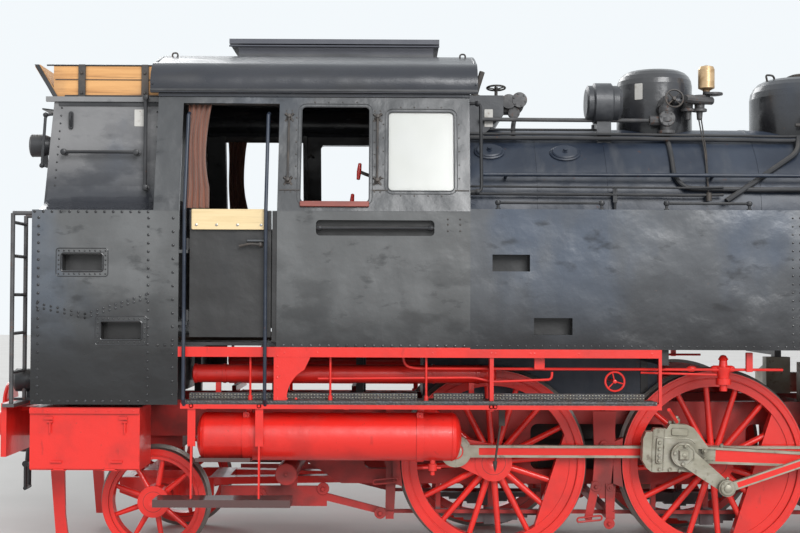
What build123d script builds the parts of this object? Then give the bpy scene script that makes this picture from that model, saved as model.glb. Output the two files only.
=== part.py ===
from build123d import *
from collections import namedtuple
import math
import os

os.makedirs("parts", exist_ok=True)

# Six-coupled steam tank locomotive with a carrying axle at each end.
# x runs forward from the driving axle, y to the left from the centre line,
# z up from the rail head. Every value is in millimetres or degrees.

# Wheels and rods
coupled_spacing = 1800.0
carrying_spacing = 2760.0
driver_radius = 750.0
carrier_radius = 425.0
back_to_back = 1360.0
tyre_width = 140.0
flange_height = 28.0
flange_width = 30.0
driver_spokes = 16
carrier_spokes = 9
driver_tyre_depth = 62.0
driver_rim_depth = 128.0
carrier_rim_depth = 86.0
driver_hub_radius = 150.0
carrier_hub_radius = 128.0
hub_stand_out = 34.0
driver_axle_radius = 95.0
carrier_axle_radius = 80.0
rim_inset = 14.0
driving_weight_chord = 330.0
coupled_weight_chord = 483.0
crank_radius = 330.0
right_crank_deg = 162.0
left_crank_deg = 252.0
crank_boss_radius = 112.0
crank_pin_radius = 62.0
pin_clearance = 0.8
journal_gap = 0.5
seat_gap = 0.6
coupling_rod_y = 870.0
coupling_rod_thickness = 62.0
coupling_rod_height = 97.0
coupling_eye_radius = 128.0
pin_collar = 9.0
rod_side_gap = 8.0
main_rod_length = 2400.0
main_rod_thickness = 70.0
main_rod_height = 120.0
big_end_rear = 317.0
big_end_front = 206.0
big_end_rise = 236.0
big_end_drop = 152.0
big_end_neck = 62.0
flute_start = 125.0
big_end_thickness = 96.0
flute_depth = 12.0
flute_edge = 20.0
small_end_radius = 84.0
gudgeon_radius = 40.0
return_crank_x = 337.0
return_crank_z = -258.0
return_crank_thickness = 42.0

# Cylinders and motion
cylinder_y = 1025.0
cylinder_z = driver_radius
cylinder_x = 3560.0
cylinder_bore = 500.0
piston_stroke = 2.0 * crank_radius
piston_thickness = 120.0
piston_end_gap = 20.0
piston_side_gap = 5.0
cylinder_jacket_radius = 335.0
cylinder_cover = 70.0
piston_rod_radius = 42.0
valve_chest_z = 1250.0
valve_chest_y = 1000.0
valve_chest_radius = 185.0
valve_chest_over = 110.0
crosshead_half = 230.0
crosshead_cheek = 23.0
slide_bar_z = 992.0
slide_bar_height = 70.0
slide_bar_width = 70.0
shoe_gap = 0.8
rod_gap = 3.0
shoe_height = 50.0
valve_plane_gap = 7.0
valve_rod_thickness = 38.0
link_pivot_x = 1500.0
link_pivot_z = 1350.0
link_foot_radius = 290.0
eccentric_rod_length = 1480.0
valve_spindle_x = 2850.0
lever_drop = 470.0
union_link_length = 330.0
girder_bottom = 1200.0
girder_height = 190.0

# Main frame
frame_in_y = 450.0
frame_thickness = 100.0
frame_top = 1230.0
frame_bottom = 540.0
frame_end_bottom = 930.0
frame_low_half = 3050.0
frame_rise_length = 620.0
frame_hole_corner = 60.0
gusset_length = 420.0
guard_foot_z = 80.0
beam_x = 5600.0
beam_thickness = 42.0
beam_half_width = 1380.0
beam_bottom = 850.0
beam_top = 1262.0
buffer_face_x = 6250.0
buffer_y = 875.0
buffer_z = 1060.0
buffer_head_radius = 225.0
buffer_flat_radius = 120.0
axle_slot_half = 125.0
truck_pivot_offset = 800.0
truck_frame_y = 300.0
truck_frame_thickness = 38.0
truck_post_z = 590.0
truck_post_radius = 64.0
truck_seat_z = 820.0
spring_top = 318.0
spring_half = 470.0
spring_leaves = 5
leaf_thickness = 20.0
leaf_step = 82.0
leaf_half = 45.0
brake_beam_z = 320.0
brake_beam_half = 820.0
brake_shaft_x = -3473.0
brake_shaft_z = 672.0
brake_shaft_radius = 88.0
brake_shaft_half = 1000.0
brake_lever_rear = -4030.0
brake_lever_front = -3160.0
brake_lever_z = 458.0

# Boiler
boiler_z = 2770.0
boiler_radius = 800.0
boiler_front = 3250.0
smokebox_radius = 815.0
smokebox_front = 5000.0
smokebox_wall = 16.0
smokebox_door_radius = 650.0
smokebox_opening_radius = 600.0
backhead_x = -2430.0
backhead_radius = 730.0
firebox_half_width = 600.0
firebox_front = -420.0
chimney_x = 3900.0
chimney_top = 4165.0
chimney_radius = 240.0
steam_dome_x = -325.0
steam_dome_radius = 327.0
steam_dome_top = 4110.0
sand_dome_x = 950.0
sand_dome_radius = 420.0
sand_dome_top = 4046.0
steam_dome_corner = 135.0
sand_dome_corner = 170.0
dome_steps = 5
pump_x = 2900.0
pump_y = 1130.0
heater_x = 4500.0
heater_radius = 235.0
generator_x = -845.0
generator_y = -430.0
generator_z = 3746.0
generator_radius = 172.0
generator_half = 150.0
whistle_x = 66.0
whistle_y = -300.0
whistle_radius = 70.0
whistle_bell_z = 3880.0
whistle_top = 4103.0
whistle_pipe_z = 3790.0
whistle_pipe_radius = 30.0
safety_valve_x = -800.0
safety_valve_y = 90.0
manifold_front = -1691.0
manifold_top = 3813.0
manifold_half_width = 420.0
manifold_chamfer = 165.0

# Cab, tanks and bunker
body_half_width = 1500.0
body_top_half_width = 1300.0
belt_z = 2752.0
eaves_z = 3662.0
sheet = 8.0
window_corner = 30.0
cab_front = -2032.0
cab_rear = -4460.0
cab_floor_z = 1740.0
cab_side_bottom = 1708.0
door_rear = -4264.0
door_front = -3514.0
door_hinge_x = -4204.0
door_hinge_y = body_half_width - 45.0
door_hinge_gap = 20.0
door_pintle_radius = 16.0
door_hinges_z = (1900.0, 2450.0)
cab_beam_bottom = 1632.0
cab_beams_x = (cab_rear + 60.0, -3600.0, -2900.0)
end_window_low = 2930.0
end_window_high = 3480.0
front_window_y = (930.0, 1270.0)
rear_window_y = (1140.0, 1300.0)
pane_overlap = 10.0
pane_thickness = 7.0
seat_x = -2970.0
seat_y = body_half_width - 295.0
seat_top = 2370.0
roof_rear = -4522.0
roof_front = -1968.0
roof_crown = 4158.0
roof_shoulder_y = 1150.0
roof_shoulder_z = 3950.0
roof_edge_y = 1332.0
roof_edge_z = 3690.0
roof_thickness = 34.0
vent_rear = -4018.0
vent_front = -2240.0
vent_half_width = 470.0
vent_height = 118.0
tank_front = 2350.0
tank_bottom = 1697.0
tank_top = 2771.0
tank_inner_y = 880.0
bunker_rear = -5387.0
bunker_bottom = 1265.0
coal_half_width = 1100.0
coal_rear_low = -5410.0
coal_rear_high = -5325.0
coal_top = 3678.0
boards_top = 3932.0
board_thickness = 38.0
step_recess_depth = 120.0
filler_x = 1750.0
filler_y = body_half_width - 310.0
filler_radius = 212.0
filler_height = 60.0

# Running gear cover and low fittings
board_top = 1282.0
board_bottom = 1236.0
board_rear = -4244.0
board_front = -565.0
board_inner_y = 1080.0
board_bracket_x = -1880.0
board_arms = (-2980.0, -4080.0)
gusset_rear = -3532.0
gusset_front = -3219.0
CabStep = namedtuple("CabStep", "x0 x1 z0 z1")
cab_steps = (
    CabStep(-4127.0, -3708.0, 832.0, 861.0),
    CabStep(-4451.0, -3401.0, 484.0, 542.0),
)
cab_step_depth = 250.0
step_hangers = (-4160.0, -3642.0)
step_twist_z = 947.0
ladder_x = bunker_rear - 173.0
ladder_inner_y = 1040.0
ladder_outer_y = body_half_width - 100.0
ladder_top = belt_z - 22.0
ladder_tube = 17.0
ladder_rungs_z = (1500.0, 1800.0, 2100.0, 2400.0, 2660.0)
door_rails_x = (-4215.0, -3596.0)
boiler_rail_y = boiler_radius + 30.0
boiler_rail_z = boiler_z + 330.0
boiler_rail_posts_x = (-1700.0, 0.0, 1700.0, 3100.0, 4700.0)
deck_bend_x = 4770.0
front_bracket_x = 3000.0
reservoir_rear = -4150.0
reservoir_front = -2082.0
reservoir_y = 1240.0
reservoir_z = 1003.0
reservoir_radius = 187.0
reservoir_dish = 70.0
upper_tank_z = 1485.0
upper_tank_radius = 72.0
toolbox_rear = -5393.0
toolbox_front = -4554.0
toolbox_bottom = 761.0
toolbox_top = 1240.0
toolbox_inner_y = 1010.0
toolbox_outer_y = 1462.0
toolbox_wall = 6.0
flap_gap = 5.0
flap_hinge_radius = 9.0

# Places worked out from the values above
leading_x = coupled_spacing + carrying_spacing
trailing_x = -leading_x
tyre_back = back_to_back / 2.0
tyre_face = tyre_back + tyre_width
hub_face = tyre_face + hub_stand_out
coupling_rod_out = coupling_rod_y + coupling_rod_thickness
wheel_pin_end = coupling_rod_out + pin_collar
stub_start = wheel_pin_end + rod_side_gap
big_end_in = cylinder_y - big_end_thickness / 2.0
big_end_out = cylinder_y + big_end_thickness / 2.0
return_crank_out = big_end_out + return_crank_thickness
valve_plane_in = return_crank_out + valve_plane_gap
valve_plane_out = valve_plane_in + valve_rod_thickness
frame_out_y = frame_in_y + frame_thickness
bore_half = piston_stroke / 2.0 + piston_thickness / 2.0 + piston_end_gap
cylinder_half = bore_half + cylinder_cover
piston_rod_length = cylinder_x - main_rod_length


def box(x0, x1, y0, y1, z0, z1):
    """Block between two opposite corners."""
    return Solid.make_box(x1 - x0, y1 - y0, z1 - z0, Plane(origin=(x0, y0, z0)))


def bar(start, end, radius):
    """Round bar between two points."""
    run = Vector(*end) - Vector(*start)
    return Solid.make_cylinder(radius, run.length, Plane(origin=start, z_dir=run))


def prism(points, push):
    """Straight sweep of a closed outline along push."""
    outline = Wire.make_polygon([Vector(*p) for p in points], close=True)
    return Solid.extrude(Face(outline), Vector(*push))


def along_y(outline, y0, y1):
    """Plate with its outline in x and z."""
    return prism([(x, y0, z) for x, z in outline], (0, y1 - y0, 0))


def along_x(outline, x0, x1):
    """Length of a section given in y and z."""
    return prism([(x0, y, z) for y, z in outline], (x1 - x0, 0, 0))


def along_z(outline, z0, z1):
    """Plate with its outline in x and y."""
    return prism([(x, y, z0) for x, y in outline], (0, 0, z1 - z0))


def turned(outline, origin, axis_dir):
    """Body turned from an outline of radius and height pairs."""
    section = Face(Wire.make_polygon([Vector(r, 0, h) for r, h in outline], close=True))
    body = Solid.revolve(section, 360, Axis.Z)
    return Plane(origin=origin, z_dir=axis_dir).from_local_coords(body)


def rounded_box(x0, x1, y0, y1, z0, z1, radius):
    """Block with its edges along y rounded."""
    block = box(x0, x1, y0, y1, z0, z1)
    return block.fillet(radius, block.edges().filter_by(Axis.Y))


def dished_drum(x0, x1, y, z, radius, dish):
    """Drum along x with dished ends."""
    half = (x1 - x0) / 2.0
    turns = [math.radians(18.0 * k) for k in range(5)]
    rim = [(radius * math.cos(t), half - dish + dish * math.sin(t)) for t in turns]
    end = [*rim, (0.0, rim[-1][1])]
    outline = [(r, -h) for r, h in reversed(end)] + end
    return turned(outline, ((x0 + x1) / 2.0, y, z), (1, 0, 0))


def tube(points, radius):
    """Round rail through several points, with round corners."""
    runs = [bar(a, b, radius) for a, b in zip(points, points[1:])]
    knees = [Solid.make_sphere(radius).moved(Location(p)) for p in points[1:-1]]
    return Part() + runs + knees


def join(*shapes):
    """One part from shapes that touch or stand apart."""
    return Part() + list(shapes)


def both(*shapes):
    """The shapes and their images on the other side."""
    made = list(shapes)
    return made + [s.mirror(Plane.XZ) for s in made]


def ends(*shapes):
    """The shapes and their images at the other end."""
    made = list(shapes)
    return made + [s.mirror(Plane.YZ) for s in made]


def on_side(shape, side):
    """A shape built on the left, put on the side asked for."""
    return shape if side > 0 else shape.mirror(Plane.XZ)


WheelSpec = namedtuple(
    "WheelSpec", "radius tyre rim hub spokes root_half tip_half axle first"
)
driver_spec = WheelSpec(
    driver_radius, driver_tyre_depth, driver_rim_depth, driver_hub_radius,
    driver_spokes, 28.0, 22.0, driver_axle_radius, 0.0,
)
carrier_spec = WheelSpec(
    carrier_radius, 55.0, carrier_rim_depth, carrier_hub_radius,
    carrier_spokes, 24.0, 18.0, carrier_axle_radius, 0.0,
)


def wheel(spec):
    """Spoked wheel on the left, its axle on the y axis."""
    rim_in = spec.radius - spec.rim
    lip = spec.radius - spec.tyre
    flange = spec.radius + flange_height
    tread = tyre_back + flange_width
    ring = [
        (rim_in, -(tyre_back + rim_inset)),
        (rim_in, -(tyre_face - rim_inset)),
        (lip, -(tyre_face - rim_inset)),
        (lip, -tyre_face),
        (spec.radius, -tyre_face),
        (spec.radius, -tread),
        (flange, -(tread - 12.0)),
        (flange, -(tyre_back + 4.0)),
        (lip, -tyre_back),
    ]
    section = Face(Wire.make_polygon([Vector(r, -y, 0) for r, y in ring], close=True))
    rim = Solid.revolve(section, 360, Axis.Y)
    hub = bar((0, tyre_back + 6.0, 0), (0, hub_face, 0), spec.hub)
    middle = (tyre_back + tyre_face) / 2.0
    root = spec.hub - 12.0
    length = rim_in + 8.0 - root
    spoke = Solid.make_cone(
        spec.root_half, spec.tip_half, length, Plane(origin=(root, middle, 0), z_dir=(1, 0, 0))
    )
    step = 360.0 / spec.spokes
    arms = [
        spoke.rotate(Axis.Y, spec.first + step * k) for k in range(spec.spokes)
    ]
    return [rim, hub] + arms


def cranked_wheel(spec, weight_chord, pin_length, crank_deg, side):
    """Driver with crank boss, pin and balance weight, on one side."""
    rim_in = spec.radius - spec.rim
    disc = bar((0, tyre_back + 24.0, 0), (0, tyre_face - 22.0, 0), rim_in + 6.0)
    keep = box(
        -spec.radius, -weight_chord, 0, tyre_face + 60.0, -spec.radius, spec.radius
    )
    weight = disc.intersect(keep)
    boss = bar(
        (crank_radius, tyre_back + 10.0, 0), (crank_radius, hub_face, 0), crank_boss_radius
    )
    web = along_y(
        [
            (0, -spec.hub + 4.0),
            (crank_radius, -crank_boss_radius + 4.0),
            (crank_radius, crank_boss_radius - 4.0),
            (0, spec.hub - 4.0),
        ],
        tyre_back + 20.0,
        hub_face - 8.0,
    )
    pin = bar((crank_radius, hub_face, 0), (crank_radius, pin_length, 0), crank_pin_radius)
    shapes = wheel(spec) + [boss, web, pin]
    shapes += list(weight.solids()) if hasattr(weight, "solids") else [weight]
    whole = join(*shapes).rotate(Axis.Y, -crank_deg)
    return on_side(whole, side)


def coupled_wheelset(axle_x, weight_chord, pin_length):
    """Two quartered drivers pressed on one axle."""
    right = cranked_wheel(driver_spec, weight_chord, pin_length, right_crank_deg, -1)
    left = cranked_wheel(driver_spec, weight_chord, pin_length, left_crank_deg, 1)
    axle = bar((0, -hub_face, 0), (0, hub_face, 0), driver_axle_radius)
    whole = join(right, left, axle)
    return whole.moved(Location((axle_x, 0, driver_radius)))


def carrying_wheelset(axle_x):
    """Two plain spoked wheels on one axle."""
    left = join(*wheel(carrier_spec))
    axle = bar((0, -hub_face, 0), (0, hub_face, 0), carrier_axle_radius)
    whole = join(left, left.mirror(Plane.XZ), axle)
    return whole.moved(Location((axle_x, 0, carrier_radius)))


def crank_pin_at(crank_deg, axle_x=0.0):
    """Place of a crank pin in x and z."""
    turn = math.radians(crank_deg)
    x = axle_x + crank_radius * math.cos(turn)
    return x, driver_radius + crank_radius * math.sin(turn)


def crosshead_at(crank_deg):
    """Place of the crosshead pin along x for a crank angle."""
    x, z = crank_pin_at(crank_deg)
    return x + math.sqrt(main_rod_length ** 2 - (z - cylinder_z) ** 2)


def return_crank_at(crank_deg):
    """Place of the return crank's pin in x and z."""
    x, z = crank_pin_at(crank_deg)
    turn = math.radians(crank_deg - right_crank_deg)
    dx = return_crank_x * math.cos(turn) - return_crank_z * math.sin(turn)
    dz = return_crank_x * math.sin(turn) + return_crank_z * math.cos(turn)
    return x + dx, z + dz


def tapered_bar(start, end, start_half, end_half, y0, y1):
    """Flat bar between two points in x and z, tapering along its length."""
    run_x = end[0] - start[0]
    run_z = end[1] - start[1]
    length = math.hypot(run_x, run_z)
    nx = -run_z / length
    nz = run_x / length
    outline = [
        (start[0] + nx * start_half, start[1] + nz * start_half),
        (end[0] + nx * end_half, end[1] + nz * end_half),
        (end[0] - nx * end_half, end[1] - nz * end_half),
        (start[0] - nx * start_half, start[1] - nz * start_half),
    ]
    return along_y(outline, y0, y1)


def eye(place, radius, y0, y1):
    """Round boss on the y axis at a place in x and z."""
    return bar((place[0], y0, place[1]), (place[0], y1, place[1]), radius)


def coupling_rod(crank_deg, side):
    """Side rod over three crank pins."""
    y0 = coupling_rod_y
    y1 = coupling_rod_out
    rear = crank_pin_at(crank_deg, -coupled_spacing)
    middle = crank_pin_at(crank_deg)
    front = crank_pin_at(crank_deg, coupled_spacing)
    half = coupling_rod_height / 2.0
    pieces = [tapered_bar(rear, front, half, half, y0, y1)]
    for place in (rear, middle, front):
        pieces.append(eye(place, coupling_eye_radius, y0, y1))
        pieces.append(
            bar(
                (place[0], (y0 + y1) / 2.0, place[1] + coupling_eye_radius - 10.0),
                (place[0], (y0 + y1) / 2.0, place[1] + coupling_eye_radius + 30.0),
                coupling_rod_thickness / 2.0 - 4.0,
            )
        )
    rod = join(*pieces)
    cuts = []
    for place in (rear, middle, front):
        hole = crank_pin_radius + pin_clearance
        cuts.append(eye(place, hole, y0 - 5.0, y1 + 5.0))
    for a, b in ((rear, middle), (middle, front)):
        cuts.append(
            box(
                a[0] + coupling_eye_radius + 60.0, b[0] - coupling_eye_radius - 60.0,
                y1 - flute_depth, y1 + 5.0, a[1] - half + flute_edge, a[1] + half - flute_edge,
            )
        )
    return on_side(rod - cuts, side)


def main_rod(crank_deg, side):
    """Connecting rod with its pin stub and return crank."""
    pin = crank_pin_at(crank_deg)
    head = (crosshead_at(crank_deg), cylinder_z)
    turn = math.degrees(math.atan2(pin[1] - head[1], head[0] - pin[0]))
    half_shank = main_rod_thickness / 2.0
    y_in = cylinder_y - half_shank
    y_out = cylinder_y + half_shank
    root_half = main_rod_height / 2.0 + 8.0
    tip_half = main_rod_height / 2.0 - 16.0
    shank = tapered_bar(pin, head, root_half, tip_half, y_in, y_out)

    def along(share):
        """Place on the rod's centre line."""
        return (
            pin[0] + (head[0] - pin[0]) * share,
            pin[1] + (head[1] - pin[1]) * share,
        )

    flute_from = flute_start / main_rod_length
    flute_to = 1.0 - (small_end_radius + 130.0) / main_rod_length
    flute = tapered_bar(
        along(flute_from), along(flute_to), root_half - flute_edge, tip_half - flute_edge,
        y_out - flute_depth, big_end_out + 5.0,
    )
    block = along_y(
        [
            (-big_end_rear, -big_end_neck),
            (-big_end_rear + 37.0, -big_end_drop + 28.0),
            (-big_end_rear + 77.0, -big_end_drop),
            (-big_end_front, -big_end_drop),
            (0.0, -big_end_drop + 16.0),
            (big_end_front / 2.0, -big_end_drop + 8.0),
            (big_end_front - 46.0, -big_end_drop + 40.0),
            (big_end_front + 10.0, -big_end_neck),
            (big_end_front, big_end_neck),
            (big_end_front / 2.0 - 20.0, big_end_rise - 24.0),
            (26.0, big_end_rise),
            (-108.0, big_end_rise),
            (-132.0, big_end_rise - 40.0),
            (-big_end_front - 20.0, big_end_rise - 40.0),
            (-big_end_rear + 77.0, big_end_rise - 67.0),
            (-big_end_rear + 22.0, big_end_rise - 71.0),
            (-big_end_rear, big_end_rise - 126.0),
        ],
        big_end_in,
        big_end_out,
    )
    slot = box(
        -big_end_front - 6.0, -big_end_front + 40.0, big_end_out - flute_depth,
        big_end_out + 5.0, -big_end_drop / 2.0, big_end_rise / 2.0,
    )
    pot = bar(
        (-50.0, cylinder_y, big_end_rise - 6.0), (-50.0, cylinder_y, big_end_rise + 26.0), 30.0
    )
    head_block = (join(block, pot) - slot).rotate(Axis.Y, turn)
    head_block = head_block.moved(Location((pin[0], 0, pin[1])))
    small = eye(head, small_end_radius, y_in, y_out)
    stub = eye(pin, crank_pin_radius + 16.0, stub_start, big_end_out)
    tip = return_crank_at(crank_deg)
    crank = join(
        eye(pin, 96.0, big_end_out, return_crank_out),
        tapered_bar(pin, tip, 78.0, 48.0, big_end_out, return_crank_out),
        eye(tip, 62.0, big_end_out, return_crank_out),
    )
    rod = join(join(shank, head_block) - flute, small, stub, crank)
    rod = rod - [eye(head, gudgeon_radius + pin_clearance, y_in - 5.0, y_out + 5.0)]
    return on_side(rod, side)


def crosshead(crank_deg, side):
    """Crosshead on its bar, with piston rod, piston and tail rod."""
    x = crosshead_at(crank_deg)
    half_small = main_rod_thickness / 2.0 + rod_gap
    cheek_out = half_small + crosshead_cheek
    bar_low = slide_bar_z - slide_bar_height / 2.0
    bar_high = slide_bar_z + slide_bar_height / 2.0
    shoe_low = bar_low - shoe_gap - shoe_height
    shoe_high = bar_high + shoe_gap + shoe_height
    lower_shoe = box(
        x - crosshead_half, x + crosshead_half, cylinder_y - cheek_out,
        cylinder_y + cheek_out, shoe_low, bar_low - shoe_gap,
    )
    upper_shoe = box(
        x - crosshead_half, x + crosshead_half, cylinder_y - cheek_out,
        cylinder_y + cheek_out, bar_high + shoe_gap, shoe_high,
    )
    cheeks = []
    for inner in (cylinder_y - cheek_out, cylinder_y + half_small):
        cheeks.append(
            along_y(
                [
                    (x - 108.0, cylinder_z - 96.0),
                    (x + 150.0, cylinder_z - 70.0),
                    (x + 150.0, cylinder_z + 90.0),
                    (x + crosshead_half, shoe_low + 4.0),
                    (x + crosshead_half, shoe_high),
                    (x - crosshead_half, shoe_high),
                    (x - crosshead_half, shoe_low + 4.0),
                    (x - 118.0, cylinder_z + 96.0),
                ],
                inner,
                inner + crosshead_cheek,
            )
        )
    head_wall = box(
        x + 100.0, x + 150.0, cylinder_y - cheek_out, cylinder_y + cheek_out,
        cylinder_z - 68.0, cylinder_z + 88.0,
    )
    gudgeon = bar(
        (x, cylinder_y - cheek_out - 4.0, cylinder_z),
        (x, cylinder_y + cheek_out + 4.0, cylinder_z),
        gudgeon_radius,
    )
    piston_x = x + piston_rod_length
    rod = bar(
        (x + 120.0, cylinder_y, cylinder_z),
        (piston_x + 60.0, cylinder_y, cylinder_z),
        piston_rod_radius,
    )
    piston = bar(
        (piston_x - piston_thickness / 2.0, cylinder_y, cylinder_z),
        (piston_x + piston_thickness / 2.0, cylinder_y, cylinder_z),
        cylinder_bore / 2.0 - piston_side_gap,
    )
    whole = join(lower_shoe, upper_shoe, *cheeks, head_wall, gudgeon, rod, piston)
    return on_side(whole, side)


def slide_bars():
    """Guide bars with the girders and brackets that hold them."""
    low = slide_bar_z - slide_bar_height / 2.0
    high = slide_bar_z + slide_bar_height / 2.0
    rear = main_rod_length - crank_radius - crosshead_half - 150.0
    front = cylinder_x - cylinder_half
    girder_in = cylinder_y + 10.0
    girder_out = girder_in + 70.0
    guide = box(
        rear, front + 20.0, cylinder_y - slide_bar_width / 2.0,
        cylinder_y + slide_bar_width / 2.0, low, high,
    )
    hanger = box(
        rear, rear + 90.0, cylinder_y - slide_bar_width / 2.0,
        girder_out, high - 4.0, girder_bottom + 10.0,
    )
    bracket_x = coupled_spacing / 2.0
    girder = box(
        bracket_x - 30.0, front + 40.0, girder_in, girder_out,
        girder_bottom, girder_bottom + girder_height,
    )
    bracket = along_x(
        [
            (frame_out_y, frame_top - 40.0),
            (girder_out, girder_bottom),
            (girder_out, girder_bottom + girder_height),
            (frame_out_y, frame_top + 330.0),
        ],
        bracket_x - 30.0,
        bracket_x + 30.0,
    )
    foot = box(
        bracket_x - 110.0, bracket_x + 110.0, frame_in_y, frame_out_y + 20.0,
        frame_top, frame_top + 330.0,
    )
    trunnion = bar(
        (link_pivot_x, girder_out - 10.0, link_pivot_z),
        (link_pivot_x, valve_plane_in + 4.0, link_pivot_z),
        44.0,
    )
    return join(*both(guide, hanger, girder, bracket, foot, trunnion))


def link_foot(tip):
    """Place of the link's foot for a return crank's pin."""
    dx = link_pivot_x - tip[0]
    dz = link_pivot_z - tip[1]
    span = math.hypot(dx, dz)
    along = (eccentric_rod_length ** 2 - link_foot_radius ** 2 + span ** 2) / (2.0 * span)
    off = math.sqrt(max(eccentric_rod_length ** 2 - along ** 2, 0.0))
    ux = dx / span
    uz = dz / span
    return tip[0] + ux * along + uz * off, tip[1] + uz * along - ux * off


def valve_motion(crank_deg, side):
    """Eccentric rod, link, radius rod and combination lever of one side."""
    y0 = valve_plane_in
    y1 = valve_plane_out
    tip = return_crank_at(crank_deg)
    foot = link_foot(tip)
    pivot = (link_pivot_x, link_pivot_z)
    lean = math.atan2(foot[0] - pivot[0], pivot[1] - foot[1])
    top = (
        pivot[0] - math.sin(lean) * (link_foot_radius - 60.0),
        pivot[1] + math.cos(lean) * (link_foot_radius - 60.0),
    )
    spindle = (valve_spindle_x, valve_chest_z)
    head_x = crosshead_at(crank_deg) + crosshead_half
    low = (head_x + union_link_length, valve_chest_z - lever_drop)
    top_joint = (
        spindle[0] - (low[0] - spindle[0]) * 0.16,
        spindle[1] + lever_drop * 0.16,
    )
    pieces = [
        eye(tip, 66.0, y0, y1),
        tapered_bar(tip, foot, 34.0, 30.0, y0, y1),
        eye(foot, 50.0, y0, y1),
        tapered_bar(foot, top, 52.0, 52.0, y0, y1),
        eye(top, 54.0, y0, y1),
        eye(pivot, 74.0, y0, y1),
        tapered_bar(pivot, top_joint, 32.0, 28.0, y0, y1),
        eye(top_joint, 42.0, y0, y1),
        tapered_bar(top_joint, low, 32.0, 30.0, y0, y1),
        eye(low, 42.0, y0, y1),
        tapered_bar(low, (head_x, low[1] - 26.0), 24.0, 24.0, y0, y1),
        eye((head_x, low[1] - 26.0), 38.0, y0, y1),
    ]
    chest_rear = cylinder_x - cylinder_half - valve_chest_over
    pieces.append(eye(spindle, 46.0, valve_chest_y - 40.0, y1))
    pieces.append(
        bar(
            (spindle[0] - 30.0, valve_chest_y, spindle[1]),
            (chest_rear + 30.0, valve_chest_y, spindle[1]),
            30.0,
        )
    )
    return on_side(join(*pieces), side)


def cylinders():
    """Cylinder castings with valve chests, bores and covers."""
    rear = cylinder_x - cylinder_half
    front = cylinder_x + cylinder_half
    jacket = bar(
        (rear + 30.0, cylinder_y, cylinder_z), (front - 30.0, cylinder_y, cylinder_z),
        cylinder_jacket_radius,
    )
    covers = [
        bar((rear, cylinder_y, cylinder_z), (front, cylinder_y, cylinder_z), 290.0),
        bar(
            (rear - 62.0, cylinder_y, cylinder_z), (rear + 10.0, cylinder_y, cylinder_z),
            92.0,
        ),
        bar(
            (front - 10.0, cylinder_y, cylinder_z), (front + 20.0, cylinder_y, cylinder_z),
            92.0,
        ),
    ]
    chest = bar(
        (rear - valve_chest_over, valve_chest_y, valve_chest_z),
        (front + valve_chest_over, valve_chest_y, valve_chest_z),
        valve_chest_radius,
    )
    neck = box(
        rear + 60.0, front - 60.0, valve_chest_y - 160.0, valve_chest_y + 160.0,
        cylinder_z + 200.0, valve_chest_z,
    )
    flange = box(
        rear + 60.0, front - 60.0, frame_out_y, cylinder_y - 240.0,
        cylinder_z - 170.0, valve_chest_z + 110.0,
    )
    pipe = bar(
        (cylinder_x, valve_chest_y - 20.0, valve_chest_z + 80.0),
        (cylinder_x, smokebox_radius * 0.72, boiler_z - smokebox_radius * 0.6),
        95.0,
    )
    body = join(jacket, *covers, chest, neck, flange, pipe)
    bore = bar(
        (cylinder_x - bore_half, cylinder_y, cylinder_z),
        (cylinder_x + bore_half, cylinder_y, cylinder_z),
        cylinder_bore / 2.0,
    )
    gland = bar(
        (rear - 80.0, cylinder_y, cylinder_z), (cylinder_x, cylinder_y, cylinder_z),
        piston_rod_radius + rod_gap,
    )
    return join(*both(body - [bore, gland]))


def main_frame():
    """Side frame plates with their axle slots and lightening holes."""
    outline = [
        (-beam_x, frame_top),
        (-beam_x, frame_end_bottom),
        (-frame_low_half - frame_rise_length, frame_end_bottom),
        (-frame_low_half, frame_bottom),
        (frame_low_half, frame_bottom),
        (frame_low_half + frame_rise_length, frame_end_bottom),
        (beam_x, frame_end_bottom),
        (beam_x, frame_top),
    ]
    side = along_y(outline, frame_in_y, frame_out_y)
    cuts = []
    for axle_x in (-coupled_spacing, 0.0, coupled_spacing):
        cuts.append(
            box(
                axle_x - axle_slot_half, axle_x + axle_slot_half, 0, beam_half_width,
                frame_bottom + 60.0, driver_radius + 165.0,
            )
        )
    outer_web = axle_slot_half + 205.0
    end_web = frame_low_half - 190.0
    for x0, x1 in (
        (-coupled_spacing + outer_web, -outer_web),
        (outer_web, coupled_spacing - outer_web),
        (-end_web, -coupled_spacing - outer_web),
        (coupled_spacing + outer_web, end_web),
    ):
        cuts.append(
            rounded_box(
                x0, x1, 0, beam_half_width, frame_bottom + 120.0, frame_top - 190.0,
                frame_hole_corner,
            )
        )
    return join(*both(side - cuts))


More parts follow.
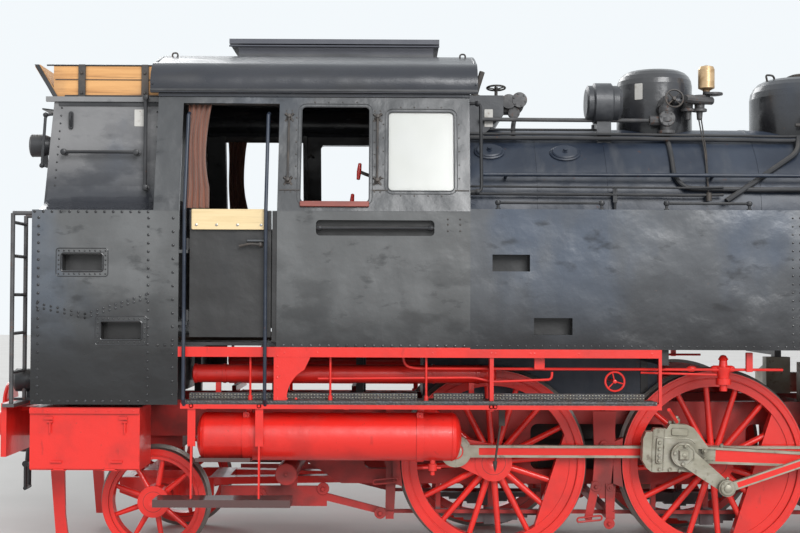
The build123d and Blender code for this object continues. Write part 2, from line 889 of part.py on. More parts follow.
def frame_stretchers():
    """Cross stretchers between the frame plates, with the truck pivots and seats."""
    Cross = namedtuple("Cross", "x z0 z1 thick")
    pieces = [
        box(
            cross.x - cross.thick / 2.0, cross.x + cross.thick / 2.0,
            -frame_in_y, frame_in_y, cross.z0, cross.z1,
        )
        for cross in (
            Cross(-5250.0, 960.0, 1200.0, 40.0),
            Cross(-3780.0, 960.0, 1220.0, 40.0),
            Cross(-2980.0, 720.0, 1200.0, 50.0),
            Cross(coupled_spacing / 2.0, 600.0, 1210.0, 60.0),
            Cross(3150.0, 760.0, 1210.0, 50.0),
            Cross(3900.0, 960.0, 1220.0, 50.0),
            Cross(5250.0, 960.0, 1200.0, 40.0),
        )
    ]
    for end in (-1, 1):
        pivot_x = end * (coupled_spacing + truck_pivot_offset)
        cross_x = end * (coupled_spacing + truck_pivot_offset - 100.0)
        pieces.append(
            join(
                box(cross_x - 30.0, cross_x + 30.0, -frame_in_y, frame_in_y, 600.0, 1210.0),
                box(pivot_x - 130.0, pivot_x + 130.0, -frame_in_y, frame_in_y, 760.0, 840.0),
                bar((pivot_x, 0, truck_post_z), (pivot_x, 0, 800.0), truck_post_radius),
            )
        )
        pieces.append(
            box(
                end * leading_x - 170.0, end * leading_x + 170.0, -frame_in_y, frame_in_y,
                truck_seat_z, frame_end_bottom + 40.0,
            )
        )
    return join(*pieces)


def buffer_beams():
    """Buffer beams with corner gussets and guard irons."""
    beam = box(
        beam_x, beam_x + beam_thickness, -beam_half_width, beam_half_width,
        beam_bottom, beam_top,
    )
    gussets = both(
        along_z(
            [
                (beam_x, frame_out_y),
                (beam_x - gusset_length, frame_out_y),
                (beam_x, frame_out_y + gusset_length),
            ],
            frame_top - 60.0,
            frame_top - 30.0,
        )
    )
    guard_y = frame_out_y + 150.0
    guards = both(
        along_y(
            [
                (beam_x - 150.0, frame_end_bottom + 60.0),
                (beam_x - 280.0, frame_end_bottom + 60.0),
                (beam_x - 300.0, 300.0),
                (beam_x - 330.0, guard_foot_z),
                (beam_x - 230.0, guard_foot_z),
                (beam_x - 210.0, 300.0),
            ],
            guard_y,
            guard_y + 35.0,
        ),
        box(
            beam_x - 280.0, beam_x - 150.0, frame_out_y, guard_y + 35.0,
            frame_end_bottom + 20.0, frame_end_bottom + 60.0,
        ),
    )
    return join(*ends(beam, *gussets, *guards))


def buffers():
    """Four sprung buffers with round heads."""
    start = beam_x + beam_thickness
    length = buffer_face_x - start
    outline = [
        (0.0, 0.0),
        (150.0, 0.0),
        (150.0, 26.0),
        (98.0, 34.0),
        (92.0, 330.0),
        (66.0, 330.0),
        (66.0, length - 52.0),
        (buffer_head_radius - 20.0, length - 44.0),
        (buffer_head_radius, length - 30.0),
        (buffer_head_radius - 4.0, length - 12.0),
        (buffer_flat_radius, length),
        (0.0, length),
    ]
    one = turned(outline, (start, buffer_y, buffer_z), (1, 0, 0))
    return join(*ends(*both(one)))


def draw_gear():
    """Draw hooks with hanging screw couplings."""
    start = beam_x + beam_thickness
    hook = along_y(
        [
            (start - 2.0, buffer_z - 40.0),
            (start + 190.0, buffer_z - 40.0),
            (start + 250.0, buffer_z - 75.0),
            (start + 330.0, buffer_z - 60.0),
            (start + 366.0, buffer_z + 10.0),
            (start + 350.0, buffer_z + 105.0),
            (start + 290.0, buffer_z + 128.0),
            (start + 300.0, buffer_z + 30.0),
            (start + 240.0, buffer_z + 22.0),
            (start + 215.0, buffer_z + 60.0),
            (start - 2.0, buffer_z + 46.0),
        ],
        -28.0,
        28.0,
    )
    guide = box(start, start + 34.0, -110.0, 110.0, buffer_z - 110.0, buffer_z + 110.0)
    pin_x = start + 130.0
    pin = bar((pin_x, -92.0, buffer_z), (pin_x, 92.0, buffer_z), 22.0)
    links = []
    for side in (-1, 1):
        y0 = side * 78.0 - 14.0
        links.append(
            tapered_bar(
                (pin_x, buffer_z), (pin_x + 30.0, buffer_z - 250.0), 24.0, 24.0, y0, y0 + 28.0
            )
        )
        links.append(
            bar(
                (pin_x + 44.0, side * 60.0, buffer_z - 430.0),
                (pin_x + 44.0, side * 60.0, buffer_z - 640.0),
                17.0,
            )
        )
    trunnion = bar(
        (pin_x + 30.0, -96.0, buffer_z - 250.0), (pin_x + 30.0, 96.0, buffer_z - 250.0), 26.0
    )
    screw = bar(
        (pin_x + 30.0, 0, buffer_z - 250.0), (pin_x + 44.0, 0, buffer_z - 430.0), 24.0
    )
    nut = bar(
        (pin_x + 44.0, -80.0, buffer_z - 430.0), (pin_x + 44.0, 80.0, buffer_z - 430.0), 27.0
    )
    shackle = bar(
        (pin_x + 44.0, -76.0, buffer_z - 640.0), (pin_x + 44.0, 76.0, buffer_z - 640.0), 17.0
    )
    return join(*ends(join(hook, guide, pin, *links, trunnion, screw, nut, shackle)))


def axle_boxes():
    """Axle boxes in their slots with leaf springs hung below."""
    spring_mid = (frame_in_y + frame_out_y) / 2.0
    pieces = []
    for axle_x in (-coupled_spacing, 0.0, coupled_spacing):
        block = box(
            axle_x - axle_slot_half, axle_x + axle_slot_half,
            frame_in_y - 20.0, frame_out_y + 20.0,
            frame_bottom + 110.0, driver_radius + 135.0,
        )
        journal = bar(
            (axle_x, 0, driver_radius), (axle_x, beam_half_width, driver_radius),
            driver_axle_radius + journal_gap,
        )
        hanger = box(
            axle_x - 22.0, axle_x + 22.0, spring_mid - 26.0, spring_mid + 26.0,
            spring_top - 10.0, frame_bottom + 112.0,
        )
        low = spring_top - spring_leaves * leaf_thickness
        buckle = box(
            axle_x - 55.0, axle_x + 55.0, spring_mid - leaf_half - 12.0,
            spring_mid + leaf_half + 12.0, low - 14.0, spring_top + 14.0,
        )
        leaves = [
            box(
                axle_x - spring_half + leaf_step * k, axle_x + spring_half - leaf_step * k,
                spring_mid - leaf_half, spring_mid + leaf_half,
                spring_top - leaf_thickness * (k + 1), spring_top - leaf_thickness * k,
            )
            for k in range(spring_leaves)
        ]
        straps = [
            box(
                axle_x + s * (spring_half - 30.0) - 20.0, axle_x + s * (spring_half - 30.0) + 20.0,
                spring_mid - 30.0, spring_mid + 30.0, spring_top - 10.0, frame_bottom + 2.0,
            )
            for s in (-1, 1)
        ]
        pieces += both(join(block - journal, hanger, buckle, *leaves, *straps))
    return join(*pieces)


def truck_frame(end):
    """Swivelling truck frame of a carrying axle."""
    pivot_x = coupled_spacing + truck_pivot_offset
    inner = truck_frame_y
    outer = inner + truck_frame_thickness
    low = carrier_radius - 85.0
    side = along_y(
        [
            (leading_x - 420.0, carrier_radius + 130.0),
            (leading_x - 420.0, carrier_radius - 20.0),
            (leading_x - 150.0, low),
            (leading_x + 150.0, low),
            (leading_x + 380.0, carrier_radius),
            (leading_x + 380.0, carrier_radius + 130.0),
        ],
        inner,
        outer,
    )
    journal = bar(
        (leading_x, 0, carrier_radius), (leading_x, outer + 50.0, carrier_radius),
        carrier_axle_radius + journal_gap,
    )
    housing = box(
        leading_x - 125.0, leading_x + 125.0, inner - 50.0, outer + 12.0,
        low - 10.0, carrier_radius + 130.0,
    )
    arm = along_z(
        [
            (pivot_x - 90.0, -110.0),
            (leading_x - 380.0, -outer),
            (leading_x - 380.0, outer),
            (pivot_x - 90.0, 110.0),
        ],
        carrier_radius + 70.0,
        carrier_radius + 130.0,
    )
    window = along_z(
        [
            (pivot_x + 300.0, -60.0),
            (leading_x - 540.0, -190.0),
            (leading_x - 540.0, 190.0),
            (pivot_x + 300.0, 60.0),
        ],
        carrier_radius,
        carrier_radius + 200.0,
    )
    tie = box(
        leading_x + 300.0, leading_x + 380.0, -outer, outer,
        carrier_radius + 40.0, carrier_radius + 110.0,
    )
    boss = bar(
        (pivot_x, 0, carrier_radius + 40.0), (pivot_x, 0, truck_post_z - seat_gap), 110.0
    )
    seat = box(
        leading_x - 180.0, leading_x + 180.0, -outer, outer,
        carrier_radius + 120.0, carrier_radius + 190.0,
    )
    bearing = bar(
        (leading_x, 0, carrier_radius + 180.0), (leading_x, 0, truck_seat_z - seat_gap), 120.0
    )
    body = join(
        *both(join(side, housing) - journal), arm - window, tie, boss, seat, bearing
    )
    return body if end > 0 else body.mirror(Plane.YZ)


def brake_rigging():
    """Brake cylinders, levers, pull rods, hangers, blocks and cross beams."""
    pieces = []
    beams = []
    for axle_x in (-coupled_spacing, 0.0, coupled_spacing):
        face = axle_x - driver_radius - 8.0
        shoe = along_y(
            [
                (face - 62.0, driver_radius + 170.0),
                (face + 18.0, driver_radius + 200.0),
                (face - 2.0, driver_radius),
                (face + 18.0, driver_radius - 200.0),
                (face - 62.0, driver_radius - 170.0),
            ],
            tyre_back + 36.0,
            tyre_face - 10.0,
        )
        clear = bar(
            (axle_x, 0, driver_radius), (axle_x, beam_half_width, driver_radius),
            driver_radius + 8.0,
        )
        top_z = frame_top - 70.0
        hanger_in = tyre_back + 58.0
        hanger = join(
            tapered_bar(
                (face - 85.0, top_z), (face - 72.0, driver_radius), 36.0, 44.0,
                hanger_in, hanger_in + 32.0,
            ),
            tapered_bar(
                (face - 72.0, driver_radius), (face - 85.0, brake_beam_z), 44.0, 36.0,
                hanger_in, hanger_in + 32.0,
            ),
            eye((face - 72.0, driver_radius), 58.0, hanger_in, hanger_in + 32.0),
        )
        lug = box(
            face - 118.0, face - 52.0, frame_out_y, tyre_back + 96.0, top_z - 30.0, top_z + 40.0
        )
        pieces += both(join(shoe - clear, hanger, lug))
        beams.append(face - 85.0)
        pieces.append(
            box(
                face - 118.0, face - 52.0, -brake_beam_half, brake_beam_half,
                brake_beam_z - 30.0, brake_beam_z + 30.0,
            )
        )
    rod_in = frame_out_y + 40.0
    lever_in = tyre_back + 10.0
    pulls = both(
        box(
            beams[0], beams[-1], rod_in, rod_in + 30.0,
            brake_beam_z - 15.0, brake_beam_z + 15.0,
        ),
        tapered_bar(
            (brake_lever_front - 30.0, brake_lever_z), (beams[0], brake_beam_z), 30.0, 26.0,
            lever_in, lever_in + 30.0,
        ),
        box(
            brake_lever_rear, brake_lever_front, lever_in, lever_in + 30.0,
            brake_lever_z - 82.0, brake_lever_z + 82.0,
        ),
        tapered_bar(
            (brake_shaft_x, brake_shaft_z), (brake_shaft_x, brake_lever_z), 78.0, 60.0,
            lever_in, lever_in + 30.0,
        ),
    )
    shaft = bar(
        (brake_shaft_x, -brake_shaft_half, brake_shaft_z),
        (brake_shaft_x, brake_shaft_half, brake_shaft_z),
        brake_shaft_radius,
    )
    carriers = both(
        box(
            brake_shaft_x - 60.0, brake_shaft_x + 60.0, frame_in_y + 20.0, frame_out_y - 20.0,
            brake_shaft_z, frame_end_bottom - 20.0,
        )
    )
    return join(*pieces, *pulls, shaft, *carriers)


def running_boards():
    """Footboards, valances, hangers and cab steps on both sides."""
    face = body_half_width
    sheet_y = face - 20.0
    bracket_in = hub_face + 90.0
    pieces = [
        box(board_rear, board_front, board_inner_y, sheet_y, board_top - 8.0, board_top),
        box(board_rear, board_front, sheet_y, face, board_bottom, board_top),
        box(door_rear, board_front, face - 14.0, face, cab_beam_bottom, cab_side_bottom),
        box(board_front - 24.0, board_front, face - 24.0, face, board_bottom, cab_side_bottom),
        box(
            board_bracket_x, board_bracket_x + 30.0, face - 160.0, face - 16.0,
            board_top - 8.0, cab_side_bottom,
        ),
        box(
            board_bracket_x, board_bracket_x + 30.0, bracket_in, sheet_y,
            board_top - 60.0, board_top - 8.0,
        ),
    ]
    for x in board_arms:
        pieces.append(
            box(x - 20.0, x + 20.0, frame_out_y, face - 100.0, board_top - 60.0, board_top - 8.0)
        )
    gusset = along_y(
        [
            (gusset_rear, cab_side_bottom - 6.0),
            (gusset_front, cab_side_bottom - 6.0),
            (gusset_rear + 110.0, board_top - 6.0),
            (gusset_rear, board_top - 6.0),
        ],
        face - 13.0,
        face - 3.0,
    )
    hollow = eye(
        (gusset_front + 40.0, board_top + 30.0), gusset_front - gusset_rear - 60.0,
        face - 20.0, face + 5.0,
    )
    pieces.append(gusset - hollow)
    upper, lower = cab_steps
    depth = cab_step_depth
    pieces += [
        box(upper.x0, upper.x1, face - depth, face, upper.z0, upper.z0 + 12.0),
        box(upper.x0, upper.x1, face - 12.0, face, upper.z0, upper.z1),
        box(lower.x0, lower.x1, face - depth, face, lower.z0, lower.z1),
    ]
    for x in step_hangers:
        pieces += [
            box(x - 30.0, x + 30.0, face - 36.0, face - 24.0, step_twist_z, board_top - 4.0),
            box(x - 7.0, x + 7.0, face - 64.0, face - 12.0, lower.z0 + 10.0, step_twist_z + 12.0),
        ]
    pieces += [
        along_y(
            [
                (tank_front, tank_bottom),
                (tank_front, tank_bottom - 30.0),
                (deck_bend_x - 20.0, tank_bottom - 30.0),
                (beam_x - 30.0, beam_top - 24.0),
                (beam_x + beam_thickness, beam_top - 24.0),
                (beam_x + beam_thickness, beam_top + 6.0),
                (beam_x - 40.0, beam_top + 6.0),
                (deck_bend_x, tank_bottom),
            ],
            860.0,
            beam_half_width + 20.0,
        ),
        box(
            front_bracket_x, front_bracket_x + 50.0, frame_out_y, beam_half_width,
            tank_bottom - 110.0, tank_bottom - 20.0,
        ),
        box(
            front_bracket_x, front_bracket_x + 50.0, frame_out_y, frame_out_y + 60.0,
            frame_top - 30.0, tank_bottom - 20.0,
        ),
        box(beam_x - 460.0, beam_x + beam_thickness, 0.0, 870.0, beam_top, beam_top + 6.0),
    ]
    return join(*both(*pieces))


def boiler():
    """Clad barrel, firebox casing and backhead."""
    barrel = bar((cab_front - 12.0, 0, boiler_z), (boiler_front, 0, boiler_z), boiler_radius)
    back = bar((backhead_x, 0, boiler_z), (cab_front, 0, boiler_z), backhead_radius)
    back_low = box(
        backhead_x, cab_front, -backhead_radius, backhead_radius, cab_floor_z, boiler_z
    )
    firebox = box(
        backhead_x + 60.0, firebox_front, -firebox_half_width, firebox_half_width,
        frame_top + 10.0, boiler_z,
    )
    fire_door = bar((backhead_x - 24.0, 0, 2150.0), (backhead_x + 10.0, 0, 2150.0), 210.0)
    support = box(
        2000.0, 2060.0, -frame_out_y, frame_out_y, frame_top, boiler_z - 600.0
    )
    return join(barrel, back, back_low, firebox, fire_door, support)


def ashpan():
    """Ashpan hoppers below the firebox."""
    top = frame_top + 10.0
    upper = along_x(
        [(-440.0, top), (440.0, top), (400.0, 900.0), (-400.0, 900.0)],
        backhead_x + 90.0,
        firebox_front - 10.0,
    )
    hopper = along_y(
        [(-1520.0, 905.0), (-260.0 - 400.0, 905.0), (-760.0, 560.0), (-1420.0, 560.0)],
        -330.0,
        330.0,
    )
    return join(upper, hopper)


def smokebox():
    """Smokebox shell with saddle, front ring and blast pipe."""
    shell = bar((boiler_front, 0, boiler_z), (smokebox_front, 0, boiler_z), smokebox_radius)
    space = bar(
        (boiler_front + smokebox_wall, 0, boiler_z),
        (smokebox_front - smokebox_wall, 0, boiler_z),
        smokebox_radius - smokebox_wall,
    )
    mouth = bar(
        (smokebox_front - 100.0, 0, boiler_z), (smokebox_front + 60.0, 0, boiler_z),
        smokebox_opening_radius,
    )
    rear = cylinder_x - cylinder_half
    front = cylinder_x + cylinder_half
    saddle = box(
        rear + 60.0, front - 60.0, -frame_out_y, frame_out_y, frame_top,
        boiler_z - smokebox_radius + 260.0,
    )
    shelf = box(
        4780.0, 4840.0, -frame_out_y, frame_out_y, frame_top, boiler_z - smokebox_radius + 260.0
    )
    body = join(shell, saddle, shelf) - [space, mouth]
    chimney_throat = bar(
        (chimney_x, 0, boiler_z), (chimney_x, 0, boiler_z + smokebox_radius + 40.0),
        chimney_radius - 40.0,
    )
    blast = turned(
        [(0.0, 0.0), (150.0, 0.0), (85.0, 480.0), (0.0, 480.0)],
        (chimney_x, 0, boiler_z - smokebox_radius + 6.0),
        (0, 0, 1),
    )
    return join(body - chimney_throat, blast)


def chimney():
    """Chimney with its flared foot and lip."""
    foot = boiler_z + smokebox_radius
    low = boiler_z + math.sqrt(smokebox_radius ** 2 - (chimney_radius + 90.0) ** 2) - 6.0
    outline = [
        (chimney_radius - 40.0, low),
        (chimney_radius + 90.0, low),
        (chimney_radius + 26.0, foot + 30.0),
        (chimney_radius, foot + 90.0),
        (chimney_radius, chimney_top - 90.0),
        (chimney_radius + 32.0, chimney_top - 70.0),
        (chimney_radius + 32.0, chimney_top),
        (chimney_radius - 40.0, chimney_top),
    ]
    stack = turned(outline, (chimney_x, 0, 0), (0, 0, 1))
    seat = bar(
        (boiler_front, 0, boiler_z), (smokebox_front, 0, boiler_z), smokebox_radius
    )
    return join(stack - seat)


def dome(x, radius, top, corner):
    """Domed cover standing on the barrel, its shoulder rounded."""
    low = boiler_z + math.sqrt(boiler_radius ** 2 - radius ** 2) - 40.0
    shoulder = top - radius * 0.07
    outline = [(0.0, low), (radius, low)]
    for step in range(dome_steps + 1):
        lean = math.pi / 2.0 * step / dome_steps
        outline.append(
            (radius - corner * (1.0 - math.cos(lean)), shoulder - corner * (1.0 - math.sin(lean)))
        )
    outline.append((0.0, top))
    shape = turned(outline, (x, 0, 0), (0, 0, 1))
    seat = bar((cab_front, 0, boiler_z), (boiler_front, 0, boiler_z), boiler_radius)
    return join(shape - seat)


def smokebox_door():
    """Dished smokebox door with hinge straps and hand wheel."""
    x = smokebox_front + 4.0
    disc = turned(
        [
            (0.0, 0.0),
            (smokebox_door_radius, 0.0),
            (smokebox_door_radius, 26.0),
            (smokebox_door_radius * 0.7, 92.0),
            (0.0, 128.0),
        ],
        (x, 0, boiler_z),
        (1, 0, 0),
    )
    hinge_y = -(smokebox_door_radius + 46.0)
    straps = [
        box(x + 4.0, x + 70.0, hinge_y, -200.0, boiler_z + dz - 30.0, boiler_z + dz + 30.0)
        for dz in (-230.0, 230.0)
    ]
    knuckle = [
        bar(
            (x + 30.0, hinge_y, boiler_z + dz - 55.0), (x + 30.0, hinge_y, boiler_z + dz + 55.0),
            30.0,
        )
        for dz in (-230.0, 230.0)
    ]
    spindle = bar((x + 100.0, 0, boiler_z), (x + 230.0, 0, boiler_z), 24.0)
    hand = turned(
        [(120.0, 0.0), (146.0, 0.0), (146.0, 24.0), (120.0, 24.0)],
        (x + 176.0, 0, boiler_z),
        (1, 0, 0),
    )
    arms = [
        box(x + 178.0, x + 198.0, -126.0, 126.0, boiler_z - 11.0, boiler_z + 11.0),
        box(x + 178.0, x + 198.0, -11.0, 11.0, boiler_z - 126.0, boiler_z + 126.0),
    ]
    return join(disc, *straps, *knuckle, spindle, hand, *arms)


def smokebox_hinges():
    """Fixed hinge lugs and lamp brackets on the smokebox front."""
    x = smokebox_front
    hinge_y = -(smokebox_door_radius + 46.0)
    lugs = []
    for dz in (-230.0, 230.0):
        for s in (-1, 1):
            z = boiler_z + dz + s * (55.0 + seat_gap + 18.0)
            lugs.append(box(x - 20.0, x + 70.0, hinge_y - 40.0, hinge_y + 34.0, z - 18.0, z + 18.0))
    return lugs


def feedwater_heater():
    """Cross drum of the feedwater heater on the smokebox top."""
    z = boiler_z + smokebox_radius + 40.0
    drum = bar((heater_x, -760.0, z), (heater_x, 760.0, z), heater_radius)
    caps = [
        bar((heater_x, s * 740.0, z), (heater_x, s * 790.0, z), heater_radius + 18.0)
        for s in (-1, 1)
    ]
    seat = bar((boiler_front, 0, boiler_z), (smokebox_front, 0, boiler_z), smokebox_radius)
    pipes = both(bar((heater_x, 640.0, z - 120.0), (heater_x, 700.0, boiler_z + 300.0), 48.0))
    return join(join(drum, *caps, *pipes) - seat)


def boiler_fittings():
    """Turbo generator, whistle, safety valves and steam manifold."""
    crown = boiler_z + boiler_radius
    drum = turned(
        [
            (0.0, -generator_half), (generator_radius - 54.0, -generator_half),
            (generator_radius - 22.0, -generator_half + 15.0),
            (generator_radius - 22.0, -generator_half + 55.0),
            (generator_radius, -generator_half + 70.0), (generator_radius, 60.0),
            (generator_radius - 22.0, 75.0), (generator_radius - 22.0, generator_half - 30.0),
            (generator_radius - 52.0, generator_half), (0.0, generator_half),
        ],
        (generator_x, generator_y, generator_z),
        (1, 0, 0),
    )
    generator_foot = box(
        generator_x - 60.0, generator_x + 60.0, generator_y - 60.0, generator_y + 60.0,
        crown - 180.0, generator_z - generator_radius + 30.0,
    )
    pipe = tube(
        [
            (steam_dome_x + 95.0, whistle_y, whistle_pipe_z),
            (whistle_x, whistle_y, whistle_pipe_z),
            (whistle_x, whistle_y, whistle_bell_z + 20.0),
        ],
        whistle_pipe_radius,
    )
    bell = turned(
        [
            (0.0, whistle_bell_z), (whistle_pipe_radius, whistle_bell_z),
            (whistle_radius, whistle_bell_z + 20.0), (whistle_radius, whistle_top - 43.0),
            (whistle_radius - 10.0, whistle_top - 18.0), (0.0, whistle_top),
        ],
        (whistle_x, whistle_y, 0),
        (0, 0, 1),
    )
    valve = turned(
        [
            (0.0, crown - 40.0), (66.0, crown - 40.0), (66.0, crown + 60.0),
            (40.0, crown + 80.0), (40.0, crown + 250.0), (0.0, crown + 262.0),
        ],
        (safety_valve_x, safety_valve_y, 0),
        (0, 0, 1),
    )
    manifold = along_y(
        [
            (cab_front - 4.0, crown - 110.0),
            (manifold_front - manifold_chamfer, crown - 110.0),
            (manifold_front - manifold_chamfer, crown - 90.0),
            (manifold_front, crown - 90.0 + manifold_chamfer),
            (manifold_front, manifold_top),
            (cab_front - 4.0, manifold_top),
        ],
        -manifold_half_width,
        manifold_half_width,
    )
    return join(drum, generator_foot, pipe, bell, *both(valve), manifold)


def pumps():
    """Air pump on the right and feed pump on the left of the smokebox."""
    base = tank_bottom - 4.0
    body = turned(
        [
            (0.0, base), (150.0, base), (150.0, base + 330.0), (70.0, base + 350.0),
            (70.0, base + 440.0), (165.0, base + 460.0), (165.0, base + 800.0),
            (90.0, base + 850.0), (0.0, base + 860.0),
        ],
        (pump_x, pump_y, 0),
        (0, 0, 1),
    )
    bracket = box(
        pump_x - 70.0, pump_x + 70.0, boiler_radius - 100.0, pump_y - 30.0,
        base + 480.0, base + 560.0,
    )
    return join(*both(body, bracket))


def side_tanks():
    """Water tanks along both sides of the boiler."""
    body = box(cab_front, tank_front, tank_inner_y, body_half_width, tank_bottom, tank_top)
    Recess = namedtuple("Recess", "x0 x1 z0 z1")
    cuts = [
        box(r.x0, r.x1, body_half_width - step_recess_depth, body_half_width + 10.0, r.z0, r.z1)
        for r in (
            Recess(-1863.0, -1575.0, 2293.0, 2422.0),
            Recess(-1544.0, -1249.0, 1809.0, 1938.0),
        )
    ]
    feet = [
        box(x, x + 60.0, frame_out_y, body_half_width - 60.0, tank_bottom - 120.0, tank_bottom)
        for x in (-560.0, 870.0, 2200.0)
    ]
    legs = [
        box(x, x + 60.0, frame_in_y + 10.0, frame_out_y + 60.0, frame_top, tank_bottom - 60.0)
        for x in (-560.0, 2200.0)
    ]
    legs.append(
        box(870.0, 930.0, frame_in_y + 10.0, frame_out_y + 20.0, frame_top + 320.0, tank_bottom - 60.0)
    )
    rim_z = tank_top + filler_height
    neck = bar(
        (filler_x, filler_y, tank_top - 4.0), (filler_x, filler_y, rim_z), filler_radius
    )
    well = bar(
        (filler_x, filler_y, tank_top - 300.0), (filler_x, filler_y, rim_z + 10.0),
        filler_radius - 12.0,
    )
    lugs = [
        box(
            filler_x + s * 70.0 - 9.0, filler_x + s * 70.0 + 9.0,
            filler_y - filler_radius - 60.0, filler_y - filler_radius + 20.0,
            tank_top - 4.0, rim_z - 1.0,
        )
        for s in (-1, 1)
    ]
    return join(*both(join(body, *feet, *legs, neck, *lugs) - (cuts + [well])))


def tank_lid(side):
    """Hinged filler lid of a side tank."""
    z = tank_top + filler_height + seat_gap
    lid = bar((filler_x, filler_y, z), (filler_x, filler_y, z + 18.0), filler_radius + 16.0)
    grip = box(
        filler_x - 100.0, filler_x + 100.0, filler_y + 60.0, filler_y + 90.0, z + 16.0, z + 46.0
    )
    ear = box(
        filler_x - 60.0, filler_x + 60.0, filler_y - filler_radius - 48.0,
        filler_y - filler_radius + 10.0, z + 2.0, z + 16.0,
    )
    knuckle = bar(
        (filler_x - 60.0, filler_y - filler_radius - 50.0, z + 9.0),
        (filler_x + 60.0, filler_y - filler_radius - 50.0, z + 9.0),
        9.0,
    )
    return on_side(join(lid, grip, ear, knuckle), side)


def lower_body():
    """Rear water tank under the coal space."""
    body = box(
        bunker_rear, cab_rear, -body_half_width, body_half_width, bunker_bottom, belt_z
    )
    Recess = namedtuple("Recess", "x0 x1 z0 z1")
    cuts = [
        box(r.x0, r.x1, body_half_width - step_recess_depth, body_half_width + 10.0, r.z0, r.z1)
        for r in (
            Recess(-5154.0, -4848.0, 2287.0, 2412.0),
            Recess(-4852.0, -4546.0, 1765.0, 1894.0),
        )
    ]
    shoot = along_y(
        [
            (cab_rear + 10.0, 1900.0),
            (cab_rear - 60.0, 1900.0),
            (-5240.0, belt_z + 10.0),
            (cab_rear + 10.0, belt_z + 10.0),
        ],
        -620.0,
        620.0,
    )
    return join(body - (both(*cuts) + [shoot]))


def coal_bunker():
    """Open coal box above the rear tank."""
    outer = along_y(
        [
            (cab_rear, belt_z),
            (coal_rear_low, belt_z),
            (coal_rear_high, coal_top),
            (cab_rear, coal_top),
        ],
        -coal_half_width,
        coal_half_width,
    )
    inner = along_y(
        [
            (cab_rear - sheet, belt_z - 10.0),
            (coal_rear_low + sheet, belt_z - 10.0),
            (coal_rear_high + sheet, coal_top + 10.0),
            (cab_rear - sheet, coal_top + 10.0),
        ],
        -coal_half_width + sheet,
        coal_half_width - sheet,
    )
    ribs = both(
        box(
            coal_rear_low + 20.0, cab_rear, coal_half_width - 4.0, coal_half_width + 26.0,
            coal_top - 40.0, coal_top,
        )
    )
    shovel = box(cab_rear - 40.0, cab_rear + 10.0, -300.0, 300.0, belt_z - 20.0, belt_z + 160.0)
    return join(join(outer, *ribs) - [inner, shovel])


def bunker_boards():
    """Wooden boards that raise the coal box."""
    side = box(
        coal_rear_high - 10.0, cab_rear, coal_half_width - board_thickness, coal_half_width,
        coal_top, boards_top,
    )
    rear = along_y(
        [
            (coal_rear_high - 8.0, coal_top - 6.0),
            (coal_rear_high + 34.0, coal_top + 2.0),
            (coal_rear_high - 120.0, boards_top + 4.0),
            (coal_rear_high - 162.0, boards_top - 10.0),
        ],
        -coal_half_width,
        coal_half_width,
    )
    return join(rear, *both(side))


def body_section(inset):
    """Half outline of the cab side, set in by a distance."""
    low = body_half_width - inset
    high = body_top_half_width - inset
    return low, high


def cab_side(side):
    """One side of the cab with its windows, posts and recess."""
    low_out, high_out = body_section(0.0)
    low_in, high_in = body_section(sheet)
    panel = [
        (low_out, cab_side_bottom),
        (low_out, belt_z),
        (high_out, eaves_z),
        (high_in, eaves_z),
        (low_in, belt_z),
        (low_in, cab_side_bottom),
    ]
    rear_panel = [
        (low_out, bunker_bottom),
        (low_out, belt_z),
        (high_out, eaves_z),
        (high_in, eaves_z),
        (low_in, belt_z),
        (low_in, bunker_bottom),
    ]
    body = along_x(panel, door_front, cab_front)
    strip = along_x(rear_panel, cab_rear, door_rear)
    lintel_low = eaves_z - 60.0
    slope = (low_out - high_out) / (eaves_z - belt_z)
    lintel_y = high_out + slope * 60.0
    lintel = along_x(
        [
            (lintel_y, lintel_low),
            (high_out, eaves_z),
            (high_in, eaves_z),
            (lintel_y - sheet, lintel_low),
        ],
        door_rear,
        door_front,
    )
    posts = [
        along_x(
            [
                (low_in, cab_side_bottom),
                (low_in, belt_z),
                (high_in, eaves_z),
                (high_in - 40.0, eaves_z),
                (low_in - 40.0, belt_z),
                (low_in - 40.0, cab_side_bottom),
            ],
            x0,
            x0 + 40.0,
        )
        for x0 in (door_rear - 44.0, door_front + 4.0)
    ]
    Window = namedtuple("Window", "x0 x1 z0 z1")
    cuts = [
        rounded_box(
            w.x0, w.x1, body_top_half_width - 120.0, body_half_width + 20.0, w.z0, w.z1,
            window_corner,
        )
        for w in (
            Window(-3336.0, -2814.0, 2814.0, 3581.0),
            Window(-2661.0, -2158.0, 2906.0, 3541.0),
            Window(-3215.0, -2308.0, 2562.0, 2681.0),
        )
    ]
    brackets = [
        box(
            door_rear - 2.0, door_hinge_x + 9.0, door_hinge_y - 10.0, low_in + 2.0,
            z - 26.0, z - seat_gap,
        )
        for z in door_hinges_z
    ]
    tray = box(
        -3223.0, -2300.0, low_in - 52.0, low_in + 2.0, 2554.0, 2689.0
    ) - rounded_box(-3215.0, -2308.0, low_in - 46.0, low_in + 20.0, 2562.0, 2681.0, window_corner)
    rod = bar((-3218.0, low_in - 10.0, 2622.0), (-2304.0, low_in - 10.0, 2622.0), 11.0)
    shell = join(body, strip, lintel, *posts, *brackets) - cuts
    return on_side(join(shell, tray, rod), side)


